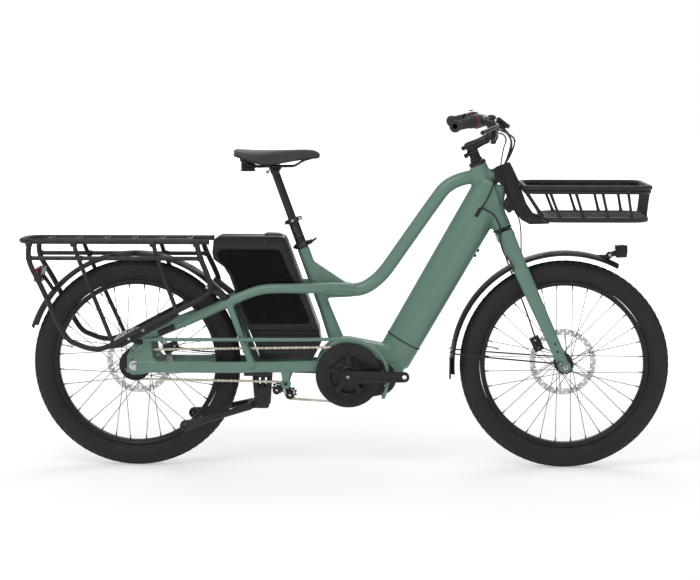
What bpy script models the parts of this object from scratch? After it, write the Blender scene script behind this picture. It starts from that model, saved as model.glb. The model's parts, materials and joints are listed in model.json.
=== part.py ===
"""Cargo bicycle with a mid motor, a long rear rack and a front basket.

World frame in metres: +X forwards, +Y to the rider's left, +Z up, the floor at Z = 0.
Each piece is one solid in one object, and each moving group hangs from an empty on its joint's axis.
"""

import math

import bmesh
import bpy
from mathutils import Matrix, Vector

# Clearances
GAP = 0.0003
RUNNING_GAP = 0.0015

# Wheels: 24 x 2.6 inch tyres
WHEELBASE = 1.300
REAR_AXLE_X = -0.632
FRONT_AXLE_X = REAR_AXLE_X + WHEELBASE
TYRE_RADIUS = 0.3165
TYRE_WIDTH = 0.064
RIM_OUTER_RADIUS = 0.2545
RIM_INNER_RADIUS = 0.240
RIM_WIDTH = 0.038
SPOKE_COUNT = 32
WHEEL_STEPS = 40
SPOKE_RADIUS = 0.0011
SPOKE_LEAD = math.radians(52)
FRONT_HUB_RADIUS = 0.017
FRONT_FLANGE_RADIUS = 0.028
FRONT_FLANGE_Y = 0.027
REAR_HUB_RADIUS = 0.042
REAR_FLANGE_RADIUS = 0.049
REAR_FLANGE_Y = 0.026
HUB_HALF_WIDTH = 0.036
AXLE_RADIUS = 0.0075
ROTOR_RADIUS = 0.1015
ROTOR_THICKNESS = 0.002
ROTOR_Y = 0.047
ROTOR_CARRIER_RADIUS = 0.030
CALIPER_Y = 0.049

# Steering axis: the head tube's centreline, up from its lower end
HEAD_LOW = Vector((0.4772, 0.0, 0.7308))
HEAD_ANGLE = math.radians(68.9)
HEAD_LENGTH = 0.204
HEAD_RADIUS = 0.0265
HEAD_BORE = 0.018
STEER_UP = Vector((-math.cos(HEAD_ANGLE), 0.0, math.sin(HEAD_ANGLE)))
HEAD_TOP = HEAD_LOW + STEER_UP * HEAD_LENGTH
STEERER_RADIUS = 0.0145
STEERER_LENGTH = 0.272
HEADSET_CAP = 0.012
STEM_ARM_HEIGHT = 0.262

# Fork
BLADE_TOP_RADIUS = 0.028
BLADE_END_RADIUS = 0.016
BLADE_FLATNESS = 0.5
BLADE_TOP_Y = 0.0615
BLADE_END_Y = 0.0675
BLADE_HEAD = (0.489, 0.704)

# Frame
POST_RADIUS = 0.0155
SEAT_TUBE_WALL = 0.003
SEAT_TUBE_RADIUS = POST_RADIUS + SEAT_TUBE_WALL
TOP_TUBE_RADIUS = 0.021
DOWN_TUBE_DEPTH = 0.112
DOWN_TUBE_WIDTH = 0.086
SEAT_TUBE_TOP = Vector((-0.1253, 0.0, 0.670))
SEAT_LEAN = math.radians(20)
SEAT_UP = Vector((-math.sin(SEAT_LEAN), 0.0, math.cos(SEAT_LEAN)))
SEAT_TUBE_LENGTH = 0.330
STAY_RADIUS = 0.015
STAY_Y = 0.0745
CHAINSTAY_Z = 0.312
CHAINSTAY_HEIGHT = 0.034
CHAINSTAY_WIDTH = 0.018
CHAINSTAY_FRONT_Y = 0.034
DROPOUT_THICKNESS = 0.008

# Drive
CRANK_X = 0.0148
CRANK_Z = 0.2872
CRANK_LENGTH = 0.170
CRANK_Y = 0.094
CRANK_THICKNESS = 0.014
PEDAL_HOLE_RADIUS = 0.0070
SPINDLE_RADIUS = 0.012
MOTOR_RADIUS = 0.082
MOTOR_WIDTH = 0.086
MOTOR_NOSE_X = 0.108
MOTOR_NOSE_RADIUS = 0.052
CHAIN_Y = -0.050
CHAIN_RADIUS = 0.0035
RING_PITCH_RADIUS = 0.085
COG_PITCH_RADIUS = 0.0446
RING_GUARD_RADIUS = 0.099
RING_GUARD_HOLE = 0.072
PULLEY_A = (-0.199, 0.2465)
PULLEY_B = (-0.1595, 0.2319)
PULLEY_PITCH_RADIUS = 0.0186
TENSIONER_PIVOT = (-0.1717, 0.2764)
TENSIONER_Y = CHAIN_Y + CHAIN_RADIUS + 0.0035

# Seat
CLAMP_WALL = 0.004
COLLAR_WALL = 0.004
POST_COLLAR = 0.094
POST_INSERT = 0.145
INNER_POST_RADIUS = 0.0125
INNER_POST_REACH = 0.148
INNER_POST_INSERT = 0.075

# Battery
BATTERY_WIDTH = 0.108
DOCK_WIDTH = 0.086

# Rear rack
DECK_Z = 0.692
DECK_RAIL_Y = 0.080
DECK_RADIUS = 0.008
DECK_REAR_X = -0.976
DECK_FRONT_X = -0.404
SIDE_RAIL_Z = 0.6425
SIDE_RAIL_Y = 0.092
LOOP_RADIUS = 0.008
LOOP_LOW_Y = 0.122
SLAT_COUNT = 6

# Fenders
FENDER_WIDTH = 0.074
FENDER_DROP = 0.012
FENDER_SHEET = 0.0024
REAR_FENDER_RADIUS = TYRE_RADIUS + 0.0265
FRONT_FENDER_RADIUS = TYRE_RADIUS + 0.0305

# Headlight
LAMP_PIVOT = (FRONT_AXLE_X + 0.134, TYRE_RADIUS + 0.3335)
LAMP_LUG_WIDTH = 0.012

# Basket
BASKET_HALF_WIDTH = 0.175
BASKET_TUBE = 0.0072
BASKET_REAR_X = 0.538
BASKET_FRONT_X = 0.906
BASKET_TOP_Z = 0.860
BASKET_FLOOR_Z = 0.766
BASKET_SETBACK = 0.060

# Handlebar
BAR_RADIUS = 0.0112
GRIP_RADIUS = 0.0165
GRIP_INNER_END = Vector((0.396, 0.205, 1.0588))
GRIP_OUTER_END = Vector((0.327, 0.335, 1.0440))

BAR_CENTRE = Vector((0.445, 0.0, 1.007))
GRIP_START = 0.052
SHIFTER_START = 0.030
SHIFTER_RADIUS = 0.0185
LEVER_CLAMP_AT = 0.0
LEVER_REACH = Vector((0.053, 0.0, -0.013))
LEVER_RADIUS = 0.0055
BUTTON_LIFT = 0.0024
BUTTON_HEIGHT = 0.004
BUTTON_RADIUS = 0.006

# Centre stand
STAND_PIVOT = (-0.2453, 0.1986)
STAND_FOOT = (-0.4607, 0.1433)
STAND_HUB_HALF = 0.030
STAND_ARM = 0.042
STAND_FOOT_Y = 0.120
STAND_LEG_RADIUS = 0.009
STAND_FOOT_RADIUS = 0.016

PAINTS = {
    "sage_paint": ((0.145, 0.285, 0.200), 0.42, 0.10),
    "black_coat": ((0.016, 0.017, 0.018), 0.50, 0.20),
    "rubber": ((0.012, 0.012, 0.012), 0.85, 0.0),
    "black_alloy": ((0.020, 0.020, 0.022), 0.38, 0.80),
    "steel": ((0.42, 0.42, 0.43), 0.30, 1.0),
    "plastic": ((0.014, 0.014, 0.015), 0.55, 0.0),
    "saddle_skin": ((0.020, 0.020, 0.021), 0.70, 0.0),
    "red_lens": ((0.35, 0.010, 0.010), 0.20, 0.0),
}

Z_UP = Vector((0.0, 0.0, 1.0))
SIDE = Vector((0.0, 1.0, 0.0))


# ---------------------------------------------------------------- scene and materials

def clear_scene():
    for obj in list(bpy.data.objects):
        bpy.data.objects.remove(obj, do_unlink=True)


def new_collection(name):
    collection = bpy.data.collections.new(name)
    bpy.context.scene.collection.children.link(collection)
    return collection


def make_paints():
    for name, (colour, roughness, metallic) in PAINTS.items():
        material = bpy.data.materials.new(name)
        material.use_nodes = True
        shader = material.node_tree.nodes["Principled BSDF"]
        shader.inputs["Base Color"].default_value = (*colour, 1.0)
        shader.inputs["Roughness"].default_value = roughness
        shader.inputs["Metallic"].default_value = metallic


def pivot(name, x, y, z, parent=None):
    """An empty on a joint's axis, which carries the pieces that move with it."""
    empty = bpy.data.objects.new(name, None)
    empty.empty_display_size = 0.05
    empty.location = (x, y, z)
    bicycle.objects.link(empty)
    bpy.context.view_layer.update()
    if parent:
        hang(empty, parent)
    return empty


def hang(obj, parent):
    obj.parent = parent
    obj.matrix_parent_inverse = parent.matrix_world.inverted()


# ---------------------------------------------------------------- shapes

def shape_from(bm, name="shape"):
    bmesh.ops.remove_doubles(bm, verts=bm.verts, dist=0.000002)
    bmesh.ops.recalc_face_normals(bm, faces=bm.faces)
    mesh = bpy.data.meshes.new(name)
    bm.to_mesh(mesh)
    bm.free()
    obj = bpy.data.objects.new(name, mesh)
    shapes.objects.link(obj)
    return obj


def settle(obj):
    """Turns an object and its modifiers into one plain mesh object in world space."""
    graph = bpy.context.evaluated_depsgraph_get()
    mesh = bpy.data.meshes.new_from_object(obj.evaluated_get(graph))
    bm = bmesh.new()
    bm.from_mesh(mesh)
    bm.transform(obj.matrix_world)
    bpy.data.meshes.remove(mesh)
    bpy.data.objects.remove(obj, do_unlink=True)
    return shape_from(bm)


def box(size, centre, pitch=0.0, roll=0.0):
    bm = bmesh.new()
    bmesh.ops.create_cube(bm, size=1.0)
    turn = Matrix.Rotation(pitch, 4, "Y") @ Matrix.Rotation(roll, 4, "X")
    bm.transform(Matrix.Translation(centre) @ turn @ Matrix.Diagonal((*size, 1.0)))
    return shape_from(bm)


def rod(start, end, radius, end_radius=None, sides=12, flat=1.0):
    """A round bar between two points; flat squashes it across the plane it leans in."""
    start = Vector(start)
    axis = Vector(end) - start
    bm = bmesh.new()
    bmesh.ops.create_cone(bm, cap_ends=True, segments=sides, radius1=radius,
                          radius2=end_radius or radius, depth=axis.length)
    turn = axis.to_track_quat("Z", "Y").to_matrix().to_4x4()
    bm.transform(Matrix.Translation(start + axis / 2) @ turn @ Matrix.Diagonal((flat, 1.0, 1.0, 1.0)))
    return shape_from(bm)


def disc(x, z, radius, y_from, y_to, sides=32):
    return rod((x, y_from, z), (x, y_to, z), radius, sides=sides)


def sleeve(start, end, radius, bore, sides=20):
    """A tube between two points with a through bore."""
    start = Vector(start)
    end = Vector(end)
    over = (end - start).normalized() * 0.01
    return combine([rod(start, end, radius, sides=sides)], [rod(start - over, end + over, bore, sides=sides)])


def smooth(points, steps=3):
    """Points of a Catmull-Rom curve through the given ones."""
    points = [Vector(point) for point in points]
    ends = [2 * points[0] - points[1]] + points + [2 * points[-1] - points[-2]]
    route = []
    for before, start, end, after in zip(ends, ends[1:], ends[2:], ends[3:]):
        for step in range(steps):
            t = step / steps
            route.append(0.5 * (2 * start + (end - before) * t
                                + (2 * before - 5 * start + 4 * end - after) * t ** 2
                                + (3 * start - before - 3 * end + after) * t ** 3))
    return route + [points[-1]]


def pipe(points, radius, sides=10, cyclic=False):
    """A bent bar: a poly curve with a round bevel, turned into a mesh with welded caps."""
    curve = bpy.data.curves.new("pipe", "CURVE")
    curve.dimensions = "3D"
    curve.bevel_depth = radius
    curve.bevel_resolution = (sides - 4) // 2
    curve.use_fill_caps = not cyclic
    spline = curve.splines.new("POLY")
    spline.points.add(len(points) - 1)
    for spot, point in zip(spline.points, points):
        spot.co = (*point, 1.0)
    spline.use_cyclic_u = cyclic
    obj = bpy.data.objects.new("pipe", curve)
    shapes.objects.link(obj)
    return settle(obj)


def plate(outline, thickness, y=0.0):
    """A flat XZ outline made into a plate that is centred on y."""
    curve = bpy.data.curves.new("plate", "CURVE")
    curve.dimensions = "2D"
    curve.fill_mode = "BOTH"
    curve.extrude = thickness / 2
    spline = curve.splines.new("POLY")
    spline.points.add(len(outline) - 1)
    for spot, (x, z) in zip(spline.points, outline):
        spot.co = (x, z, 0.0, 1.0)
    spline.use_cyclic_u = True
    obj = bpy.data.objects.new("plate", curve)
    obj.rotation_euler = (math.pi / 2, 0.0, 0.0)
    obj.location = (0.0, y, 0.0)
    shapes.objects.link(obj)
    bpy.context.view_layer.update()
    return settle(obj)


def turned(profile, x, z, steps=48, start=0.0, sweep=math.tau):
    """Turns (radius, y) points about the Y axis through (x, z); a part turn gets flat ends.

    Angles run from +X towards +Z.
    """
    mesh = bpy.data.meshes.new("profile")
    verts = [(radius, 0.0, y) for radius, y in profile]
    edges = [(i, (i + 1) % len(verts)) for i in range(len(verts))]
    mesh.from_pydata(verts, edges, [])
    obj = bpy.data.objects.new("profile", mesh)
    shapes.objects.link(obj)
    screw = obj.modifiers.new("turn", "SCREW")
    screw.angle = -sweep
    screw.steps = steps
    screw.render_steps = steps
    screw.use_merge_vertices = True
    screw.merge_threshold = 0.00001
    obj.matrix_world = (Matrix.Translation((x, 0.0, z)) @ Matrix.Rotation(-start, 4, "Y")
                        @ Matrix.Rotation(-math.pi / 2, 4, "X"))
    bpy.context.view_layer.update()
    solid = settle(obj)
    if sweep < math.tau:
        bm = bmesh.new()
        bm.from_mesh(solid.data)
        bmesh.ops.holes_fill(bm, edges=[edge for edge in bm.edges if edge.is_boundary], sides=0)
        bpy.data.objects.remove(solid, do_unlink=True)
        solid = shape_from(bm)
    return solid


def bundle(pieces):
    """Several loose shapes as one operand of a Boolean."""
    bm = bmesh.new()
    for piece in pieces:
        bm.from_mesh(piece.data)
        bpy.data.objects.remove(piece, do_unlink=True)
    mesh = bpy.data.meshes.new("bundle")
    bm.to_mesh(mesh)
    bm.free()
    obj = bpy.data.objects.new("bundle", mesh)
    shapes.objects.link(obj)
    return obj


def combine(solids, cuts=()):
    """Joins the solids and takes the cuts out of them."""
    body = solids[0]
    tools = list(solids[1:]) + list(cuts)
    for number, tool in enumerate(tools):
        boolean = body.modifiers.new("shape", "BOOLEAN")
        boolean.solver = "EXACT"
        boolean.operation = "UNION" if number < len(solids) - 1 else "DIFFERENCE"
        boolean.object = tool
    result = settle(body)
    for tool in tools:
        bpy.data.objects.remove(tool, do_unlink=True)
    return result


def part(name, paint, parent, solids, cuts=()):
    """Files the combined solids as a named piece that hangs from its parent."""
    piece = combine(solids, cuts)
    shapes.objects.unlink(piece)
    bicycle.objects.link(piece)
    piece.name = name
    piece.data.name = name
    piece.data.materials.clear()
    piece.data.materials.append(bpy.data.materials[paint])
    piece.data.shade_smooth()
    piece.data.set_sharp_from_angle(angle=math.radians(35))
    hang(piece, parent)
    return piece


def on_both_sides(maker):
    """Calls maker with each side's name and the sign of its Y."""
    for side, sign in (("left", 1), ("right", -1)):
        maker(side, sign)


# ---------------------------------------------------------------- wheels

def ring_profile(inner, outer, half_width):
    return [(inner, -half_width), (outer, -half_width), (outer, half_width), (inner, half_width)]


def tyre_profile():
    """A round tread on straight beads that grip the rim's shoulders."""
    half = TYRE_WIDTH / 2
    base = RIM_OUTER_RADIUS + GAP
    middle = TYRE_RADIUS - half * 1.02
    bead = RIM_WIDTH / 2 - 0.003
    crown = [(middle + half * 1.02 * math.sin(angle), half * math.cos(angle))
             for angle in (math.radians(-26 + 38.67 * step) for step in range(7))]
    return [(base, bead)] + crown + [(base, -bead)]


def spokes(x, z, hub_radius, flange_y):
    """Laced spokes: neighbours leave opposite flanges, and every other pair leads or trails."""
    pieces = []
    for number in range(SPOKE_COUNT):
        side = 1 if number % 2 else -1
        lead = SPOKE_LEAD if (number // 2) % 2 else -SPOKE_LEAD
        rim_angle = math.tau * number / SPOKE_COUNT
        hub_angle = rim_angle + lead
        offset = 0.0016 if lead > 0 else -0.0016
        low = (x + (hub_radius - 0.006) * math.cos(hub_angle), side * (flange_y + offset),
               z + (hub_radius - 0.006) * math.sin(hub_angle))
        high = (x + (RIM_INNER_RADIUS + 0.004) * math.cos(rim_angle), side * 0.004,
                z + (RIM_INNER_RADIUS + 0.004) * math.sin(rim_angle))
        pieces.append(rod(low, high, SPOKE_RADIUS, sides=3))
    return bundle(pieces)


def make_wheel(prefix, x, hub_radius, flange_radius, flange_y, parent):
    z = TYRE_RADIUS
    part(prefix + "_tyre", "rubber", parent, [turned(tyre_profile(), x, z, WHEEL_STEPS)])
    rim = turned([(RIM_INNER_RADIUS, -0.008), (RIM_INNER_RADIUS + 0.006, -RIM_WIDTH / 2),
                  (RIM_OUTER_RADIUS, -RIM_WIDTH / 2), (RIM_OUTER_RADIUS, RIM_WIDTH / 2),
                  (RIM_INNER_RADIUS + 0.006, RIM_WIDTH / 2), (RIM_INNER_RADIUS, 0.008)], x, z, WHEEL_STEPS)
    bore = AXLE_RADIUS + 0.001
    flange = 0.004
    hub = turned([(bore, -HUB_HALF_WIDTH), (hub_radius * 0.7, -HUB_HALF_WIDTH),
                  (hub_radius, -flange_y - flange), (flange_radius, -flange_y - flange),
                  (flange_radius, -flange_y + flange), (hub_radius, -flange_y + flange),
                  (hub_radius, flange_y - flange), (flange_radius, flange_y - flange),
                  (flange_radius, flange_y + flange), (hub_radius, flange_y + flange),
                  (hub_radius * 0.7, HUB_HALF_WIDTH), (bore, HUB_HALF_WIDTH)], x, z, 16)
    part(prefix + "_wheel", "black_alloy", parent,
         [rim, hub, spokes(x, z, flange_radius, flange_y)])
    half = ROTOR_THICKNESS / 2
    part(prefix + "_rotor", "steel", parent,
         [turned([(bore, ROTOR_Y - 0.005), (ROTOR_CARRIER_RADIUS, ROTOR_Y - 0.005),
                  (ROTOR_CARRIER_RADIUS, ROTOR_Y - half), (ROTOR_RADIUS, ROTOR_Y - half),
                  (ROTOR_RADIUS, ROTOR_Y + half), (ROTOR_CARRIER_RADIUS, ROTOR_Y + half),
                  (ROTOR_CARRIER_RADIUS, ROTOR_Y + 0.005), (bore, ROTOR_Y + 0.005)], x, z, 28)])


# ---------------------------------------------------------------- frame

def head_tube(grow=0.0):
    return rod(HEAD_LOW, HEAD_TOP, HEAD_RADIUS + grow, sides=24)


TOP_TUBE_ROUTE = [(0.400, 0.8870), (0.345, 0.8744), (0.306, 0.8512), (0.275, 0.8120), (0.228, 0.7457),
                  (0.1735, 0.6678), (0.1268, 0.6018), (0.0950, 0.5690), (0.0600, 0.5470),
                  (0.0200, 0.5400), (-0.0400, 0.5370), (-0.0800, 0.5370)]
STAY_ROUTE = [(0.030, 0.006, 0.5440), (-0.030, 0.040, 0.5505), (-0.080, 0.067, 0.5520),
              (-0.128, STAY_Y, 0.5520), (-0.211, STAY_Y, 0.5514), (-0.253, STAY_Y, 0.5459),
              (-0.295, STAY_Y, 0.5319), (-0.351, STAY_Y, 0.5068), (-0.463, STAY_Y, 0.4564),
              (-0.585, STAY_Y, 0.4048), (-0.622, STAY_Y, 0.3680)]
DOWN_TUBE_TOP = Vector((0.4370, 0.0, 0.8330))
DOWN_TUBE_LOW = Vector((0.1500, 0.0, 0.3320))


def top_tube(grow=0.0):
    return pipe(smooth([(x, 0.0, z) for x, z in TOP_TUBE_ROUTE], 1), TOP_TUBE_RADIUS + grow, 12)


def down_tube(grow=0.0):
    return rod(DOWN_TUBE_LOW, DOWN_TUBE_TOP, DOWN_TUBE_DEPTH / 2 - 0.002 + grow,
               DOWN_TUBE_DEPTH / 2 + 0.002 + grow, sides=28,
               flat=(DOWN_TUBE_WIDTH / 2 + grow) / (DOWN_TUBE_DEPTH / 2 + grow))


def seat_tube(grow=0.0):
    return rod(SEAT_TUBE_TOP - SEAT_UP * SEAT_TUBE_LENGTH, SEAT_TUBE_TOP, SEAT_TUBE_RADIUS + grow,
               sides=20)


def stay(sign, grow=0.0):
    return pipe(smooth([(x, sign * y, z) for x, y, z in STAY_ROUTE], 1), STAY_RADIUS + grow, 10)


def hull_outline(centres, grow=0.0, steps=10):
    """Outline round two circles (x, z, radius), joined by their outer tangents."""
    (ax, az, ar), (bx, bz, br) = centres
    span = math.hypot(bx - ax, bz - az)
    heading = math.atan2(bz - az, bx - ax)
    spread = math.acos((ar - br) / span)
    outline = []
    for cx, cz, radius, start, end in ((bx, bz, br, heading - spread, heading + spread),
                                       (ax, az, ar, heading + spread, heading - spread + math.tau)):
        for step in range(steps + 1):
            angle = start + (end - start) * step / steps
            outline.append((cx + (radius + grow) * math.cos(angle), cz + (radius + grow) * math.sin(angle)))
    return outline


def motor(grow=0.0):
    centres = ((CRANK_X, CRANK_Z, MOTOR_RADIUS), (MOTOR_NOSE_X, CRANK_Z - 0.012, MOTOR_NOSE_RADIUS))
    return plate(hull_outline(centres, grow), MOTOR_WIDTH + 2 * grow)


def cradle(grow=0.0):
    """The bracket over the motor that the seat tube, the down tube and the chainstays join."""
    centres = ((CRANK_X - 0.010, CRANK_Z + 0.020, 0.090 + grow),
               (MOTOR_NOSE_X + 0.014, CRANK_Z + 0.026, 0.062 + grow))
    return plate(hull_outline(centres, 0.0), MOTOR_WIDTH - 0.010 + 2 * grow)


def chainstay_path(sign):
    return [(REAR_AXLE_X + 0.006, sign * STAY_Y), (-0.300, sign * STAY_Y), (-0.225, sign * 0.066),
            (-0.085, sign * CHAINSTAY_FRONT_Y), (0.0, sign * CHAINSTAY_FRONT_Y)]


def chainstay(sign, grow=0.0):
    """A flat-sided stay: a plan outline offset to both sides of its path, as tall as the stay."""
    route = chainstay_path(sign)
    half = CHAINSTAY_WIDTH / 2 + grow
    low = CHAINSTAY_Z - CHAINSTAY_HEIGHT / 2 - grow
    bm = bmesh.new()
    edge = [(x, y + half) for x, y in route] + [(x, y - half) for x, y in reversed(route)]
    face = bm.faces.new([bm.verts.new((x, y, low)) for x, y in edge])
    raised = bmesh.ops.extrude_face_region(bm, geom=[face])["geom"]
    bmesh.ops.translate(bm, vec=(0.0, 0.0, CHAINSTAY_HEIGHT + 2 * grow),
                        verts=[item for item in raised if isinstance(item, bmesh.types.BMVert)])
    return shape_from(bm)


def dropout_outline():
    return [(REAR_AXLE_X - 0.022, 0.300), (REAR_AXLE_X - 0.008, 0.288), (REAR_AXLE_X + 0.030, 0.290),
            (REAR_AXLE_X + 0.045, 0.296), (REAR_AXLE_X + 0.045, 0.328), (REAR_AXLE_X + 0.050, 0.400),
            (REAR_AXLE_X + 0.022, 0.408), (REAR_AXLE_X - 0.006, 0.378), (REAR_AXLE_X - 0.022, 0.345)]


def dropout(sign, grow=0.0):
    return plate(dropout_outline(), DROPOUT_THICKNESS + 2 * grow, sign * STAY_Y)


def make_frame():
    cap = rod(HEAD_TOP - STEER_UP * 0.004, HEAD_TOP + STEER_UP * HEADSET_CAP, 0.0245, 0.021, sides=20)
    part("head_tube", "sage_paint", frame, [head_tube(), cap],
         [rod(HEAD_LOW - STEER_UP * 0.01, HEAD_TOP + STEER_UP * 0.05, HEAD_BORE, sides=20)])
    part("top_tube", "sage_paint", frame, [top_tube()],
         [head_tube(GAP), down_tube(GAP), seat_tube(GAP)])
    part("down_tube", "sage_paint", frame, [down_tube(), cradle()], [head_tube(GAP), motor(GAP)])
    gusset = combine([plate([(-0.100, 0.635), (0.030, 0.540), (-0.070, 0.532)], 0.012)], [top_tube(GAP)])
    bore_top = SEAT_TUBE_TOP + SEAT_UP * 0.01
    part("seat_tube", "sage_paint", frame, [seat_tube(), gusset],
         [cradle(GAP), rod(bore_top - SEAT_UP * (POST_INSERT + 0.125), bore_top, POST_RADIUS + GAP,
                           sides=20)])
    part("motor", "black_coat", frame, [motor()],
         [disc(CRANK_X, CRANK_Z, SPINDLE_RADIUS + 0.001, -0.1, 0.1, 20)])
    on_both_sides(make_stays)


def make_stays(side, sign):
    part("upper_stay_" + side, "sage_paint", frame, [stay(sign)],
         [top_tube(GAP), seat_tube(GAP), dropout(sign, GAP)])
    strut = rod((-0.343, sign * STAY_Y, 0.504), (-0.276, sign * STAY_Y, 0.320), 0.010, sides=10)
    slot = disc(REAR_AXLE_X, TYRE_RADIUS, AXLE_RADIUS + GAP, sign * 0.05, sign * 0.1, 16)
    boss = tensioner_boss() if side == "right" else []
    part("chainstay_" + side, "sage_paint", frame, [chainstay(sign), dropout(sign), strut] + boss,
         [cradle(GAP), stay(sign, GAP), slot, motor(GAP)])


# ---------------------------------------------------------------- fork and steering

def steer_point(height, forward=0.0, y=0.0):
    """A point by the steering axis, at a height above the head tube's lower end."""
    across = Vector((math.sin(HEAD_ANGLE), 0.0, math.cos(HEAD_ANGLE)))
    return HEAD_LOW + STEER_UP * height + across * forward + Vector((0.0, y, 0.0))


def blade(sign, grow=0.0):
    return rod((BLADE_HEAD[0], sign * BLADE_TOP_Y, BLADE_HEAD[1]),
               (FRONT_AXLE_X + 0.002, sign * BLADE_END_Y, TYRE_RADIUS - 0.012),
               BLADE_TOP_RADIUS + grow, BLADE_END_RADIUS + grow, sides=14, flat=BLADE_FLATNESS)


def make_fork():
    crown = box((0.056, 2 * BLADE_TOP_Y + 0.010, 0.036), steer_point(-0.028),
                HEAD_ANGLE - math.pi / 2)
    steerer = rod(steer_point(-0.03), steer_point(STEERER_LENGTH), STEERER_RADIUS, sides=20)
    part("fork", "sage_paint", steering, [crown, blade(1), blade(-1), steerer],
         [disc(FRONT_AXLE_X, TYRE_RADIUS, AXLE_RADIUS + GAP, -0.1, 0.1, 16)])
    part("front_axle", "steel", steering, [disc(FRONT_AXLE_X, TYRE_RADIUS, AXLE_RADIUS, -0.080, 0.080, 16)])
    part("front_caliper", "black_coat", steering,
         [box((0.030, 0.030, 0.046), (FRONT_AXLE_X - 0.080, CALIPER_Y, TYRE_RADIUS + 0.0555), math.radians(-25))],
         [disc(FRONT_AXLE_X, TYRE_RADIUS, ROTOR_RADIUS + RUNNING_GAP, ROTOR_Y - 0.002, ROTOR_Y + 0.002, 48),
          blade(1, GAP)])


def handlebar(grow=0.0):
    """The swept bar: a rise on both sides of the clamp, then straight ends under the grips."""
    half = [BAR_CENTRE + SIDE * 0.060, Vector((0.447, 0.085, 1.022)), Vector((0.440, 0.115, 1.042)),
            Vector((0.424, 0.150, 1.057)), GRIP_INNER_END]
    left = smooth(half, 2) + [GRIP_INNER_END + (GRIP_OUTER_END - GRIP_INNER_END) * 0.97]
    mirrored = [Vector((point.x, -point.y, point.z)) for point in reversed(left)]
    return pipe(mirrored + left, BAR_RADIUS + grow, 10)


def make_cockpit():
    clamp_low = steer_point(HEAD_LENGTH + HEADSET_CAP + RUNNING_GAP)
    clamp_high = steer_point(STEERER_LENGTH)
    arm = rod(steer_point(STEM_ARM_HEIGHT), BAR_CENTRE, 0.015, sides=14)
    hold = rod(BAR_CENTRE - SIDE * 0.024, BAR_CENTRE + SIDE * 0.024, BAR_RADIUS + 0.006, sides=16)
    part("stem", "black_alloy", steering,
         [rod(clamp_low, clamp_high + STEER_UP * 0.006, 0.0185, sides=20), arm, hold],
         [rod(clamp_low - STEER_UP * 0.01, clamp_high + STEER_UP * GAP, STEERER_RADIUS + GAP, sides=20),
          rod(BAR_CENTRE - SIDE * 0.05, BAR_CENTRE + SIDE * 0.05, BAR_RADIUS + GAP, sides=16)])
    part("handlebar", "black_alloy", steering, [handlebar()])
    on_both_sides(make_hand_controls)
    part("display", "plastic", steering,
         [box((0.044, 0.062, 0.012), (0.478, 0.0, 1.047), math.radians(38)),
          box((0.012, 0.012, 0.030), (0.462, 0.0, 1.034), math.radians(20))],
         [rod(BAR_CENTRE - SIDE * 0.05, BAR_CENTRE + SIDE * 0.05, BAR_RADIUS + 0.006 + GAP, sides=16)])


def grip_point(along, sign):
    """A point on the straight outer stretch of the bar, measured outwards from the grip's inner end."""
    point = GRIP_INNER_END + (GRIP_OUTER_END - GRIP_INNER_END).normalized() * along
    return Vector((point.x, sign * point.y, point.z))


def make_hand_controls(side, sign):
    length = (GRIP_OUTER_END - GRIP_INNER_END).length
    bore = BAR_RADIUS + GAP
    part("grip_" + side, "rubber", steering,
         [rod(grip_point(GRIP_START, sign), grip_point(length, sign), GRIP_RADIUS, sides=16)],
         [rod(grip_point(0.0, sign), grip_point(length * 0.97 + GAP, sign), bore, sides=14)])
    holder = grip_point(LEVER_CLAMP_AT, sign)
    forward = LEVER_REACH.normalized()
    part("lever_body_" + side, "black_coat", steering,
         [rod(grip_point(LEVER_CLAMP_AT - 0.008, sign), grip_point(LEVER_CLAMP_AT + 0.008, sign), 0.017,
              sides=14),
          rod(holder, holder + LEVER_REACH - forward * 0.007, 0.009, sides=10),
          rod(grip_point(LEVER_CLAMP_AT + 0.006, sign), grip_point(SHIFTER_START - RUNNING_GAP, sign),
              SHIFTER_RADIUS + 0.003 * (side == "right"), sides=16)],
         [handlebar(GAP)])
    root = lever_pivot(sign)
    bend = root + Vector((0.002, sign * 0.030, -0.004))
    tip = root + Vector((-0.042, sign * 0.114, -0.020))
    part("brake_lever_" + side, "black_alloy", lever_axes[side],
         [pipe(smooth([root, bend, tip], 3), LEVER_RADIUS, 8)])


def lever_pivot(sign):
    return grip_point(LEVER_CLAMP_AT, sign) + LEVER_REACH


def make_shifter():
    """The right grip's inner part twists to shift, and the left clamp carries the assist button."""
    part("twist_shifter", "rubber", shifter_axis,
         [sleeve(grip_point(SHIFTER_START, -1), grip_point(GRIP_START - RUNNING_GAP, -1),
                 SHIFTER_RADIUS, BAR_RADIUS + 0.0006)])
    spot = grip_point(0.018, 1)
    part("assist_button", "plastic", button_axis,
         [rod(spot + Z_UP * (SHIFTER_RADIUS + BUTTON_LIFT),
              spot + Z_UP * (SHIFTER_RADIUS + BUTTON_LIFT + BUTTON_HEIGHT), BUTTON_RADIUS, sides=12)])
    bell = Vector((0.4385, -0.118, 1.0435))
    part("bell", "black_coat", steering,
         [rod(bell + Z_UP * 0.006, bell + Z_UP * 0.030, 0.015, 0.010, sides=14)], [handlebar(GAP)])


# ---------------------------------------------------------------- drive

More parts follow.
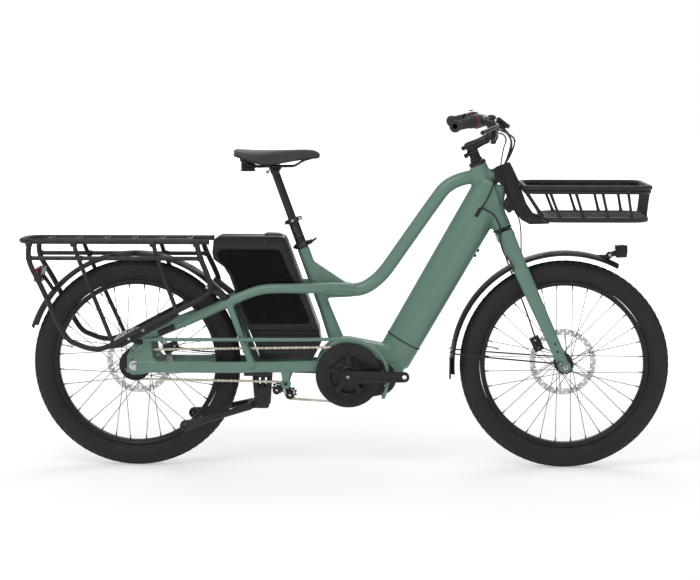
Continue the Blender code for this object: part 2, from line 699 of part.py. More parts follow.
def make_cranks():
    on_both_sides(make_crank)
    ring_outer = RING_PITCH_RADIUS - CHAIN_RADIUS - GAP
    spider = disc(CRANK_X, CRANK_Z, ring_outer, CHAIN_Y - 0.0015, CHAIN_Y + 0.0015, 32)
    arms = disc(CRANK_X, CRANK_Z, 0.024, CHAIN_Y - 0.016, CHAIN_Y + 0.001, 24)
    windows = [disc(CRANK_X + 0.050 * math.cos(angle), CRANK_Z + 0.050 * math.sin(angle), 0.014,
                    CHAIN_Y - 0.02, CHAIN_Y + 0.02, 6)
               for angle in (math.tau * n / 5 for n in range(5))]
    guard_y = CHAIN_Y - CHAIN_RADIUS - 0.0035
    guard = turned([(RING_GUARD_HOLE, guard_y - 0.002), (RING_GUARD_RADIUS, guard_y - 0.002),
                    (RING_GUARD_RADIUS, guard_y + 0.002), (RING_GUARD_HOLE, guard_y + 0.002)],
                   CRANK_X, CRANK_Z, 32)
    lugs = [disc(CRANK_X + 0.076 * math.cos(angle), CRANK_Z + 0.076 * math.sin(angle), 0.004,
                 guard_y, CHAIN_Y, 6)
            for angle in (math.tau * (n + 0.5) / 5 for n in range(5))]
    part("chainring", "black_alloy", cranks, [spider, arms, guard, bundle(lugs)],
         windows + [disc(CRANK_X, CRANK_Z, SPINDLE_RADIUS + GAP, -0.1, 0.1, 20)])


def make_crank(side, sign):
    y = sign * CRANK_Y
    direction = 1 if side == "right" else -1
    end_x = CRANK_X + direction * CRANK_LENGTH
    outline = hull_outline(((CRANK_X, CRANK_Z, 0.019), (end_x, CRANK_Z, 0.0155)))
    pedal_hole = disc(end_x, CRANK_Z, PEDAL_HOLE_RADIUS, y - 0.02, y + 0.02, 12)
    arm = plate(outline, CRANK_THICKNESS, y)
    if side == "left":
        spindle = disc(CRANK_X, CRANK_Z, SPINDLE_RADIUS, -CRANK_Y - 0.004, CRANK_Y, 20)
        part("crank_left", "black_alloy", cranks, [arm, spindle], [pedal_hole])
    else:
        socket = disc(CRANK_X, CRANK_Z, SPINDLE_RADIUS + GAP, y - 0.02, y + 0.02, 20)
        part("crank_right", "black_alloy", cranks, [arm], [socket, pedal_hole])


def arc(x, z, radius, start, end, steps):
    """Points of an arc, with angles in degrees from +X towards +Z."""
    angles = [math.radians(start + (end - start) * step / steps) for step in range(steps + 1)]
    return [(x + radius * math.cos(angle), z + radius * math.sin(angle)) for angle in angles]


def chain_loop():
    """Over the cog and the ring, back under the ring, below pulley B and above pulley A."""
    route = arc(REAR_AXLE_X, TYRE_RADIUS, COG_PITCH_RADIUS, 266, 91, 9)
    route += arc(CRANK_X, CRANK_Z, RING_PITCH_RADIUS, 91, -92, 14)
    span = Vector(PULLEY_B) - Vector(PULLEY_A)
    crossing = math.degrees(math.atan2(span.y, span.x) + math.acos(2 * PULLEY_PITCH_RADIUS / span.length))
    route += arc(*PULLEY_B, PULLEY_PITCH_RADIUS, -92, crossing - 180, 4)
    route += arc(*PULLEY_A, PULLEY_PITCH_RADIUS, crossing, 92, 4)
    return [Vector((x, CHAIN_Y, z)) for x, z in route]


def make_chain():
    part("chain", "steel", frame, [pipe(chain_loop(), CHAIN_RADIUS, 6, cyclic=True)])
    inner = COG_PITCH_RADIUS - CHAIN_RADIUS - 0.0006
    part("rear_cog", "steel", cog_axis,
         [disc(REAR_AXLE_X, TYRE_RADIUS, inner, CHAIN_Y - 0.0015, CHAIN_Y + 0.0015, 28),
          disc(REAR_AXLE_X, TYRE_RADIUS, 0.020, CHAIN_Y - 0.006, CHAIN_Y + 0.010, 20),
          disc(REAR_AXLE_X, TYRE_RADIUS, 0.049, CHAIN_Y - 0.0075, CHAIN_Y - 0.0050, 32)],
         [disc(REAR_AXLE_X, TYRE_RADIUS, AXLE_RADIUS + 0.001, -0.1, 0.1, 16)])
    part("rear_axle", "steel", frame, [disc(REAR_AXLE_X, TYRE_RADIUS, AXLE_RADIUS, -0.088, 0.088, 16)])


def make_tensioner():
    outline = hull_outline(((PULLEY_A[0], PULLEY_A[1], 0.008), (PULLEY_B[0], PULLEY_B[1], 0.008)))
    lever = hull_outline(((*TENSIONER_PIVOT, 0.010), (-0.178, 0.240, 0.008)))
    pins = [disc(x, z, 0.003, CHAIN_Y - 0.007, TENSIONER_Y + 0.001, 10) for x, z in (PULLEY_A, PULLEY_B)]
    part("tensioner_arm", "black_alloy", tension_axis,
         [plate(outline, 0.003, TENSIONER_Y), plate(lever, 0.003, TENSIONER_Y + 0.001), bundle(pins)],
         [disc(*TENSIONER_PIVOT, 0.0043, -0.06, -0.03, 12)])
    for name, (x, z), axis in (("tensioner_pulley_rear", PULLEY_A, pulley_axes[0]),
                               ("tensioner_pulley_front", PULLEY_B, pulley_axes[1])):
        part(name, "plastic", axis,
             [disc(x, z, PULLEY_PITCH_RADIUS - CHAIN_RADIUS - 0.0006, CHAIN_Y - 0.0035,
                   CHAIN_Y + 0.0035, 20)],
             [disc(x, z, 0.0034, -0.1, 0.1, 10)])


def tensioner_boss():
    """The boss under the right chainstay, with the pin that the tensioner pivots on."""
    x, z = TENSIONER_PIVOT
    boss_y = TENSIONER_Y + 0.0068
    return [box((0.018, 0.027, 0.012), (x, boss_y - 0.0105, 0.294)),
            box((0.016, 0.006, 0.030), (x, boss_y, 0.283)),
            disc(x, z, 0.009, boss_y - 0.003, boss_y + 0.003, 14),
            disc(x, z, 0.004, TENSIONER_Y - 0.0023, boss_y, 10)]


# ---------------------------------------------------------------- stand, seat and battery

def make_stand():
    x, z = STAND_PIVOT
    bar_x, bar_z = x - STAND_ARM * 0.968, z - STAND_ARM * 0.25
    arm = plate(hull_outline(((x, z, 0.013), (bar_x, bar_z, 0.0095)), 0.0, 6), 2 * STAND_HUB_HALF)
    pieces = [arm, disc(bar_x, bar_z, 0.0095, -0.058, 0.058, 12)]
    for sign in (1, -1):
        foot = (STAND_FOOT[0], sign * STAND_FOOT_Y, STAND_FOOT[1])
        knee = (bar_x - 0.030, sign * 0.062, bar_z - 0.008)
        heel = (STAND_FOOT[0] + 0.040, sign * (STAND_FOOT_Y - 0.014), STAND_FOOT[1] + 0.009)
        pieces += [pipe(smooth([(bar_x, sign * 0.050, bar_z), knee, foot], 2), STAND_LEG_RADIUS, 8),
                   rod(heel, (foot[0] - 0.012, foot[1], foot[2] - 0.003), STAND_FOOT_RADIUS * 0.8,
                       STAND_FOOT_RADIUS, sides=10)]
    part("centre_stand", "black_coat", stand_axis, pieces,
         [disc(x, z, 0.0063, -0.1, 0.1, 12)])
    saddle_plate = box((0.078, 2 * STAY_Y + 0.014, 0.008), (-0.261, 0.0, 0.2903))
    sides = [plate([(-0.276, 0.292), (-0.268, 0.184), (-0.228, 0.184), (-0.222, 0.292)], 0.006,
                   sign * (STAND_HUB_HALF + 0.0045)) for sign in (1, -1)]
    pin = disc(x, z, 0.006, -STAND_HUB_HALF - 0.006, STAND_HUB_HALF + 0.006, 12)
    part("stand_mount", "black_coat", frame, [saddle_plate, sides[0], sides[1], pin],
         [chainstay(1, GAP), chainstay(-1, GAP)])


def seat_point(height, forward=0.0):
    """A point by the seat tube's axis, at a height above its top end."""
    across = Vector((math.cos(SEAT_LEAN), 0.0, math.sin(SEAT_LEAN)))
    return SEAT_TUBE_TOP + SEAT_UP * height + across * forward


def make_seat():
    part("seat_clamp", "black_alloy", frame,
         [sleeve(seat_point(GAP), seat_point(0.016), SEAT_TUBE_RADIUS + CLAMP_WALL, POST_RADIUS + GAP)])
    part("seatpost_lower", "black_alloy", post_axis,
         [sleeve(seat_point(-POST_INSERT), seat_point(POST_COLLAR - 0.004), POST_RADIUS,
                 INNER_POST_RADIUS + GAP),
          sleeve(seat_point(POST_COLLAR - 0.014), seat_point(POST_COLLAR), POST_RADIUS + COLLAR_WALL,
                 INNER_POST_RADIUS + GAP)])
    top = seat_point(POST_COLLAR + INNER_POST_REACH)
    rails = [pipe(smooth([(-0.112, sign * 0.010, 0.9350), (-0.160, sign * 0.014, 0.9155),
                          (-0.250, sign * 0.014, 0.9150), (-0.290, sign * 0.030, 0.9300)], 3), 0.0035, 8)
             for sign in (1, -1)]
    part("seatpost_upper", "black_alloy", upper_post_axis,
         [rod(seat_point(POST_COLLAR - INNER_POST_INSERT), top, INNER_POST_RADIUS, sides=20),
          box((0.040, 0.038, 0.034), top + Z_UP * 0.006)] + rails, [saddle(GAP)])
    part("saddle", "saddle_skin", upper_post_axis, [saddle()])


def saddle(grow=0.0):
    """Cross sections along the saddle: (x, half width, top, belly)."""
    sections = [(-0.3345, 0.040, 0.960, 0.936), (-0.318, 0.082, 0.966, 0.930), (-0.280, 0.098, 0.968, 0.926),
                (-0.235, 0.088, 0.962, 0.928), (-0.190, 0.055, 0.957, 0.932), (-0.140, 0.030, 0.958, 0.934),
                (-0.095, 0.023, 0.960, 0.938), (-0.0715, 0.012, 0.957, 0.945)]
    bm = bmesh.new()
    rings = []
    for x, half, top, belly in sections:
        crown = top + grow
        low = belly - grow
        wide = half + grow
        middle = (crown + low) / 2 + 0.002
        ring = [(-wide, middle - 0.006), (-wide * 0.9, middle + 0.007), (-wide * 0.5, crown - 0.002),
                (0.0, crown - 0.003), (wide * 0.5, crown - 0.002), (wide * 0.9, middle + 0.007),
                (wide, middle - 0.006), (wide * 0.55, low), (-wide * 0.55, low)]
        rings.append([bm.verts.new((x, y, z)) for y, z in ring])
    for first, second in zip(rings, rings[1:]):
        for i in range(len(first)):
            j = (i + 1) % len(first)
            bm.faces.new((first[i], first[j], second[j], second[i]))
    bm.faces.new(rings[0])
    bm.faces.new(rings[-1])
    return shape_from(bm)


BATTERY_OUTLINE = [(-0.392, 0.692), (-0.372, 0.707), (-0.190, 0.707), (-0.172, 0.690),
                   (-0.0740, 0.4225), (-0.286, 0.4225), (-0.3187, 0.4912), (-0.3299, 0.5471), (-0.3437, 0.5865),
                   (-0.3608, 0.6144), (-0.3917, 0.6367), (-0.3956, 0.6562)]
DOCK_OUTLINE = [(-0.0742, 0.4215), (-0.0685, 0.3820), (-0.0890, 0.3420), (-0.0960, 0.3350),
                (-0.2515, 0.3350), (-0.2682, 0.3792), (-0.2855, 0.4215)]


def make_battery():
    handle = combine([box((0.056, 0.050, 0.020), (-0.2095, 0.0, 0.7045))],
                     [box((0.036, 0.060, 0.009), (-0.2095, 0.0, 0.7072))])
    part("battery", "plastic", battery_axis, [plate(BATTERY_OUTLINE, BATTERY_WIDTH), handle])
    part("battery_dock", "plastic", frame, [plate(DOCK_OUTLINE, DOCK_WIDTH)],
         [seat_tube(GAP), cradle(GAP)])


# ---------------------------------------------------------------- rack and fenders

def deck_rails(grow=0.0):
    corners = [(DECK_FRONT_X, DECK_RAIL_Y, DECK_Z), (DECK_REAR_X + 0.040, DECK_RAIL_Y, DECK_Z),
               (DECK_REAR_X + 0.012, DECK_RAIL_Y - 0.012, DECK_Z), (DECK_REAR_X, DECK_RAIL_Y - 0.040, DECK_Z)]
    other = [(x, -y, z) for x, y, z in reversed(corners)]
    return pipe([Vector(point) for point in corners + other], DECK_RADIUS + grow, 10)


def make_rack():
    slats = []
    first = DECK_REAR_X + 0.080
    last = DECK_FRONT_X - 0.066
    for number in range(SLAT_COUNT):
        x = first + (last - first) * number / (SLAT_COUNT - 1)
        slats.append(box((0.018, 2 * DECK_RAIL_Y, 0.005), (x, 0.0, DECK_Z + 0.003)))
    spine = box((last - first, 0.022, 0.004), ((first + last) / 2, 0.0, DECK_Z + 0.0018))
    part("rack_deck", "black_coat", frame, [deck_rails(), bundle(slats), spine])
    on_both_sides(make_side_loop)


def make_side_loop(side, sign):
    loop = [(-0.9455, 0.080, DECK_Z - 0.004), (-0.943, 0.0915, 0.6325), (-0.905, 0.108, 0.5580),
            (-0.836, LOOP_LOW_Y, 0.4180), (-0.790, LOOP_LOW_Y, 0.3840), (-0.738, LOOP_LOW_Y, 0.3720),
            (-0.692, LOOP_LOW_Y, 0.3850), (-0.625, LOOP_LOW_Y, 0.4200), (-0.508, LOOP_LOW_Y, 0.4815),
            (-0.420, LOOP_LOW_Y - 0.002, 0.5270), (-0.395, 0.117, 0.5540), (-0.402, 0.110, 0.5870),
            (-0.428, 0.094, 0.6480), (-0.440, 0.080, DECK_Z - 0.004)]
    legs = [[(-0.810, 0.080, DECK_Z - 0.004), (-0.791, SIDE_RAIL_Y, 0.6325), (-0.690, LOOP_LOW_Y, 0.3930)],
            [(-0.571, 0.080, DECK_Z - 0.004), (-0.552, SIDE_RAIL_Y, 0.6280), (-0.497, LOOP_LOW_Y, 0.4880)]]
    shape = [pipe(smooth([(x, sign * y, z) for x, y, z in loop], 1), LOOP_RADIUS, 8)]
    for leg in legs:
        shape.append(pipe(smooth([(x, sign * y, z) for x, y, z in leg], 2), LOOP_RADIUS * 0.8, 6))
    shape.append(rod((-0.943, sign * SIDE_RAIL_Y, SIDE_RAIL_Z), (-0.428, sign * SIDE_RAIL_Y, SIDE_RAIL_Z),
                     LOOP_RADIUS * 0.8, sides=8))
    foot = rod((-0.640, sign * LOOP_LOW_Y, 0.404), (-0.606, sign * (STAY_Y + 0.004), 0.386), 0.009, sides=8)
    bracket = rod((-0.405, sign * (LOOP_LOW_Y - 0.004), 0.560), (-0.345, sign * STAY_Y, 0.520), 0.010,
                  sides=8)
    part("rack_loop_" + side, "black_coat", frame, shape + [foot, bracket],
         [deck_rails(GAP), stay(sign, GAP), dropout(sign, GAP)])


def fender_profile(radius):
    """A crowned strip: (radius, y) points out along the top and back along the underside."""
    half = FENDER_WIDTH / 2
    places = [-1.0, -0.62, 0.0, 0.62, 1.0]
    top = [(radius - FENDER_DROP * t * t, half * t) for t in places]
    under = [(radius - FENDER_SHEET - FENDER_DROP * t * t, half * t * 0.96) for t in reversed(places)]
    return top + under


def make_fenders():
    lamp_arm = rod((-0.8880, 0.0, 0.538), (-0.9180, 0.0, 0.582), 0.006, sides=8)
    bridge = box((0.012, 2 * STAY_Y, 0.008), (-0.3480, 0.0, 0.5085))
    part("rear_fender", "black_coat", frame,
         [turned(fender_profile(REAR_FENDER_RADIUS), REAR_AXLE_X, TYRE_RADIUS, 20,
                 math.radians(6), math.radians(155)), lamp_arm, bridge],
         [stay(1, GAP), stay(-1, GAP), box((0.020 + 2 * GAP, 0.2, 0.048 + 2 * GAP), (-0.9290, 0.0, 0.586),
                                           math.radians(10))])
    wires = []
    for sign in (1, -1):
        low = (FRONT_AXLE_X - 0.020, sign * 0.0835, TYRE_RADIUS + 0.008)
        wires.append(pipe([Vector(low), Vector((FRONT_AXLE_X - 0.323, sign * 0.055, TYRE_RADIUS + 0.0355)),
                           Vector((FRONT_AXLE_X - 0.3345, sign * 0.0345, TYRE_RADIUS + 0.0455))], 0.0025, 6))
    bracket = plate([(0.745, 0.6450), (0.770, 0.6380), (0.805, 0.6350), (0.8095, 0.640), (0.8095, 0.658),
                     (0.798, 0.660), (0.792, 0.650)], LAMP_LUG_WIDTH)
    part("front_fender", "black_coat", steering,
         [turned(fender_profile(FRONT_FENDER_RADIUS), FRONT_AXLE_X, TYRE_RADIUS, 18,
                 math.radians(62), math.radians(126)), bracket] + wires,
         [blade(1, GAP), blade(-1, GAP),
          box((0.056 + 2 * GAP, 0.14, 0.036 + 2 * GAP), steer_point(-0.028), HEAD_ANGLE - math.pi / 2)])


def make_lights():
    ears = [plate(hull_outline(((*LAMP_PIVOT, 0.007), (LAMP_PIVOT[0] + 0.022, 0.656, 0.007)), 0.0, 5), 0.004,
                  sign * (LAMP_LUG_WIDTH / 2 + 0.0026)) for sign in (1, -1)]
    part("headlight", "black_coat", lamp_axis,
         [box((0.030, 0.044, 0.036), (0.8340, 0.0, 0.661), math.radians(-3)),
          rod((0.840, 0.0, 0.661), (0.8545, 0.0, 0.6605), 0.017, 0.019, sides=20)] + ears)
    part("rear_light", "red_lens", frame, [box((0.020, 0.084, 0.048), (-0.9290, 0.0, 0.586), math.radians(10))])


# ---------------------------------------------------------------- basket

def basket_loop(z, rear, front, half, radius, corner=0.045):
    """A closed rectangular rail with round corners."""
    route = []
    for cx, cy, start in ((front - corner, half - corner, 0), (rear + corner, half - corner, 90),
                          (rear + corner, -half + corner, 180), (front - corner, -half + corner, 270)):
        for step in range(4):
            angle = math.radians(start + 30 * step)
            route.append(Vector((cx + corner * math.cos(angle), cy + corner * math.sin(angle), z)))
    return pipe(route, radius, 6, cyclic=True)


def make_basket():
    half = BASKET_HALF_WIDTH
    low_half = half - 0.012
    low_rear = BASKET_REAR_X + BASKET_SETBACK
    low_front = BASKET_FRONT_X - 0.010
    low_z = BASKET_FLOOR_Z
    rods = []
    for share in (0.15, 0.38, 0.62, 0.85):
        top_x = BASKET_REAR_X + 0.02 + (BASKET_FRONT_X - BASKET_REAR_X - 0.04) * share
        low_x = low_rear + (low_front - low_rear) * share
        for sign in (1, -1):
            rods.append(box_bar((top_x, sign * half, BASKET_TOP_Z), (low_x, sign * low_half, low_z)))
    for share in (-0.6, -0.2, 0.2, 0.6):
        rods.append(box_bar((BASKET_FRONT_X, share * half, BASKET_TOP_Z), (low_front, share * low_half, low_z)))
        rods.append(box_bar((BASKET_REAR_X, share * half, BASKET_TOP_Z), (low_rear, share * low_half, low_z)))
    for share in (-0.66, -0.33, 0.0, 0.33, 0.66):
        rods.append(box_bar((low_rear, share * low_half, low_z), (low_front, share * low_half, low_z)))
    part("basket", "black_coat", frame,
         [basket_loop(BASKET_TOP_Z, BASKET_REAR_X, BASKET_FRONT_X, half, BASKET_TUBE),
          basket_loop(low_z, low_rear, low_front, low_half, BASKET_TUBE), bundle(rods)])
    arms = plate([(0.4900, 0.860), (0.5220, 0.806), (0.5300, 0.770), (0.6200, 0.7510), (0.6200, 0.7420),
                  (0.5250, 0.744), (0.5060, 0.765), (0.4760, 0.848)], 0.036)
    ear = plate([(0.4240, 0.9150), (0.4500, 0.920), (0.5100, 0.815), (0.4700, 0.790)], 0.030)
    part("basket_bracket", "black_coat", frame, [arms, ear], [head_tube(GAP), down_tube(GAP)])


def box_bar(start, end):
    return rod(start, end, 0.0042, sides=4)


# ---------------------------------------------------------------- guard rod, cables and the rest

def make_guard_rod():
    rear_y = -STAY_Y - 0.0175
    front_y = -CRANK_Y + 0.0155
    route = [(-0.565, rear_y, 0.398), (-0.160, rear_y, 0.399), (-0.020, front_y, 0.399),
             (0.041, front_y, 0.395), (0.092, front_y, 0.373), (0.122, front_y, 0.338),
             (0.1345, front_y, 0.296), (0.130, front_y, 0.250), (0.121, front_y, 0.221)]
    wire = pipe(smooth(route, 2), 0.0055, 8)
    tabs = [rod((-0.560, rear_y, 0.398), (-0.592, -STAY_Y + 0.002, 0.398), 0.0055, sides=8),
            rod((0.121, front_y, 0.223), (0.121, -0.030, 0.235), 0.0055, sides=8)]
    part("chain_guard_rod", "sage_paint", frame, [wire] + tabs,
         [stay(-1, GAP), dropout(-1, GAP), motor(GAP), cradle(GAP)])


def make_rear_caliper():
    part("rear_caliper", "black_coat", frame,
         [box((0.046, 0.026, 0.030), (REAR_AXLE_X + 0.097, CALIPER_Y, TYRE_RADIUS + 0.0395), math.radians(-20))],
         [disc(REAR_AXLE_X, TYRE_RADIUS, ROTOR_RADIUS + RUNNING_GAP, ROTOR_Y - 0.002, ROTOR_Y + 0.002, 48),
          chainstay(1, GAP), stay(1, GAP)])


CABLE_ROUTES = {
    "cable_bar": [(0.468, -0.030, 1.000), (0.493, -0.040, 0.990), (0.503, -0.044, 0.960),
                  (0.490, -0.036, 0.915), (0.462, -0.024, 0.880)],
    "cable_fork": [(0.420, -0.0480, 0.792), (0.452, -0.058, 0.775), (0.470, -0.072, 0.738),
                   (0.468, -0.080, 0.700), (0.496, -0.085, 0.640)],
}


def make_cables():
    for name, points in CABLE_ROUTES.items():
        part(name, "rubber", frame, [pipe(smooth(points, 4), 0.0026, 8)])


# ---------------------------------------------------------------- build

clear_scene()
bicycle = new_collection("cargo_bicycle")
shapes = new_collection("cutters")
make_paints()
frame = pivot("frame_origin", 0.0, 0.0, 0.0)
front_wheel = pivot("front_wheel_axis", FRONT_AXLE_X, 0.0, TYRE_RADIUS)
rear_wheel = pivot("rear_wheel_axis", REAR_AXLE_X, 0.0, TYRE_RADIUS)
make_wheel("front", FRONT_AXLE_X, FRONT_HUB_RADIUS, FRONT_FLANGE_RADIUS, FRONT_FLANGE_Y, front_wheel)
make_wheel("rear", REAR_AXLE_X, REAR_HUB_RADIUS, REAR_FLANGE_RADIUS, REAR_FLANGE_Y, rear_wheel)
make_frame()
steer_origin = steer_point(0.0)
steering = pivot("steering_axis", *steer_origin)
hang(front_wheel, steering)
cranks = pivot("crank_axis", CRANK_X, 0.0, CRANK_Z)
cog_axis = pivot("cog_axis", REAR_AXLE_X, 0.0, TYRE_RADIUS)
tension_axis = pivot("tensioner_axis", TENSIONER_PIVOT[0], CHAIN_Y, TENSIONER_PIVOT[1])
pulley_axes = [pivot("pulley_axis_" + end, x, CHAIN_Y, z, tension_axis)
               for end, (x, z) in (("rear", PULLEY_A), ("front", PULLEY_B))]
stand_axis = pivot("stand_axis", STAND_PIVOT[0], 0.0, STAND_PIVOT[1])
post_axis = pivot("post_axis", *SEAT_TUBE_TOP)
upper_post_axis = pivot("upper_post_axis", *seat_point(POST_COLLAR), post_axis)
battery_axis = pivot("battery_axis", *SEAT_TUBE_TOP)
lamp_axis = pivot("lamp_axis", LAMP_PIVOT[0], 0.0, LAMP_PIVOT[1], steering)
shifter_axis = pivot("shifter_axis", *grip_point(0.040, -1), steering)
button_axis = pivot("button_axis", *grip_point(0.020, 1), steering)
lever_axes = {side: pivot("lever_axis_" + side, *lever_pivot(sign), steering)
              for side, sign in (("left", 1), ("right", -1))}
make_fork()
make_cockpit()
make_shifter()
make_cranks()
make_chain()
make_tensioner()
make_stand()
make_seat()
make_battery()
make_rack()
make_fenders()
make_lights()
make_basket()
make_guard_rod()
make_rear_caliper()
make_cables()
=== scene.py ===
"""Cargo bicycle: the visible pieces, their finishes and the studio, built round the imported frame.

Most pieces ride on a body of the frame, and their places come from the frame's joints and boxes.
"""

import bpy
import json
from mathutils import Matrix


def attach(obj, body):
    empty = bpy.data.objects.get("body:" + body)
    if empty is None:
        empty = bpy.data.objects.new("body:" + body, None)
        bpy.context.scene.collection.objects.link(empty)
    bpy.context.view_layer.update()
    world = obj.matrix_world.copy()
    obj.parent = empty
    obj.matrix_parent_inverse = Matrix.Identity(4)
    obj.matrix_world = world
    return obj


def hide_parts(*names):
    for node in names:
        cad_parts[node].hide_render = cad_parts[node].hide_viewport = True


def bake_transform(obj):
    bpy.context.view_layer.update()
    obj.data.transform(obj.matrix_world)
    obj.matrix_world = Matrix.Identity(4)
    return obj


bl_info = {
    "name": "Cargo bicycle",
    "version": (1, 0, 0),
    "blender": (4, 5, 0),
    "location": "View3D > Sidebar > Bicycle",
    "description": "Builds the visible pieces of a cargo bicycle round its frame",
    "category": "Object",
}

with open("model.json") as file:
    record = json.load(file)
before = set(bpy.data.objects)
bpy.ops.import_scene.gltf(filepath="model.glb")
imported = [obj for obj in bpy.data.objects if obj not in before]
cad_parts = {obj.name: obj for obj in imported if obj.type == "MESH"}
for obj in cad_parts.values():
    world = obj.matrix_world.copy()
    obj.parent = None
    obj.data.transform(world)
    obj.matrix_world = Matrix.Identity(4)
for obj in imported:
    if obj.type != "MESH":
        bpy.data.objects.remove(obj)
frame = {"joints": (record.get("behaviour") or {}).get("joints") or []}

import json
import math

import bmesh
import bpy
from bpy.props import FloatProperty, FloatVectorProperty, IntProperty, PointerProperty
from bpy.types import Operator, Panel, PropertyGroup
from mathutils import Matrix, Vector

JOINTS = {joint["name"]: joint for joint in frame["joints"]}
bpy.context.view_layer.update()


def joint_place(name):
    return Vector(JOINTS[name]["pos_m"])


def joint_axis(name):
    return Vector(JOINTS[name]["axis"]).normalized()


FRONT_AXLE = joint_place("front_wheel_spin")
REAR_AXLE = joint_place("rear_wheel_spin")
CRANK_AXLE = joint_place("crank_spin")
STEER_ORIGIN = joint_place("steering")
STEER_UP = joint_axis("steering")
STEER_FORWARD = Vector((STEER_UP.z, 0.0, -STEER_UP.x))
SEAT_UP = joint_axis("post_slide")
TYRE_RADIUS = FRONT_AXLE.z
ACROSS = Vector((0.0, 1.0, 0.0))
UP = Vector((0.0, 0.0, 1.0))


# ---------------------------------------------------------------- settings

class WheelSettings(PropertyGroup):
    spoke_count: IntProperty(name="Spokes", description="Spokes in each wheel", default=32, min=16, max=48)
    spoke_radius: FloatProperty(name="Spoke radius", description="Radius of a spoke", default=0.001,
                                unit="LENGTH")
    tread_rows: IntProperty(name="Tread blocks", description="Blocks round the tyre", default=84)


class PaintSettings(PropertyGroup):
    frame_colour: FloatVectorProperty(name="Frame colour", description="Paint on the frame and fork",
                                      subtype="COLOR", size=3, default=(0.112, 0.205, 0.155))
    coat_colour: FloatVectorProperty(name="Coat colour", description="Powder coat on rack and fenders",
                                     subtype="COLOR", size=3, default=(0.016, 0.0165, 0.018))
    tyre_colour: FloatVectorProperty(name="Tyre colour", description="Rubber of the tyres",
                                     subtype="COLOR", size=3, default=(0.02, 0.02, 0.022))
    ring_colour: FloatVectorProperty(name="Ring colour", description="Accent ring on the twist shifter",
                                     subtype="COLOR", size=3, default=(0.55, 0.02, 0.02))


class StageSettings(PropertyGroup):
    camera_distance: FloatProperty(name="Camera distance", description="From the bicycle's middle plane",
                                   default=6.1, unit="LENGTH")
    camera_height: FloatProperty(name="Camera height", description="Above the floor", default=1.19,
                                 unit="LENGTH")
    camera_side: FloatProperty(name="Camera place", description="Along the bicycle", default=0.2285,
                               unit="LENGTH")
    lens: FloatProperty(name="Lens", description="Focal length in millimetres", default=103.9)


# ---------------------------------------------------------------- modelling helpers

def select_only(*objs):
    if bpy.context.object and bpy.context.object.mode != "OBJECT":
        bpy.ops.object.mode_set(mode="OBJECT")
    bpy.ops.object.select_all(action="DESELECT")
    for obj in objs:
        obj.select_set(True)
    bpy.context.view_layer.objects.active = objs[-1]


def edit(obj, action="SELECT"):
    select_only(obj)
    bpy.ops.object.mode_set(mode="EDIT")
    bpy.ops.mesh.select_all(action=action)


def leave():
    bpy.ops.object.mode_set(mode="OBJECT")


def clean(obj, distance=0.00002):
    """Merges doubles and turns the faces outwards."""
    edit(obj)
    bpy.ops.mesh.remove_doubles(threshold=distance)
    bpy.ops.mesh.normals_make_consistent(inside=False)
    leave()
    return obj


def apply_all(obj):
    select_only(obj)
    for modifier in list(obj.modifiers):
        bpy.ops.object.modifier_apply(modifier=modifier.name)
    return obj


def rounded(obj, width, segments=2, angle=35.0):
    """Bevels the sharp edges and applies the bevel."""
    bevel = obj.modifiers.new("round", "BEVEL")
    bevel.width = width
    bevel.segments = segments
    bevel.limit_method = "ANGLE"
    bevel.angle_limit = math.radians(angle)
    bevel.use_clamp_overlap = True
    return apply_all(obj)


def softened(obj, levels=2):
    smooth = obj.modifiers.new("soft", "SUBSURF")
    smooth.levels = levels
    smooth.render_levels = levels
    return apply_all(obj)


def mesh_from(verts, edges=(), faces=()):
    mesh = bpy.data.meshes.new("drawn")
    mesh.from_pydata([tuple(vert) for vert in verts], edges, faces)
    obj = bpy.data.objects.new("drawn", mesh)
    bpy.context.scene.collection.objects.link(obj)
    return obj


def joined(pieces):
    """Several objects as one, without merging their surfaces."""
    pieces = list(pieces)
    if len(pieces) > 1:
        select_only(*pieces)
        bpy.ops.object.join()
        return bpy.context.object
    return pieces[0]


def smooth_route(points, steps=8):
    """A Catmull-Rom curve through the points."""
    points = [Vector(point) for point in points]
    ends = [2 * points[0] - points[1]] + points + [2 * points[-1] - points[-2]]
    route = []
    for before, start, end, after in zip(ends, ends[1:], ends[2:], ends[3:]):
        for step in range(steps):
            t = step / steps
            route.append(0.5 * (2 * start + (end - before) * t
                                + (2 * before - 5 * start + 4 * end - after) * t ** 2
                                + (3 * start - before - 3 * end + after) * t ** 3))
    return route + [points[-1]]


def tube(route, radius, sides=20, closed=False, radii=None):
    """A round tube along a route; radii scales the radius at each point."""
    bpy.ops.curve.primitive_nurbs_path_add(location=(0.0, 0.0, 0.0))
    obj = bpy.context.object
    curve = obj.data
    curve.splines.clear()
    curve.bevel_depth = radius
    curve.bevel_resolution = (sides - 4) // 2
    curve.use_fill_caps = not closed
    spline = curve.splines.new("POLY")
    spline.points.add(len(route) - 1)
    for number, (spot, point) in enumerate(zip(spline.points, route)):
        spot.co = (*point, 1.0)
        spot.radius = radii[number] if radii else 1.0
    spline.use_cyclic_u = closed
    select_only(obj)
    bpy.ops.object.convert(target="MESH")
    return clean(bpy.context.object, 0.000005)


def bar(start, end, radius, end_radius=None, sides=20, bevel=0.0):
    """A straight round bar, cylinder or cone, with softened ends."""
    start = Vector(start)
    axis = Vector(end) - start
    bpy.ops.mesh.primitive_cone_add(vertices=sides, radius1=radius, radius2=end_radius or radius,
                                    depth=axis.length, location=start + axis / 2,
                                    rotation=axis.to_track_quat("Z", "Y").to_euler())
    obj = bpy.context.object
    select_only(obj)
    bpy.ops.object.transform_apply(location=True, rotation=True, scale=True)
    if bevel:
        rounded(obj, bevel, 2, 50.0)
    return obj


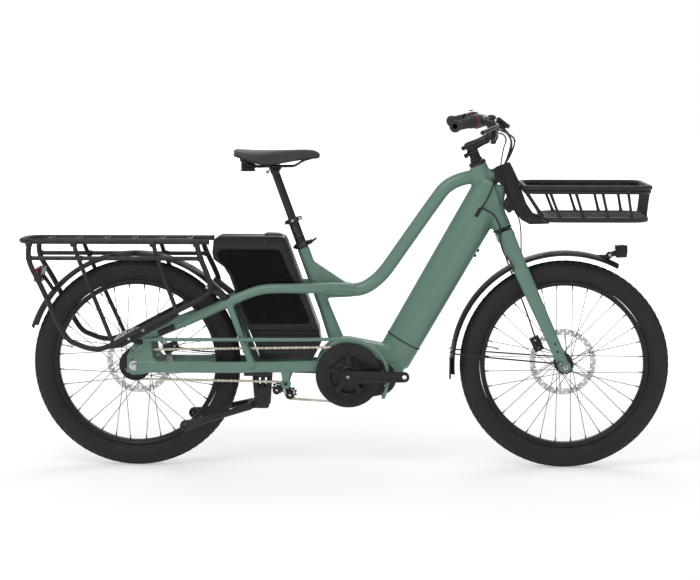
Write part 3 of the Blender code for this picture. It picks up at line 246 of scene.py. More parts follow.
def block(size, centre, pitch=0.0, bevel=0.002, segments=3, yaw=0.0):
    bpy.ops.mesh.primitive_cube_add(size=1.0, location=centre, rotation=(0.0, pitch, yaw))
    obj = bpy.context.object
    obj.scale = size
    select_only(obj)
    bpy.ops.object.transform_apply(location=True, rotation=True, scale=True)
    if bevel:
        rounded(obj, bevel, segments, 35.0)
    return obj


def turned(profile, centre, steps=96, axis=ACROSS, sweep=math.tau, start=0.0):
    """Spins (radius, along) points about an axis; start turns the first section, from +X towards +Z."""
    axis = Vector(axis).normalized()
    if abs(axis.y) > 0.9:
        out = Vector((math.cos(start), 0.0, math.sin(start)))
    else:
        out = axis.orthogonal().normalized()
    centre = Vector(centre)
    verts = [centre + out * radius + axis * along for radius, along in profile]
    closed = sweep >= math.tau - 0.0001
    count = len(verts)
    obj = mesh_from(verts, [(i, (i + 1) % count) for i in range(count)])
    edit(obj)
    bpy.ops.mesh.spin(steps=steps, angle=sweep, center=centre, axis=axis)
    bpy.ops.mesh.select_all(action="SELECT")
    bpy.ops.mesh.remove_doubles(threshold=0.00001)
    if not closed:
        bpy.ops.mesh.select_all(action="DESELECT")
        bpy.ops.mesh.select_non_manifold(extend=False)
        bpy.ops.mesh.edge_face_add()
        bpy.ops.mesh.select_all(action="SELECT")
    bpy.ops.mesh.normals_make_consistent(inside=False)
    leave()
    return obj


def slab(outline, thickness, y=0.0, bevel=0.001, segments=2):
    """A plate cut to an XZ outline and centred on y."""
    obj = mesh_from([(x, y - thickness / 2, z) for x, z in outline], (), [list(range(len(outline)))])
    edit(obj)
    bpy.ops.mesh.extrude_region_move(TRANSFORM_OT_translate={"value": (0.0, thickness, 0.0)})
    bpy.ops.mesh.select_all(action="SELECT")
    bpy.ops.mesh.normals_make_consistent(inside=False)
    leave()
    if bevel:
        rounded(obj, bevel, segments, 40.0)
    return obj


def hull_outline(centres, steps=14):
    """Outline round two circles (x, z, radius), joined by their outer tangents."""
    (ax, az, ar), (bx, bz, br) = centres
    span = math.hypot(bx - ax, bz - az)
    heading = math.atan2(bz - az, bx - ax)
    spread = math.acos((ar - br) / span)
    outline = []
    for cx, cz, radius, low, high in ((bx, bz, br, heading - spread, heading + spread),
                                      (ax, az, ar, heading + spread, heading - spread + math.tau)):
        for step in range(steps + 1):
            angle = low + (high - low) * step / steps
            outline.append((cx + radius * math.cos(angle), cz + radius * math.sin(angle)))
    return outline


def cut(obj, cutters):
    """Takes the cutters out of an object and removes them."""
    tool = joined(cutters)
    boolean = obj.modifiers.new("cut", "BOOLEAN")
    boolean.operation = "DIFFERENCE"
    boolean.solver = "EXACT"
    boolean.object = tool
    apply_all(obj)
    bpy.data.objects.remove(tool, do_unlink=True)
    return obj


def repeated(obj, turns):
    """Copies of an object under each matrix, each with its own mesh, joined as one object."""
    copies = []
    for turn in turns:
        copy = obj.copy()
        copy.data = obj.data.copy()
        copy.data.transform(turn)
        bpy.context.scene.collection.objects.link(copy)
        copies.append(copy)
    bpy.data.objects.remove(obj, do_unlink=True)
    return joined(copies)


def round_the(centre, count, axis="Y", start=0.0):
    """Matrices that turn a shape about an axis through centre, in equal steps."""
    move = Matrix.Translation(centre)
    return [move @ Matrix.Rotation(start + math.tau * n / count, 4, axis) @ move.inverted()
            for n in range(count)]


def bolt(at, direction, radius=0.004, height=0.0035):
    """A socket head screw whose head stands on a face."""
    direction = Vector(direction).normalized()
    at = Vector(at)
    bpy.ops.mesh.primitive_cylinder_add(vertices=18, radius=radius, depth=height,
                                        location=at + direction * height / 2,
                                        rotation=direction.to_track_quat("Z", "Y").to_euler())
    head = bpy.context.object
    edit(head, "DESELECT")
    bm = bmesh.from_edit_mesh(head.data)
    bm.faces.ensure_lookup_table()
    top = max((face for face in bm.faces if len(face.verts) > 4),
              key=lambda face: face.calc_center_median().z)
    top.select_set(True)
    bmesh.update_edit_mesh(head.data)
    bpy.ops.mesh.inset(thickness=radius * 0.45, depth=0.0)
    bpy.ops.mesh.inset(thickness=0.0001, depth=-height * 0.6)
    leave()
    select_only(head)
    bpy.ops.object.transform_apply(location=True, rotation=True, scale=True)
    return rounded(head, radius * 0.12, 2, 50.0)


def finish(obj, name, body, finish_name, replaced=(), angle=35.0):
    """Files a finished piece: applied transforms, its material, its body and the CAD nodes it shows.

    A piece that runs between two bodies has no body here."""
    select_only(obj)
    bpy.ops.object.transform_apply(location=True, rotation=True, scale=True)
    bpy.ops.object.shade_smooth_by_angle(angle=math.radians(angle))
    obj.name = name
    obj.data.name = name
    obj.data.materials.clear()
    obj.data.materials.append(material(finish_name))
    if body:
        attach(obj, body)
    if replaced:
        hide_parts(*replaced)
    obj.select_set(False)
    return obj


# ---------------------------------------------------------------- shared shader groups

def node(tree, kind, **values):
    made = tree.nodes.new(kind)
    for key, value in values.items():
        setattr(made, key, value)
    return made


def new_group(name, inputs, output):
    """An empty group with float or vector inputs and one float output."""
    tree = bpy.data.node_groups.new(name, "ShaderNodeTree")
    for label, value in inputs:
        kind = "NodeSocketVector" if isinstance(value, tuple) else "NodeSocketFloat"
        tree.interface.new_socket(label, in_out="INPUT", socket_type=kind).default_value = value
    tree.interface.new_socket(output, in_out="OUTPUT", socket_type="NodeSocketFloat")
    return tree, node(tree, "NodeGroupInput"), node(tree, "NodeGroupOutput")


def stretched_noise(tree, given, detail):
    """Noise on object coordinates, with the group's own scale and stretch."""
    place = node(tree, "ShaderNodeTexCoord")
    mapping = node(tree, "ShaderNodeMapping")
    noise = node(tree, "ShaderNodeTexNoise")
    noise.inputs["Detail"].default_value = detail
    tree.links.new(place.outputs["Object"], mapping.inputs["Vector"])
    tree.links.new(given.outputs["Stretch"], mapping.inputs["Scale"])
    tree.links.new(mapping.outputs["Vector"], noise.inputs["Vector"])
    tree.links.new(given.outputs["Scale"], noise.inputs["Scale"])
    return noise


def grain_group():
    tree, given, result = new_group("fine grain", (("Scale", 600.0), ("Stretch", (1.0, 1.0, 1.0))),
                                    "Height")
    noise = stretched_noise(tree, given, 3.0)
    tree.links.new(noise.outputs["Fac"], result.inputs["Height"])
    return tree


def pebble_group():
    """Rounded cells with soft creases, as on moulded skin and rubber."""
    tree, given, result = new_group("pebble grain", (("Scale", 600.0), ("Stretch", (1.0, 1.0, 1.0))),
                                    "Height")
    place = node(tree, "ShaderNodeTexCoord")
    mapping = node(tree, "ShaderNodeMapping")
    cells = node(tree, "ShaderNodeTexVoronoi", feature="SMOOTH_F1")
    noise = stretched_noise(tree, given, 2.0)
    mix = node(tree, "ShaderNodeMath", operation="MULTIPLY_ADD")
    mix.inputs[1].default_value = 0.35
    tree.links.new(place.outputs["Object"], mapping.inputs["Vector"])
    tree.links.new(given.outputs["Stretch"], mapping.inputs["Scale"])
    tree.links.new(mapping.outputs["Vector"], cells.inputs["Vector"])
    tree.links.new(given.outputs["Scale"], cells.inputs["Scale"])
    tree.links.new(noise.outputs["Fac"], mix.inputs[0])
    tree.links.new(cells.outputs["Distance"], mix.inputs[2])
    tree.links.new(mix.outputs["Value"], result.inputs["Height"])
    return tree


def ranged(tree, source, low, high, start=0.0, end=1.0):
    """A value mapped from low..high to start..end and held there."""
    mapped = node(tree, "ShaderNodeMapRange", clamp=True)
    for label, value in (("From Min", low), ("From Max", high), ("To Min", start), ("To Max", end)):
        mapped.inputs[label].default_value = value
    tree.links.new(source, mapped.inputs["Value"])
    return mapped.outputs["Result"]


def multiplied(tree, first, second):
    product = node(tree, "ShaderNodeMath", operation="MULTIPLY")
    tree.links.new(first, product.inputs[0])
    tree.links.new(second, product.inputs[1])
    return product.outputs["Value"]


def edge_wear_group():
    """Where convex edges are rubbed, broken up by noise."""
    tree, given, result = new_group("edge wear", (("Amount", 0.3), ("Scale", 60.0),
                                                  ("Stretch", (1.0, 1.0, 1.0))), "Mask")
    shape = node(tree, "ShaderNodeNewGeometry")
    edges = ranged(tree, shape.outputs["Pointiness"], 0.53, 0.6)
    patches = ranged(tree, stretched_noise(tree, given, 4.0).outputs["Fac"], 0.42, 0.66)
    tree.links.new(multiplied(tree, multiplied(tree, edges, patches), given.outputs["Amount"]),
                   result.inputs["Mask"])
    return tree


def dust_group():
    """A thin film on faces that look up."""
    tree, given, result = new_group("dust", (("Amount", 0.1), ("Scale", 25.0),
                                             ("Stretch", (1.0, 1.0, 1.0))), "Mask")
    place = node(tree, "ShaderNodeTexCoord")
    split = node(tree, "ShaderNodeSeparateXYZ")
    tree.links.new(place.outputs["Normal"], split.inputs["Vector"])
    facing = ranged(tree, split.outputs["Z"], 0.1, 1.0)
    patches = ranged(tree, stretched_noise(tree, given, 5.0).outputs["Fac"], 0.3, 0.75)
    tree.links.new(multiplied(tree, multiplied(tree, facing, patches), given.outputs["Amount"]),
                   result.inputs["Mask"])
    return tree


GROUP_MAKERS = {"fine grain": grain_group, "pebble grain": pebble_group, "edge wear": edge_wear_group,
                "dust": dust_group}


def group_node(tree, name, **values):
    made = node(tree, "ShaderNodeGroup")
    made.node_tree = bpy.data.node_groups.get(name) or GROUP_MAKERS[name]()
    for label, value in values.items():
        made.inputs[label].default_value = value
    return made


# ---------------------------------------------------------------- finishes

def rgba(colour, factor=1.0):
    return (*(min(1.0, channel * factor) for channel in colour), 1.0)


def surface(name, colour, roughness, metallic=0.0, pattern="fine grain", scale=700.0, bump=0.15,
            depth=0.0002, vary=0.1, worn=(0.3, 0.3, 0.3), wear=0.25, dust=0.06, coat=0.0,
            stretch=(1.0, 1.0, 1.0), sheen=0.0, shine=0.5):
    """A finish whose colour, roughness and relief change over the surface."""
    made = bpy.data.materials.new(name)
    made.use_nodes = True
    tree = made.node_tree
    shader = tree.nodes["Principled BSDF"]
    shader.inputs["Metallic"].default_value = metallic
    shader.inputs["Coat Weight"].default_value = coat
    shader.inputs["Coat Roughness"].default_value = 0.18
    shader.inputs["Sheen Weight"].default_value = sheen
    shader.inputs["Specular IOR Level"].default_value = shine
    relief = group_node(tree, pattern, Scale=scale, Stretch=stretch)
    cloud = group_node(tree, "fine grain", Scale=9.0)
    tint = node(tree, "ShaderNodeMix", data_type="RGBA")
    tint.inputs["A"].default_value = rgba(colour, 1.0 - vary)
    tint.inputs["B"].default_value = rgba(colour, 1.0 + vary)
    tree.links.new(cloud.outputs["Height"], tint.inputs["Factor"])
    edge = group_node(tree, "edge wear", Amount=wear)
    rubbed = node(tree, "ShaderNodeMix", data_type="RGBA")
    rubbed.inputs["B"].default_value = rgba(worn)
    tree.links.new(edge.outputs["Mask"], rubbed.inputs["Factor"])
    tree.links.new(tint.outputs["Result"], rubbed.inputs["A"])
    film = group_node(tree, "dust", Amount=dust)
    dusty = node(tree, "ShaderNodeMix", data_type="RGBA")
    dusty.inputs["B"].default_value = (0.24, 0.225, 0.2, 1.0)
    tree.links.new(film.outputs["Mask"], dusty.inputs["Factor"])
    tree.links.new(rubbed.outputs["Result"], dusty.inputs["A"])
    tree.links.new(dusty.outputs["Result"], shader.inputs["Base Color"])
    matt = ranged(tree, relief.outputs["Height"], 0.2, 0.8, roughness * 0.88, min(1.0, roughness * 1.14))
    tree.links.new(matt, shader.inputs["Roughness"])
    raised = node(tree, "ShaderNodeBump")
    raised.inputs["Strength"].default_value = bump
    raised.inputs["Distance"].default_value = depth
    tree.links.new(relief.outputs["Height"], raised.inputs["Height"])
    tree.links.new(raised.outputs["Normal"], shader.inputs["Normal"])
    return made


def lens(name, colour, roughness, transmission):
    """Moulded lens plastic with a slight ripple."""
    made = bpy.data.materials.new(name)
    made.use_nodes = True
    tree = made.node_tree
    shader = tree.nodes["Principled BSDF"]
    shader.inputs["Transmission Weight"].default_value = transmission
    shader.inputs["IOR"].default_value = 1.49
    relief = group_node(tree, "fine grain", Scale=180.0)
    tint = node(tree, "ShaderNodeMix", data_type="RGBA")
    tint.inputs["A"].default_value = rgba(colour, 0.9)
    tint.inputs["B"].default_value = rgba(colour, 1.1)
    tree.links.new(relief.outputs["Height"], tint.inputs["Factor"])
    tree.links.new(tint.outputs["Result"], shader.inputs["Base Color"])
    tree.links.new(ranged(tree, relief.outputs["Height"], 0.2, 0.8, roughness * 0.8, roughness * 1.2),
                   shader.inputs["Roughness"])
    raised = node(tree, "ShaderNodeBump")
    raised.inputs["Strength"].default_value = 0.08
    raised.inputs["Distance"].default_value = 0.0002
    tree.links.new(relief.outputs["Height"], raised.inputs["Height"])
    tree.links.new(raised.outputs["Normal"], shader.inputs["Normal"])
    return made


def paint_settings():
    return bpy.context.scene.bicycle_paint


FINISHES = {
    "sage paint": lambda: surface("sage paint", paint_settings().frame_colour, 0.4, scale=420.0, bump=0.1,
                                  depth=0.0001, vary=0.05, worn=(0.2, 0.3, 0.25), wear=0.25, dust=0.04,
                                  coat=0.25, shine=0.35),
    "powder coat": lambda: surface("powder coat", paint_settings().coat_colour, 0.46, scale=1500.0,
                                   bump=0.3,
                                   depth=0.0002, vary=0.15, worn=(0.07, 0.07, 0.075), wear=0.35, dust=0.04,
                                   shine=0.3),
    "tyre rubber": lambda: surface("tyre rubber", paint_settings().tyre_colour, 0.62, scale=900.0,
                                   bump=0.25,
                                   depth=0.0003, vary=0.2, worn=(0.04, 0.04, 0.042), wear=0.4, dust=0.06,
                                   shine=0.22),
    "grip rubber": lambda: surface("grip rubber", (0.03, 0.03, 0.032), 0.66, pattern="pebble grain",
                                   scale=900.0, bump=0.35, depth=0.0003, vary=0.12, worn=(0.08, 0.08, 0.08),
                                   dust=0.04, shine=0.25),
    "anodised alloy": lambda: surface("anodised alloy", (0.012, 0.012, 0.013), 0.34, metallic=0.15,
                                      scale=900.0, bump=0.1, vary=0.12, worn=(0.16, 0.16, 0.17), wear=0.35,
                                      dust=0.02, shine=0.35),
    "rim alloy": lambda: surface("rim alloy", (0.014, 0.014, 0.016), 0.4, metallic=0.2, scale=1200.0,
                                 bump=0.12, vary=0.12, worn=(0.08, 0.08, 0.09), wear=0.3, dust=0.03,
                                 shine=0.3),
    "brushed steel": lambda: surface("brushed steel", (0.5, 0.49, 0.48), 0.3, metallic=1.0, scale=500.0,
                                     bump=0.12, vary=0.1, worn=(0.72, 0.72, 0.72), wear=0.5, dust=0.02,
                                     stretch=(1.0, 6.0, 1.0)),
    "spoke steel": lambda: surface("spoke steel", (0.045, 0.045, 0.05), 0.32, metallic=0.6, scale=900.0,
                                   bump=0.05, vary=0.1, dust=0.02),
    "chain steel": lambda: surface("chain steel", (0.44, 0.385, 0.31), 0.34, metallic=0.9, scale=1400.0,
                                   bump=0.12, vary=0.2, worn=(0.75, 0.7, 0.62), wear=0.7, dust=0.05),
    "moulded plastic": lambda: surface("moulded plastic", (0.007, 0.007, 0.008), 0.36,
                                       pattern="pebble grain", scale=1500.0, bump=0.12, depth=0.0001,
                                       vary=0.12, worn=(0.05, 0.05, 0.055), wear=0.15, dust=0.03,
                                       shine=0.35),
    "gloss plastic": lambda: surface("gloss plastic", (0.003, 0.003, 0.0036), 0.16, scale=300.0, bump=0.04,
                                     depth=0.0001, vary=0.1, worn=(0.03, 0.03, 0.035), wear=0.1, dust=0.0,
                                     shine=0.05),
    "saddle cover": lambda: surface("saddle cover", (0.03, 0.03, 0.033), 0.52, pattern="pebble grain",
                                    scale=1100.0, bump=0.3, depth=0.0003, vary=0.12,
                                    worn=(0.065, 0.065, 0.07), wear=0.3, dust=0.04, sheen=0.1,
                                    shine=0.35),
    "cable jacket": lambda: surface("cable jacket", (0.011, 0.011, 0.012), 0.38, scale=800.0, bump=0.08,
                                    vary=0.1, dust=0.02, shine=0.35),
    "accent red": lambda: surface("accent red", paint_settings().ring_colour, 0.42, scale=900.0, bump=0.08,
                                  vary=0.1, worn=(0.7, 0.2, 0.2), dust=0.02),
    "screen glass": lambda: lens("screen glass", (0.01, 0.011, 0.013), 0.07, 0.0),
    "red lens": lambda: lens("red lens", (0.42, 0.012, 0.014), 0.16, 0.25),
    "lamp lens": lambda: lens("lamp lens", (0.86, 0.88, 0.9), 0.1, 0.85),
    "reflector": lambda: surface("reflector", (0.82, 0.82, 0.8), 0.12, metallic=1.0, scale=200.0, bump=0.05,
                                 vary=0.04, dust=0.0),
}


def material(name):
    return bpy.data.materials.get(name) or FINISHES[name]()


# ---------------------------------------------------------------- stage

AIM_HEIGHT = 0.54
AIM_SIDE = 0.018
FLOOR_SIZE = 60.0
GLOW_NEAR, GLOW_FAR = 1.6, 5.0
LAMPS = (
    # name, place, aim, size, power
    ("key", (-1.6, -3.0, 3.6), (0.0, 0.0, 0.5), 2.2, 58.0),
    ("fill", (3.2, -3.6, 1.8), (0.2, 0.0, 0.5), 2.4, 10.0),
    ("back", (0.5, 3.4, 3.0), (0.0, 0.0, 0.5), 3.0, 42.0),
)


class BICYCLE_OT_stage(Operator):
    """White floor and sky, soft lamps and the camera"""
    bl_idname = "bicycle.stage"
    bl_label = "Stage"

    def execute(self, context):
        settings = context.scene.bicycle_stage
        context.scene.view_settings.view_transform = "Standard"
        bpy.ops.object.select_all(action="DESELECT")
        bpy.ops.mesh.primitive_plane_add(size=FLOOR_SIZE, location=(0.0, 0.0, 0.0))
        floor = context.object
        floor.name = "studio_floor"
        floor.data.materials.append(floor_paint())
        make_sky(context.scene)
        for lamp in LAMPS:
            soft_lamp(*lamp)
        eye = Vector((settings.camera_side, -settings.camera_distance, settings.camera_height))
        aim = Vector((AIM_SIDE, 0.0, AIM_HEIGHT))
        bpy.ops.object.camera_add(location=eye, rotation=(aim - eye).to_track_quat("-Z", "Y").to_euler())
        camera = context.object
        camera.name = "studio_camera"
        camera.data.lens = settings.lens
        context.scene.camera = camera
        return {"FINISHED"}


def floor_paint():
    """A pale floor that glows more with distance, so that it runs into the sky without a line."""
    made = bpy.data.materials.new("studio floor")
    made.use_nodes = True
    tree = made.node_tree
    shader = tree.nodes["Principled BSDF"]
    shader.inputs["Base Color"].default_value = (0.62, 0.62, 0.62, 1.0)
    place = node(tree, "ShaderNodeTexCoord")
    reach = node(tree, "ShaderNodeVectorMath", operation="LENGTH")
    tree.links.new(place.outputs["Object"], reach.inputs[0])
    glow = ranged(tree, reach.outputs["Value"], GLOW_NEAR, GLOW_FAR, 0.42, 1.0)
    tree.links.new(glow, shader.inputs["Emission Color"])
    shader.inputs["Emission Strength"].default_value = 1.0
    shader.inputs["Roughness"].default_value = 0.9
    shader.inputs["Specular IOR Level"].default_value = 0.1
    return made


def make_sky(scene):
    """A white sky for the camera, and a softer one from above for the light."""
    world = bpy.data.worlds.new("studio sky")
    world.use_nodes = True
    scene.world = world
    tree = world.node_tree
    light = tree.nodes["Background"]
    seen = node(tree, "ShaderNodeBackground")
    seen.inputs["Color"].default_value = (1.0, 1.0, 1.0, 1.0)
    seen.inputs["Strength"].default_value = 1.0
    place = node(tree, "ShaderNodeTexCoord")
    split = node(tree, "ShaderNodeSeparateXYZ")
    tree.links.new(place.outputs["Generated"], split.inputs["Vector"])
    light.inputs["Color"].default_value = (1.0, 1.0, 1.0, 1.0)
    tree.links.new(ranged(tree, split.outputs["Z"], -0.05, 0.9, 0.12, 0.95), light.inputs["Strength"])
    path = node(tree, "ShaderNodeLightPath")
    mix = node(tree, "ShaderNodeMixShader")
    tree.links.new(path.outputs["Is Camera Ray"], mix.inputs["Fac"])
    tree.links.new(light.outputs["Background"], mix.inputs[1])
    tree.links.new(seen.outputs["Background"], mix.inputs[2])
    tree.links.new(mix.outputs["Shader"], tree.nodes["World Output"].inputs["Surface"])


def soft_lamp(name, place, aim, size, power):
    heading = (Vector(aim) - Vector(place)).to_track_quat("-Z", "Y").to_euler()
    bpy.ops.object.light_add(type="AREA", location=place, rotation=heading)
    lamp = bpy.context.object
    lamp.name = "studio_" + name
    lamp.data.shape = "DISK"
    lamp.data.size = size
    lamp.data.energy = power


# ---------------------------------------------------------------- wheels

RIM_BED_RADIUS = 0.2405
VALVE_TURN = math.tau * 2 / 7
SPOKE_LEAD = math.radians(52.0)
# prefix, axle, body, hub shell radius, flange radius, flange's distance from the middle plane
WHEELS = (("front", FRONT_AXLE, "front_wheel_body", 0.0155, 0.028, 0.027),
          ("rear", REAR_AXLE, "rear_wheel_body", 0.04, 0.049, 0.026))


class BICYCLE_OT_tyres(Operator):
    """Both tyres, with bead lines on the walls and four rows of low tread blocks"""
    bl_idname = "bicycle.tyres"
    bl_label = "Tyres"

    def execute(self, context):
        rows = context.scene.bicycle_wheels.tread_rows
        half = [(0.256, 0.0165), (0.256, 0.0195), (0.2585, 0.0222), (0.26, 0.0226), (0.2612, 0.0245),
                (0.264, 0.0262), (0.2652, 0.0261), (0.2668, 0.0279), (0.272, 0.0303), (0.279, 0.0317),
                (0.285, 0.032), (0.292, 0.0311), (0.2985, 0.0287), (0.303, 0.0258), (0.3045, 0.024),
                (0.3048, 0.0232), (0.3085, 0.0205), (0.3112, 0.0165), (0.3128, 0.0118), (0.3126, 0.0108),
                (0.3126, 0.0096), (0.3137, 0.0088), (0.3148, 0.005), (0.315, 0.0)]
        inner = [(0.308, 0.0), (0.285, 0.0285), (0.26, 0.0185)]
        profile = inner[1:] + half + [(r, -y) for r, y in reversed(half[:-1])] + \
            [(r, -y) for r, y in reversed(inner[1:])] + [inner[0]]
        for prefix, axle, body, _, _, _ in WHEELS:
            carcass = turned(profile, axle, 144)
            blocks = []
            for y, lift, tilt, shift in ((0.005, 0.3151, 0.13, 0.0), (0.0165, 0.3122, 0.42, 0.5)):
                for side in (1, -1):
                    blocks.append(tread_row(axle, rows, y * side, lift, -tilt * side,
                                            shift + 0.25 * (side > 0)))
            finish(joined([carcass] + blocks), prefix + "_tyre_rubber", body, "tyre rubber",
                   [prefix + "_tyre"])
        return {"FINISHED"}


def tread_row(axle, count, y, radius, tilt, shift):
    """A ring of low blocks, each skewed a little to the rolling direction."""
    one = block((0.0155, 0.0078, 0.0024), (0.0, 0.0, 0.0), bevel=0.0006, segments=1,
                yaw=0.3 if y > 0 else -0.3)
    one.data.transform(Matrix.Translation(axle + Vector((0.0, y, radius - 0.0006)))
                       @ Matrix.Rotation(tilt, 4, "X"))
    return repeated(one, round_the(axle, count, start=math.tau * shift / count))


class BICYCLE_OT_rims(Operator):
    """Box-section rims with rolled edges, and a valve on each"""
    bl_idname = "bicycle.rims"
    bl_label = "Rims"

    def execute(self, context):
        half = [(0.2392, 0.0055), (0.241, 0.0125), (0.245, 0.0172), (0.25, 0.0188), (0.2535, 0.019),
                (0.2545, 0.0184), (0.2543, 0.0172), (0.2525, 0.0166), (0.249, 0.015), (0.248, 0.006),
                (0.2465, 0.0)]
        profile = half + [(r, -y) for r, y in reversed(half[:-1])]
        for prefix, axle, body, _, _, _ in WHEELS:
            rim = turned(profile, axle, 144)
            finish(rim, prefix + "_rim", body, "rim alloy", [prefix + "_wheel"])
            valve_at = axle + Vector((0.0, 0.0, -RIM_BED_RADIUS))
            stem = bar(valve_at, valve_at + UP * 0.028, 0.0028, sides=14, bevel=0.0004)
            nut = bar(valve_at + UP * 0.001, valve_at + UP * 0.004, 0.0058, sides=6, bevel=0.0005)
            cap = bar(valve_at + UP * 0.026, valve_at + UP * 0.038, 0.0042, 0.0034, sides=14, bevel=0.0008)
            turn = round_the(axle, 1, start=VALVE_TURN)[0]
            pieces = joined([stem, nut, cap])
            pieces.data.transform(turn)
            finish(pieces, prefix + "_valve", body, "brushed steel")
        return {"FINISHED"}


class BICYCLE_OT_spokes(Operator):
    """Laced spokes with bent heads and nipples"""
    bl_idname = "bicycle.spokes"
    bl_label = "Spokes"

    def execute(self, context):
        settings = context.scene.bicycle_wheels
        count = settings.spoke_count
        for prefix, axle, body, _, flange, flange_y in WHEELS:
            wires, nipples = [], []
            for family in range(4):
                side = 1 if family % 2 == 0 else -1
                lead = SPOKE_LEAD * (1 if family < 2 else -1)
                rim_angle = math.tau * (family + 0.5) / count
                hub_angle = rim_angle + lead
                out_y = flange_y + (0.0022 if family < 2 else -0.0022)
                low = axle + Vector((flange * 0.93 * math.cos(hub_angle), side * out_y,
                                     flange * 0.93 * math.sin(hub_angle)))
                high = axle + Vector((RIM_BED_RADIUS * math.cos(rim_angle), side * 0.003,
                                      RIM_BED_RADIUS * math.sin(rim_angle)))
                reach = (high - low).normalized()
                head = tube([low - ACROSS * side * 0.004 * (1 if family < 2 else -1), low,
                             low + reach * 0.006], settings.spoke_radius * 1.15, 8)
                wire = bar(low, high, settings.spoke_radius, sides=8)
                turns = round_the(axle, count // 4)
                wires.append(repeated(joined([head, wire]), turns))
                nipple = bar(high - reach * 0.013, high, 0.0017, 0.0023, sides=8, bevel=0.0003)
                nipples.append(repeated(nipple, turns))
            finish(joined(wires), prefix + "_spokes", body, "spoke steel", [prefix + "_wheel"])
            finish(joined(nipples), prefix + "_nipples", body, "anodised alloy")
        return {"FINISHED"}


class BICYCLE_OT_hubs(Operator):
    """The slim front hub and the large geared rear hub, with drilled flanges"""
    bl_idname = "bicycle.hubs"
    bl_label = "Hubs"

    def execute(self, context):
        for prefix, axle, body, shell_radius, flange, flange_y in WHEELS:
            half = [(0.0085, 0.0362), (0.0118, 0.0362), (0.0128, 0.035), (0.013, 0.033),
                    (shell_radius * 0.84, flange_y + 0.0062), (shell_radius * 0.98, flange_y + 0.004),
                    (flange - 0.0012, flange_y + 0.0018), (flange, flange_y + 0.0008),
                    (flange, flange_y - 0.0008), (flange - 0.0012, flange_y - 0.0018),
                    (shell_radius * 1.04, flange_y - 0.0045), (shell_radius, flange_y - 0.009),
                    (shell_radius, 0.0)]
            profile = half + [(r, -y) for r, y in reversed(half[:-1])]
            shell = turned(profile, axle, 72)
            holes = []
            per_side = context.scene.bicycle_wheels.spoke_count // 2
            for side in (1, -1):
                spot = axle + Vector((flange * 0.9, side * flange_y, 0.0))
                hole = bar(spot - ACROSS * 0.003, spot + ACROSS * 0.003, 0.0013, sides=8)
                holes.append(repeated(hole, round_the(axle, per_side)))
            cut(shell, holes)
            finish(shell, prefix + "_hub", body, "anodised alloy", [prefix + "_wheel"])
            carrier = "steering_body" if prefix == "front" else "frame_body"
            reach = 0.08 if prefix == "front" else 0.088
            rod = bar(axle - ACROSS * reach, axle + ACROSS * reach, 0.0074, sides=32, bevel=0.0008)
            socket = bar(axle - ACROSS * (reach + 0.001), axle - ACROSS * (reach - 0.006), 0.0032, sides=6)
            cut(rod, [socket])
            finish(rod, prefix + "_through_axle", carrier, "brushed steel", [prefix + "_axle"])
        return {"FINISHED"}


ROTOR_Y = 0.047
ROTOR_ARMS = 6


class BICYCLE_OT_rotors(Operator):
    """Drilled brake discs on six curved arms"""
    bl_idname = "bicycle.rotors"
    bl_label = "Brake rotors"

    def execute(self, context):
        y = ROTOR_Y
        for prefix, axle, body, _, _, _ in WHEELS:
            track = turned([(0.0835, y - 0.00095), (0.1012, y - 0.00095), (0.1012, y + 0.00095),
                            (0.0835, y + 0.00095)], axle, 144)
            holes = []
            for radius, size, count, shift in ((0.088, 0.0029, 24, 0.0), (0.0965, 0.0025, 24, 0.5)):
                spot = axle + Vector((radius, y, 0.0))
                hole = bar(spot - ACROSS * 0.004, spot + ACROSS * 0.004, size, sides=12)
                holes.append(repeated(hole, round_the(axle, count, start=math.tau * shift / count)))
            cut(track, holes)
            curve = [(0.024, 0.0), (0.04, 0.2), (0.06, 0.34), (0.0845, 0.42)]
            outline = [(r * math.cos(a), r * math.sin(a)) for r, a in curve]
            outline += [(r * math.cos(a + w), r * math.sin(a + w))
                        for (r, a), w in zip(reversed(curve), (0.085, 0.075, 0.115, 0.24))]
            arm = slab([(axle.x + x, axle.z + z) for x, z in outline], 0.0018, y, 0.0003, 1)
            arms = repeated(arm, round_the(axle, ROTOR_ARMS))
            carrier = turned([(0.01, y - 0.0045), (0.027, y - 0.0045), (0.029, y - 0.003),
                              (0.029, y + 0.0022), (0.027, y + 0.004), (0.019, y + 0.0046),
                              (0.018, y + 0.006), (0.01, y + 0.006)], axle, 64)
            studs = bolt(axle + Vector((0.024, y + 0.003, 0.0)), ACROSS, 0.0028, 0.0022)
            studs = repeated(studs, round_the(axle, ROTOR_ARMS, start=0.3))
            finish(joined([track, arms]), prefix + "_brake_disc", body, "brushed steel",
                   [prefix + "_rotor"])
            finish(joined([carrier, studs]), prefix + "_disc_carrier", body, "anodised alloy")
        return {"FINISHED"}


# ---------------------------------------------------------------- frame

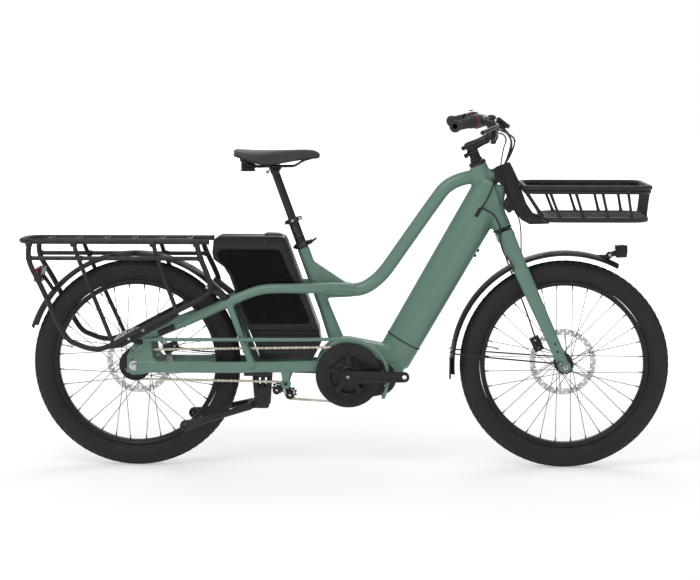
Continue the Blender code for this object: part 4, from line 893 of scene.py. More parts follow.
HEAD_LENGTH = 0.204
TOP_TUBE_RADIUS = 0.021
SEAT_TOP = Vector((-0.1253, 0.0, 0.67))
SEAT_TUBE_LENGTH = 0.33
SEAT_TUBE_RADIUS = 0.0185
DOWN_TOP = Vector((0.437, 0.0, 0.833))
DOWN_LOW = Vector((0.15, 0.0, 0.332))
DOWN_DEPTH = 0.112
DOWN_WIDTH = 0.086
STAY_Y = 0.0745
CRADLE_WIDTH = 0.076
CRADLE = ((CRANK_AXLE.x - 0.01, CRANK_AXLE.z + 0.02, 0.09), (0.122, CRANK_AXLE.z + 0.026, 0.062))
MOTOR = ((CRANK_AXLE.x, CRANK_AXLE.z, 0.082), (0.108, CRANK_AXLE.z - 0.012, 0.052))
MOTOR_WIDTH = 0.086
TOP_TUBE_ROUTE = [(0.455, 0.889), (0.4, 0.887), (0.345, 0.8744), (0.306, 0.8512), (0.275, 0.812),
                  (0.228, 0.7457), (0.1735, 0.6678), (0.1268, 0.6018), (0.095, 0.569), (0.06, 0.547),
                  (0.02, 0.54), (-0.04, 0.537), (-0.085, 0.537)]
STAY_ROUTE = [(0.03, 0.006, 0.544), (-0.03, 0.04, 0.5505), (-0.08, 0.067, 0.552),
              (-0.128, STAY_Y, 0.552), (-0.211, STAY_Y, 0.5514), (-0.253, STAY_Y, 0.5459),
              (-0.295, STAY_Y, 0.5319), (-0.351, STAY_Y, 0.5068), (-0.463, STAY_Y, 0.4564),
              (-0.585, STAY_Y, 0.4048), (-0.622, STAY_Y, 0.368)]


def steer_point(height, forward=0.0, y=0.0):
    """A point by the steering axis, at a height above the head tube's lower end."""
    return STEER_ORIGIN + STEER_UP * height + STEER_FORWARD * forward + ACROSS * y


def welded(pieces, voxel, passes):
    """Fuses closed shapes into one skin whose joints are smooth welds."""
    obj = joined(pieces)
    remesh = obj.modifiers.new("fuse", "REMESH")
    remesh.mode = "VOXEL"
    remesh.voxel_size = voxel
    remesh.use_smooth_shade = True
    smooth = obj.modifiers.new("dress", "SMOOTH")
    smooth.factor = 0.5
    smooth.iterations = passes
    return apply_all(obj)


def plate_run(route, low, height, thickness):
    """A flat-sided bar that follows a route seen from above."""
    half = thickness / 2
    edge = [(x, y + half) for x, y in route] + [(x, y - half) for x, y in reversed(route)]
    obj = mesh_from([(x, y, low) for x, y in edge], (), [list(range(len(edge)))])
    edit(obj)
    bpy.ops.mesh.extrude_region_move(TRANSFORM_OT_translate={"value": (0.0, 0.0, height)})
    bpy.ops.mesh.select_all(action="SELECT")
    bpy.ops.mesh.normals_make_consistent(inside=False)
    leave()
    return rounded(obj, 0.0035, 3, 30.0)


POST_BORE_DEPTH = 0.27


class BICYCLE_OT_frame_front(Operator):
    """Head tube, top tube, down tube, seat tube and motor cradle, welded into one skin"""
    bl_idname = "bicycle.frame_front"
    bl_label = "Frame front"

    def execute(self, context):
        head = turned([(0.0, -0.001), (0.0284, -0.001), (0.0288, 0.014), (0.0268, 0.034), (0.0258, 0.1),
                       (0.0258, 0.16), (0.0262, 0.186), (0.0264, HEAD_LENGTH), (0.0, HEAD_LENGTH)],
                      STEER_ORIGIN, 48, STEER_UP)
        top = tube(smooth_route([(x, 0.0, z) for x, z in TOP_TUBE_ROUTE], 6), TOP_TUBE_RADIUS, 28)
        down = bar(DOWN_LOW - (DOWN_TOP - DOWN_LOW) * 0.02, DOWN_TOP + (DOWN_TOP - DOWN_LOW) * 0.07,
                   DOWN_DEPTH / 2 - 0.002, DOWN_DEPTH / 2 + 0.002, sides=56, bevel=0.01)
        down.data.transform(Matrix.Diagonal((1.0, DOWN_WIDTH / DOWN_DEPTH, 1.0, 1.0)))
        edit(down)
        bpy.ops.mesh.select_all(action="SELECT")
        bpy.ops.mesh.bisect(plane_co=steer_point(0.0, 0.022), plane_no=steer_point(0.0, 1.0) - STEER_ORIGIN,
                            use_fill=True, clear_outer=True)
        leave()
        throat = tube(smooth_route([(0.455, 0.0, 0.862), (0.452, 0.0, 0.815), (0.459, 0.0, 0.762)], 4),
                      0.034, 28, radii=[1.0] * 4 + [0.92] * 3 + [0.8] * 2)
        throat.data.transform(Matrix.Diagonal((1.0, 0.86, 1.0, 1.0)))
        seat = bar(SEAT_TOP - SEAT_UP * SEAT_TUBE_LENGTH, SEAT_TOP, SEAT_TUBE_RADIUS, sides=36)
        foot = bar(SEAT_TOP - SEAT_UP * 0.335, SEAT_TOP - SEAT_UP * 0.205, 0.025, 0.019, sides=36)
        gusset = slab([(-0.113, 0.64), (-0.1, 0.635), (0.03, 0.548), (0.028, 0.535),
                       (-0.08, 0.528)], 0.024, 0.0, 0.006, 2)
        cradle = slab(hull_outline(CRADLE, 20), CRADLE_WIDTH, 0.0, 0.012, 3)
        skin = welded([head, top, down, throat, seat, foot, gusset, cradle], 0.0029, 10)
        skin = cut(skin, [bar(SEAT_TOP - SEAT_UP * POST_BORE_DEPTH, SEAT_TOP + SEAT_UP * 0.01, 0.0158,
                              sides=48)])
        finish(skin, "frame_front", "frame_body", "sage paint",
               ["head_tube", "top_tube", "down_tube", "seat_tube"], angle=60.0)
        return {"FINISHED"}


class BICYCLE_OT_frame_rear(Operator):
    """Upper stays, chainstays, struts and dropouts, welded on each side"""
    bl_idname = "bicycle.frame_rear"
    bl_label = "Frame rear"

    def execute(self, context):
        for side, sign in (("left", 1), ("right", -1)):
            route = smooth_route([(x, sign * y, z) for x, y, z in STAY_ROUTE], 6)
            stay = tube(route, 0.015, 24, radii=[1.15 - 0.15 * min(1.0, n / 20) for n in range(len(route))])
            low = plate_run([(REAR_AXLE.x + 0.006, sign * STAY_Y), (-0.3, sign * STAY_Y),
                             (-0.225, sign * 0.066), (-0.085, sign * 0.034), (0.0, sign * 0.034)],
                            0.295, 0.034, 0.018)
            x = REAR_AXLE.x
            hanger = slab([(x - 0.022, 0.3), (x - 0.008, 0.288), (x + 0.03, 0.29), (x + 0.045, 0.295),
                           (x + 0.1, 0.295), (x + 0.1, 0.329), (x + 0.068, 0.33), (x + 0.057, 0.345),
                           (x + 0.05, 0.4), (x + 0.022, 0.408), (x - 0.006, 0.378),
                           (x - 0.022, 0.345)], 0.01, sign * STAY_Y, 0.0015, 2)
            strut = tube(smooth_route([(-0.346, sign * STAY_Y, 0.512), (-0.31, sign * STAY_Y, 0.412),
                                       (-0.272, sign * STAY_Y, 0.312)], 6), 0.0105, 20,
                         radii=[1.25, 1.1, 1.0, 1.0, 1.0, 1.0, 1.0, 1.0, 1.0, 1.0, 1.05, 1.15, 1.3])
            pieces = [stay, low, hanger, strut]
            if side == "right":
                pivot_at = joint_place("tensioner_swing")
                y = pivot_at.y + 0.0068
                pieces += [slab([(pivot_at.x - 0.022, 0.3), (pivot_at.x + 0.022, 0.3),
                                 (pivot_at.x + 0.0105, pivot_at.z - 0.002),
                                 (pivot_at.x, pivot_at.z - 0.0105),
                                 (pivot_at.x - 0.0105, pivot_at.z - 0.002)], 0.0065, y, 0.002, 2),
                           block((0.03, 0.024, 0.012), (pivot_at.x, y - 0.009, 0.301), bevel=0.003)]
            skin = welded(pieces, 0.0021, 5)
            finish(skin, "frame_rear_" + side, "frame_body", "sage paint",
                   ["upper_stay_" + side, "chainstay_" + side], angle=60.0)
        return {"FINISHED"}


PORT = (0.4044, 0.0, 0.78)
BOSS = Vector((-0.1745, -0.06, 0.261))


class BICYCLE_OT_frame_fittings(Operator):
    """Small fittings on the frame: boss bolts, cable port, dropout bolts and a seam on the cradle"""
    bl_idname = "bicycle.frame_fittings"
    bl_label = "Frame fittings"

    def execute(self, context):
        heading = (DOWN_TOP - DOWN_LOW).normalized()
        under = Vector((heading.z, 0.0, -heading.x))
        screws = [bolt(DOWN_LOW + heading * along + under * (DOWN_DEPTH / 2 - 0.0005), under, 0.0048, 0.006)
                  for along in (0.395, 0.413)]
        for sign in (1, -1):
            out = ACROSS * sign
            for x, z in ((REAR_AXLE.x - 0.004, 0.362), (REAR_AXLE.x + 0.046, 0.312), (-0.455, 0.312),
                         (REAR_AXLE.x - 0.006, 0.334)):
                screws.append(bolt((x, sign * (STAY_Y + 0.0045 + 0.004 * (x > -0.5)), z), out, 0.0026,
                                   0.0016))
        finish(joined(screws), "frame_screws", "frame_body", "anodised alloy")
        ports = []
        for sign in (1, -1):
            centre = Vector(PORT) + ACROSS * sign * (DOWN_WIDTH / 2 - 0.002)
            port = block((0.032, 0.011, 0.013), centre, bevel=0.005,
                         pitch=-math.atan2(heading.z, heading.x))
            ports.append(port)
        finish(joined(ports), "cable_ports", "frame_body", "moulded plastic")
        pads = []
        for sign in (1, -1):
            pads.append(block((0.052, 0.003, 0.024), (-0.458, sign * (STAY_Y + 0.0086), 0.312),
                              bevel=0.0012))
        finish(joined(pads), "chainstay_pads", "frame_body", "sage paint")
        neck = slab([(BOSS.x + 0.015, 0.298), (BOSS.x + 0.008, BOSS.z), (BOSS.x - 0.008, BOSS.z),
                     (BOSS.x - 0.015, 0.298)], 0.0045, BOSS.y, 0.001, 2)
        disc = turned([(0.0062, 0.003), (0.0148, 0.003), (0.0156, 0.0018), (0.0156, -0.0018),
                       (0.0146, -0.0032), (0.01, -0.0032), (0.0092, -0.0024), (0.0062, -0.0024)], BOSS, 56)
        finish(joined([neck, disc]), "tensioner_boss", "frame_body", "sage paint")
        finish(bolt(BOSS - ACROSS * 0.0012, -ACROSS, 0.0058, 0.0016), "tensioner_boss_bolt", "frame_body",
               "anodised alloy")
        collar = bar(DOWN_LOW + heading * 0.062, DOWN_LOW + heading * 0.065, DOWN_DEPTH / 2 + 0.0004,
                     sides=64)
        collar.data.transform(Matrix.Diagonal((1.0, (DOWN_WIDTH + 0.0016) / DOWN_DEPTH, 1.0, 1.0)))
        finish(collar, "down_tube_seam", "frame_body", "moulded plastic")
        return {"FINISHED"}


class BICYCLE_OT_headset(Operator):
    """Black bearing covers above and below the head tube, with their split lines"""
    bl_idname = "bicycle.headset"
    bl_label = "Headset"

    def execute(self, context):
        upper = turned([(0.015, 0.0005), (0.0268, 0.0005), (0.0272, 0.002), (0.027, 0.0042),
                        (0.0256, 0.0048), (0.0256, 0.0056), (0.0268, 0.0062), (0.0262, 0.0088),
                        (0.0222, 0.0122), (0.02, 0.0132), (0.015, 0.0132)],
                       steer_point(HEAD_LENGTH), 64, STEER_UP)
        finish(upper, "upper_bearing_cover", "frame_body", "anodised alloy")
        lower = turned([(0.015, -0.001), (0.029, -0.001), (0.0294, -0.003), (0.0286, -0.006),
                        (0.027, -0.008), (0.015, -0.008)], STEER_ORIGIN, 64, STEER_UP)
        finish(lower, "lower_bearing_cover", "frame_body", "anodised alloy")
        return {"FINISHED"}


class BICYCLE_OT_fork(Operator):
    """A fork with a broad shoulder and two flattened blades down to the axle ends"""
    bl_idname = "bicycle.fork"
    bl_label = "Fork"

    def execute(self, context):
        pitch = math.acos(STEER_UP.z)
        shoulder = block((0.052, 0.128, 0.032), steer_point(-0.027), pitch=-pitch, bevel=0.012, segments=4)
        race = bar(steer_point(-0.036), steer_point(-0.0095), 0.0285, 0.027, sides=40)
        pieces = [shoulder, race]
        for sign in (1, -1):
            route = smooth_route([(0.486, sign * 0.052, 0.716), (0.497, sign * 0.061, 0.69),
                                  (0.545, sign * 0.0645, 0.582), (0.605, sign * 0.0665, 0.45),
                                  (0.65, sign * 0.0675, 0.35), (0.6675, sign * 0.0675, 0.3085)], 6)
            count = len(route) - 1
            leg = tube(route, 0.0275, 28, radii=[1.0 - 0.44 * (n / count) ** 0.9 for n in range(count + 1)])
            leg.data.transform(Matrix.Translation((0.0, sign * 0.064, 0.0))
                               @ Matrix.Diagonal((1.0, 0.52, 1.0, 1.0))
                               @ Matrix.Translation((0.0, -sign * 0.064, 0.0)))
            pieces.append(leg)
            axle = FRONT_AXLE + ACROSS * sign * 0.0675
            pieces.append(bar(axle - ACROSS * 0.008, axle + ACROSS * 0.008, 0.017, sides=36, bevel=0.002))
        skin = welded(pieces, 0.0022, 6)
        finish(skin, "fork_skin", "steering_body", "sage paint", ["fork"], angle=60.0)
        steerer = bar(steer_point(-0.01), steer_point(0.268), 0.0144, sides=32)
        finish(steerer, "steerer", "steering_body", "anodised alloy")
        screws = []
        for sign in (1, -1):
            screws.append(bolt((0.636, sign * 0.076, 0.387), ACROSS * sign, 0.003, 0.002))
            screws.append(bolt((0.644, sign * 0.0756, 0.364), ACROSS * sign, 0.003, 0.002))
        finish(joined(screws), "fork_screws", "steering_body", "anodised alloy")
        return {"FINISHED"}


class BICYCLE_OT_guard_rod(Operator):
    """The thin painted rod that keeps trousers off the chain"""
    bl_idname = "bicycle.guard_rod"
    bl_label = "Chain guard rod"

    def execute(self, context):
        rear_y = -STAY_Y - 0.0175
        front_y = -0.0785
        route = [(-0.592, -STAY_Y + 0.002, 0.398), (-0.576, rear_y + 0.006, 0.398), (-0.56, rear_y, 0.398),
                 (-0.16, rear_y, 0.399), (-0.02, front_y, 0.399), (0.041, front_y, 0.395),
                 (0.092, front_y, 0.373), (0.122, front_y, 0.338), (0.1345, front_y, 0.296),
                 (0.13, front_y, 0.25), (0.121, front_y, 0.221)]
        rod = tube(smooth_route(route, 8), 0.0055, 20)
        tab = bar((0.121, front_y, 0.223), (0.121, -0.03, 0.235), 0.0055, sides=20, bevel=0.001)
        sleeve = bar((-0.3, rear_y, 0.3985), (-0.23, rear_y, 0.3988), 0.0062, sides=20, bevel=0.0006)
        finish(joined([rod, tab, sleeve]), "guard_rod", "frame_body", "sage paint", ["chain_guard_rod"])
        return {"FINISHED"}


# ---------------------------------------------------------------- fenders

FENDER_DROP = 0.012
FENDER_SHEET = 0.0022


def fender_section(radius, half):
    """A crowned strip with rolled edges, out along the top and back underneath."""
    places = [-1.0, -0.94, -0.75, -0.5, -0.25, 0.0, 0.25, 0.5, 0.75, 0.94, 1.0]
    top = [(radius - FENDER_DROP * t * t - 0.0008 * (abs(t) > 0.97), half * t) for t in places]
    under = [(radius - FENDER_SHEET - FENDER_DROP * t * t - 0.001 * (abs(t) > 0.9), half * t * 0.965)
             for t in reversed(places)]
    return top + under


class BICYCLE_OT_fenders(Operator):
    """Crowned fenders with their wires, brackets and the front mud flap"""
    bl_idname = "bicycle.fenders"
    bl_label = "Fenders"

    def execute(self, context):
        half = 0.037
        rear = turned(fender_section(TYRE_RADIUS + 0.0265, half), REAR_AXLE, 96, sweep=math.radians(155),
                      start=math.radians(6))
        stub = bar((-0.888, 0.0, 0.538), (-0.918, 0.0, 0.582), 0.006, sides=20)
        bridge = block((0.012, 2 * STAY_Y - 0.024, 0.008), (-0.348, 0.0, 0.5085), bevel=0.002)
        finish(joined([rear, stub, bridge]), "rear_fender_blade", "frame_body", "moulded plastic",
               ["rear_fender"])
        front = turned(fender_section(TYRE_RADIUS + 0.0305, half), FRONT_AXLE, 88, sweep=math.radians(123),
                       start=math.radians(62))
        finish(front, "front_fender_blade", "steering_body", "moulded plastic", ["front_fender"])
        low = FRONT_AXLE + Vector((-0.3465, 0.0, -0.01))
        flap = slab([(low.x - 0.0012, low.z - 0.034), (low.x + 0.0042, low.z - 0.034),
                     (low.x + 0.0036, low.z + 0.03), (low.x - 0.0006, low.z + 0.03)], 0.064, 0.0, 0.0012)
        finish(flap, "mud_flap", "steering_body", "grip rubber")
        wires, screws = [], []
        for sign in (1, -1):
            start = FRONT_AXLE + Vector((-0.016, sign * 0.08, 0.012))
            points = [start, FRONT_AXLE + Vector((-0.08, sign * 0.076, 0.016)),
                      FRONT_AXLE + Vector((-0.323, sign * 0.055, 0.0355)),
                      FRONT_AXLE + Vector((-0.3375, sign * 0.035, 0.0455))]
            wires.append(tube(smooth_route(points, 5), 0.0024, 12))
            eye = FRONT_AXLE + Vector((-0.016, sign * 0.0765, 0.012))
            wires.append(bar(eye, eye + ACROSS * sign * 0.004, 0.0062, sides=24, bevel=0.0008))
            screws.append(bolt(eye + ACROSS * sign * 0.004, ACROSS * sign, 0.004, 0.003))
            screws.append(bolt(FRONT_AXLE + Vector((-0.3385, sign * 0.035, 0.0455)), (-1.0, 0.0, 0.0),
                               0.0036, 0.0026))
        bracket = slab([(0.742, 0.647), (0.77, 0.639), (0.803, 0.637), (0.8085, 0.642), (0.8085, 0.657),
                        (0.798, 0.6605), (0.79, 0.65), (0.765, 0.65)], 0.012, 0.0, 0.0016)
        finish(joined(wires + [bracket]), "front_fender_wires", "steering_body", "powder coat")
        finish(joined(screws), "front_fender_screws", "steering_body", "brushed steel")
        return {"FINISHED"}


# ---------------------------------------------------------------- rack and basket

DECK_Z = 0.692
RAIL_Y = 0.08
DECK_REAR = -0.976
DECK_FRONT = -0.404
DECK_CORNER = 0.05
SLAT_COUNT = 6
LOOP_Y = 0.122


def rounded_loop(z, rear, front, half, corner, steps=8):
    """A level rectangle with round corners."""
    route = []
    for cx, cy, start in ((front - corner, half - corner, 0), (rear + corner, half - corner, 90),
                          (rear + corner, -half + corner, 180), (front - corner, -half + corner, 270)):
        for step in range(steps + 1):
            angle = math.radians(start + 90 * step / steps)
            route.append(Vector((cx + corner * math.cos(angle), cy + corner * math.sin(angle), z)))
    return route


class BICYCLE_OT_rack_deck(Operator):
    """The flat deck: a round rail, pressed cross slats with slots, and a spine"""
    bl_idname = "bicycle.rack_deck"
    bl_label = "Rack deck"

    def execute(self, context):
        side = [(DECK_FRONT, RAIL_Y, DECK_Z)]
        side += [(DECK_REAR + DECK_CORNER - DECK_CORNER * math.sin(a),
                  RAIL_Y - DECK_CORNER + DECK_CORNER * math.cos(a), DECK_Z)
                 for a in (math.radians(11.25 * n) for n in range(9))]
        route = [Vector(point) for point in side] + [Vector((x, -y, z)) for x, y, z in reversed(side)]
        rail = tube(route, 0.0078, 24)
        pieces = [rail]
        first = DECK_REAR + 0.08
        last = DECK_FRONT - 0.066
        for number in range(SLAT_COUNT):
            x = first + (last - first) * number / (SLAT_COUNT - 1)
            slat = block((0.018, 2 * RAIL_Y - 0.004, 0.0048), (x, 0.0, DECK_Z + 0.003), bevel=0.0014)
            slots = [block((0.0075, 0.03, 0.02), (x, y, DECK_Z), bevel=0.0035, segments=3)
                     for y in (-0.046, 0.046)]
            pieces.append(cut(slat, slots))
        pieces.append(block((last - first + 0.01, 0.022, 0.0036),
                            ((first + last) / 2, 0.0, DECK_Z + 0.0016),
                            bevel=0.0012))
        for sign in (1, -1):
            pieces.append(bar((DECK_FRONT + 0.002, sign * RAIL_Y, DECK_Z),
                              (DECK_FRONT - 0.004, sign * RAIL_Y, DECK_Z), 0.0086, sides=24, bevel=0.001))
        finish(joined(pieces), "rack_deck_frame", "frame_body", "powder coat", ["rack_deck"])
        return {"FINISHED"}


class BICYCLE_OT_rack_loops(Operator):
    """The side loops that carry panniers, with inner legs, a side rail, clamps and feet"""
    bl_idname = "bicycle.rack_loops"
    bl_label = "Rack side loops"

    def execute(self, context):
        loop = [(-0.9455, 0.08, DECK_Z - 0.004), (-0.943, 0.0915, 0.6325), (-0.905, 0.108, 0.558),
                (-0.836, LOOP_Y, 0.418), (-0.79, LOOP_Y, 0.384), (-0.738, LOOP_Y, 0.372),
                (-0.692, LOOP_Y, 0.385), (-0.625, LOOP_Y, 0.42), (-0.508, LOOP_Y, 0.4815),
                (-0.42, LOOP_Y - 0.002, 0.527), (-0.395, 0.117, 0.554), (-0.402, 0.11, 0.587),
                (-0.428, 0.094, 0.648), (-0.44, 0.08, DECK_Z - 0.004)]
        legs = [[(-0.81, 0.08, DECK_Z - 0.004), (-0.791, 0.092, 0.6325), (-0.69, LOOP_Y, 0.393)],
                [(-0.571, 0.08, DECK_Z - 0.004), (-0.552, 0.092, 0.628), (-0.497, LOOP_Y, 0.488)]]
        for side, sign in (("left", 1), ("right", -1)):
            pieces = [tube(smooth_route([(x, sign * y, z) for x, y, z in loop], 6), 0.008, 20)]
            for leg in legs:
                pieces.append(tube(smooth_route([(x, sign * y, z) for x, y, z in leg], 6), 0.0064, 16))
            pieces.append(bar((-0.943, sign * 0.092, 0.6425), (-0.428, sign * 0.092, 0.6425), 0.0064,
                              sides=20))
            pieces.append(bar((-0.64, sign * LOOP_Y, 0.404), (-0.606, sign * 0.0785, 0.386), 0.009,
                              sides=24, bevel=0.002))
            pieces.append(bar((-0.405, sign * 0.118, 0.56), (-0.345, sign * STAY_Y, 0.52), 0.01,
                              sides=24, bevel=0.002))
            for x, y, z in ((-0.9455, 0.082, 0.684), (-0.81, 0.082, 0.684), (-0.571, 0.082, 0.684),
                            (-0.44, 0.082, 0.684), (-0.943, 0.092, 0.6425), (-0.79, 0.092, 0.6425),
                            (-0.553, 0.092, 0.6425), (-0.428, 0.092, 0.6425)):
                pieces.append(block((0.02, 0.0165, 0.0165), (x, sign * y, z), bevel=0.005, segments=3))
            foot = slab([(-0.7, 0.372), (-0.676, 0.392), (-0.5, 0.484), (-0.488, 0.476), (-0.52, 0.452),
                         (-0.664, 0.376)], 0.006, sign * (LOOP_Y - 0.006), 0.0015)
            pieces.append(foot)
            finish(joined(pieces), "rack_side_loop_" + side, "frame_body", "powder coat",
                   ["rack_loop_" + side])
            screws = [bolt((x, sign * (LOOP_Y + 0.0045), z), ACROSS * sign, 0.0042, 0.004)
                      for x, z in ((-0.64, 0.404), (-0.405, 0.56), (-0.597, 0.43))]
            plate = block((0.052, 0.004, 0.018), (-0.532, sign * (STAY_Y + 0.0165), 0.427), bevel=0.0015,
                          pitch=math.radians(-24))
            finish(joined(screws), "rack_screws_" + side, "frame_body", "brushed steel")
            finish(plate, "frame_plate_" + side, "frame_body", "moulded plastic")
        return {"FINISHED"}


BASKET_HALF = 0.175
BASKET_TOP = 0.86
BASKET_LOW = 0.766
BASKET_REAR = 0.538
BASKET_FRONT = 0.906


def basket_bar(top, low, width=0.0042):
    """A bar that flares where it is welded to the rails."""
    top = Vector(top)
    low = Vector(low)
    shares = (0.0, 0.04, 0.09, 0.16, 0.5, 0.84, 0.91, 0.96, 1.0)
    flare = (2.3, 1.9, 1.4, 1.1, 1.0, 1.1, 1.4, 1.9, 2.3)
    return tube([top.lerp(low, share) for share in shares], width, 12, radii=flare)


class BICYCLE_OT_basket(Operator):
    """An open basket of round rails and flared bars, with a slatted floor"""
    bl_idname = "bicycle.basket"
    bl_label = "Basket"

    def execute(self, context):
        low_half = BASKET_HALF - 0.012
        low_rear = BASKET_REAR + 0.06
        low_front = BASKET_FRONT - 0.01
        pieces = [tube(rounded_loop(BASKET_TOP, BASKET_REAR, BASKET_FRONT, BASKET_HALF, 0.045), 0.0078, 20,
                       closed=True),
                  tube(rounded_loop(BASKET_TOP - 0.012, BASKET_REAR + 0.002, BASKET_FRONT - 0.002,
                                    BASKET_HALF - 0.002, 0.043), 0.0058, 16, closed=True),
                  tube(rounded_loop(BASKET_LOW, low_rear, low_front, low_half, 0.045), 0.0078, 20,
                       closed=True)]
        for share in (0.15, 0.38, 0.62, 0.85):
            top_x = BASKET_REAR + 0.02 + (BASKET_FRONT - BASKET_REAR - 0.04) * share
            low_x = low_rear + (low_front - low_rear) * share
            for sign in (1, -1):
                pieces.append(basket_bar((top_x, sign * BASKET_HALF, BASKET_TOP - 0.004),
                                         (low_x, sign * low_half, BASKET_LOW)))
        for share in (-0.6, -0.2, 0.2, 0.6):
            pieces.append(basket_bar((BASKET_FRONT, share * BASKET_HALF, BASKET_TOP - 0.004),
                                     (low_front, share * low_half, BASKET_LOW)))
            pieces.append(basket_bar((BASKET_REAR, share * BASKET_HALF, BASKET_TOP - 0.004),
                                     (low_rear, share * low_half, BASKET_LOW)))
        for share in (-0.66, -0.33, 0.0, 0.33, 0.66):
            pieces.append(basket_bar((low_rear, share * low_half, BASKET_LOW),
                                     (low_front, share * low_half, BASKET_LOW), 0.0046))
        for x in (0.68, 0.76, 0.84):
            pieces.append(bar((x, -low_half, BASKET_LOW - 0.002), (x, low_half, BASKET_LOW - 0.002), 0.004,
                              sides=12))
        finish(joined(pieces), "basket_frame", "frame_body", "powder coat", ["basket"])
        return {"FINISHED"}


class BICYCLE_OT_basket_bracket(Operator):
    """The cast bracket between the head tube and the basket, with its ribs and bolts"""
    bl_idname = "bicycle.basket_bracket"
    bl_label = "Basket bracket"

    def execute(self, context):
        spine = slab([(0.496, 0.904), (0.505, 0.908), (0.524, 0.87), (0.5371, 0.8395), (0.5493, 0.8059),
                      (0.57, 0.776), (0.62, 0.76), (0.62, 0.744), (0.56, 0.742),
                      (0.534, 0.756), (0.512, 0.788), (0.496, 0.84), (0.484, 0.87)], 0.036, 0.0,
                     0.006, 4)
        hollows = [slab([(0.499, 0.88), (0.508, 0.878), (0.527, 0.832), (0.544, 0.79), (0.542, 0.774),
                         (0.528, 0.784), (0.508, 0.842)], 0.007, y, 0.0) for y in (-0.019, 0.019)]
        spine = cut(spine, hollows)
        pieces = [spine]
        for y in (-0.0145, 0.0145):
            pieces.append(slab([(0.4424, 0.9036), (0.4607, 0.9158), (0.4989, 0.9296), (0.508, 0.9128),
                                (0.5279, 0.8701), (0.526, 0.82), (0.5157, 0.7875), (0.4973, 0.7753),
                                (0.4851, 0.7875), (0.4806, 0.8059), (0.4912, 0.8242), (0.479, 0.8548),
                                (0.466, 0.869), (0.4515, 0.8548), (0.4393, 0.8731)], 0.005, y, 0.0018, 3))
        finish(joined(pieces), "basket_bracket_casting", "frame_body", "powder coat", ["basket_bracket"])
        screws = []
        for sign in (1, -1):
            for x, z in ((0.46, 0.888), (0.498, 0.795), (0.548, 0.764), (0.606, 0.752)):
                y = 0.0168 if x < 0.5 else 0.0178
                screws.append(bolt((x, sign * y, z), ACROSS * sign, 0.005, 0.0042))
        finish(joined(screws), "basket_screws", "frame_body", "anodised alloy")
        return {"FINISHED"}


# ---------------------------------------------------------------- battery and drive

BATTERY_OUTLINE = [(-0.392, 0.692), (-0.386, 0.701), (-0.372, 0.707), (-0.19, 0.707), (-0.178, 0.702),
                   (-0.172, 0.69), (-0.074, 0.4225), (-0.286, 0.4225), (-0.3187, 0.4912),
                   (-0.3299, 0.5471), (-0.3437, 0.5865), (-0.3608, 0.6144), (-0.3917, 0.6367),
                   (-0.3956, 0.6562)]
BATTERY_PANEL = [(-0.383, 0.655), (-0.379, 0.664), (-0.37, 0.6684), (-0.205, 0.6684),
                 (-0.194, 0.665), (-0.187, 0.656), (-0.102, 0.456), (-0.101, 0.446),
                 (-0.109, 0.439), (-0.278, 0.439), (-0.285, 0.444), (-0.293, 0.46),
                 (-0.313, 0.51), (-0.323, 0.555), (-0.334, 0.587), (-0.347, 0.609),
                 (-0.372, 0.633)]
DOCK_OUTLINE = [(-0.0742, 0.4215), (-0.0685, 0.382), (-0.089, 0.342), (-0.096, 0.335),
                (-0.2515, 0.335), (-0.2682, 0.3792), (-0.2855, 0.4215)]
BATTERY_WIDTH = 0.108
DOCK_WIDTH = 0.086
CHAIN_Y = -0.05
RING_PITCH = 0.085
COG_PITCH = 0.0446
COG_TEETH = 22
RING_TEETH = 42
PULLEY_TEETH = 9
PULLEY_PITCH = 0.0186
PULLEYS = (("rear", joint_place("pulley_rear_spin")), ("front", joint_place("pulley_front_spin")))
LINK_PITCH = 0.0127


def round_edges(cover, width, segments):
    """Gives the top, front and back edges of the cover a broad round, and leaves its foot crisp."""
    edit(cover)
    bpy.ops.mesh.select_all(action="DESELECT")
    mesh = bmesh.from_edit_mesh(cover.data)
    for edge in mesh.edges:
        start, end = (vertex.co for vertex in edge.verts)
        on_side = abs(start.y - end.y) < 1e-5
        at_foot = max(start.z, end.z) < 0.423
        edge.select_set(on_side and not at_foot)
    bmesh.update_edit_mesh(cover.data)
    bpy.ops.mesh.bevel(offset=width, segments=segments, profile=0.5, affect="EDGES")
    leave()


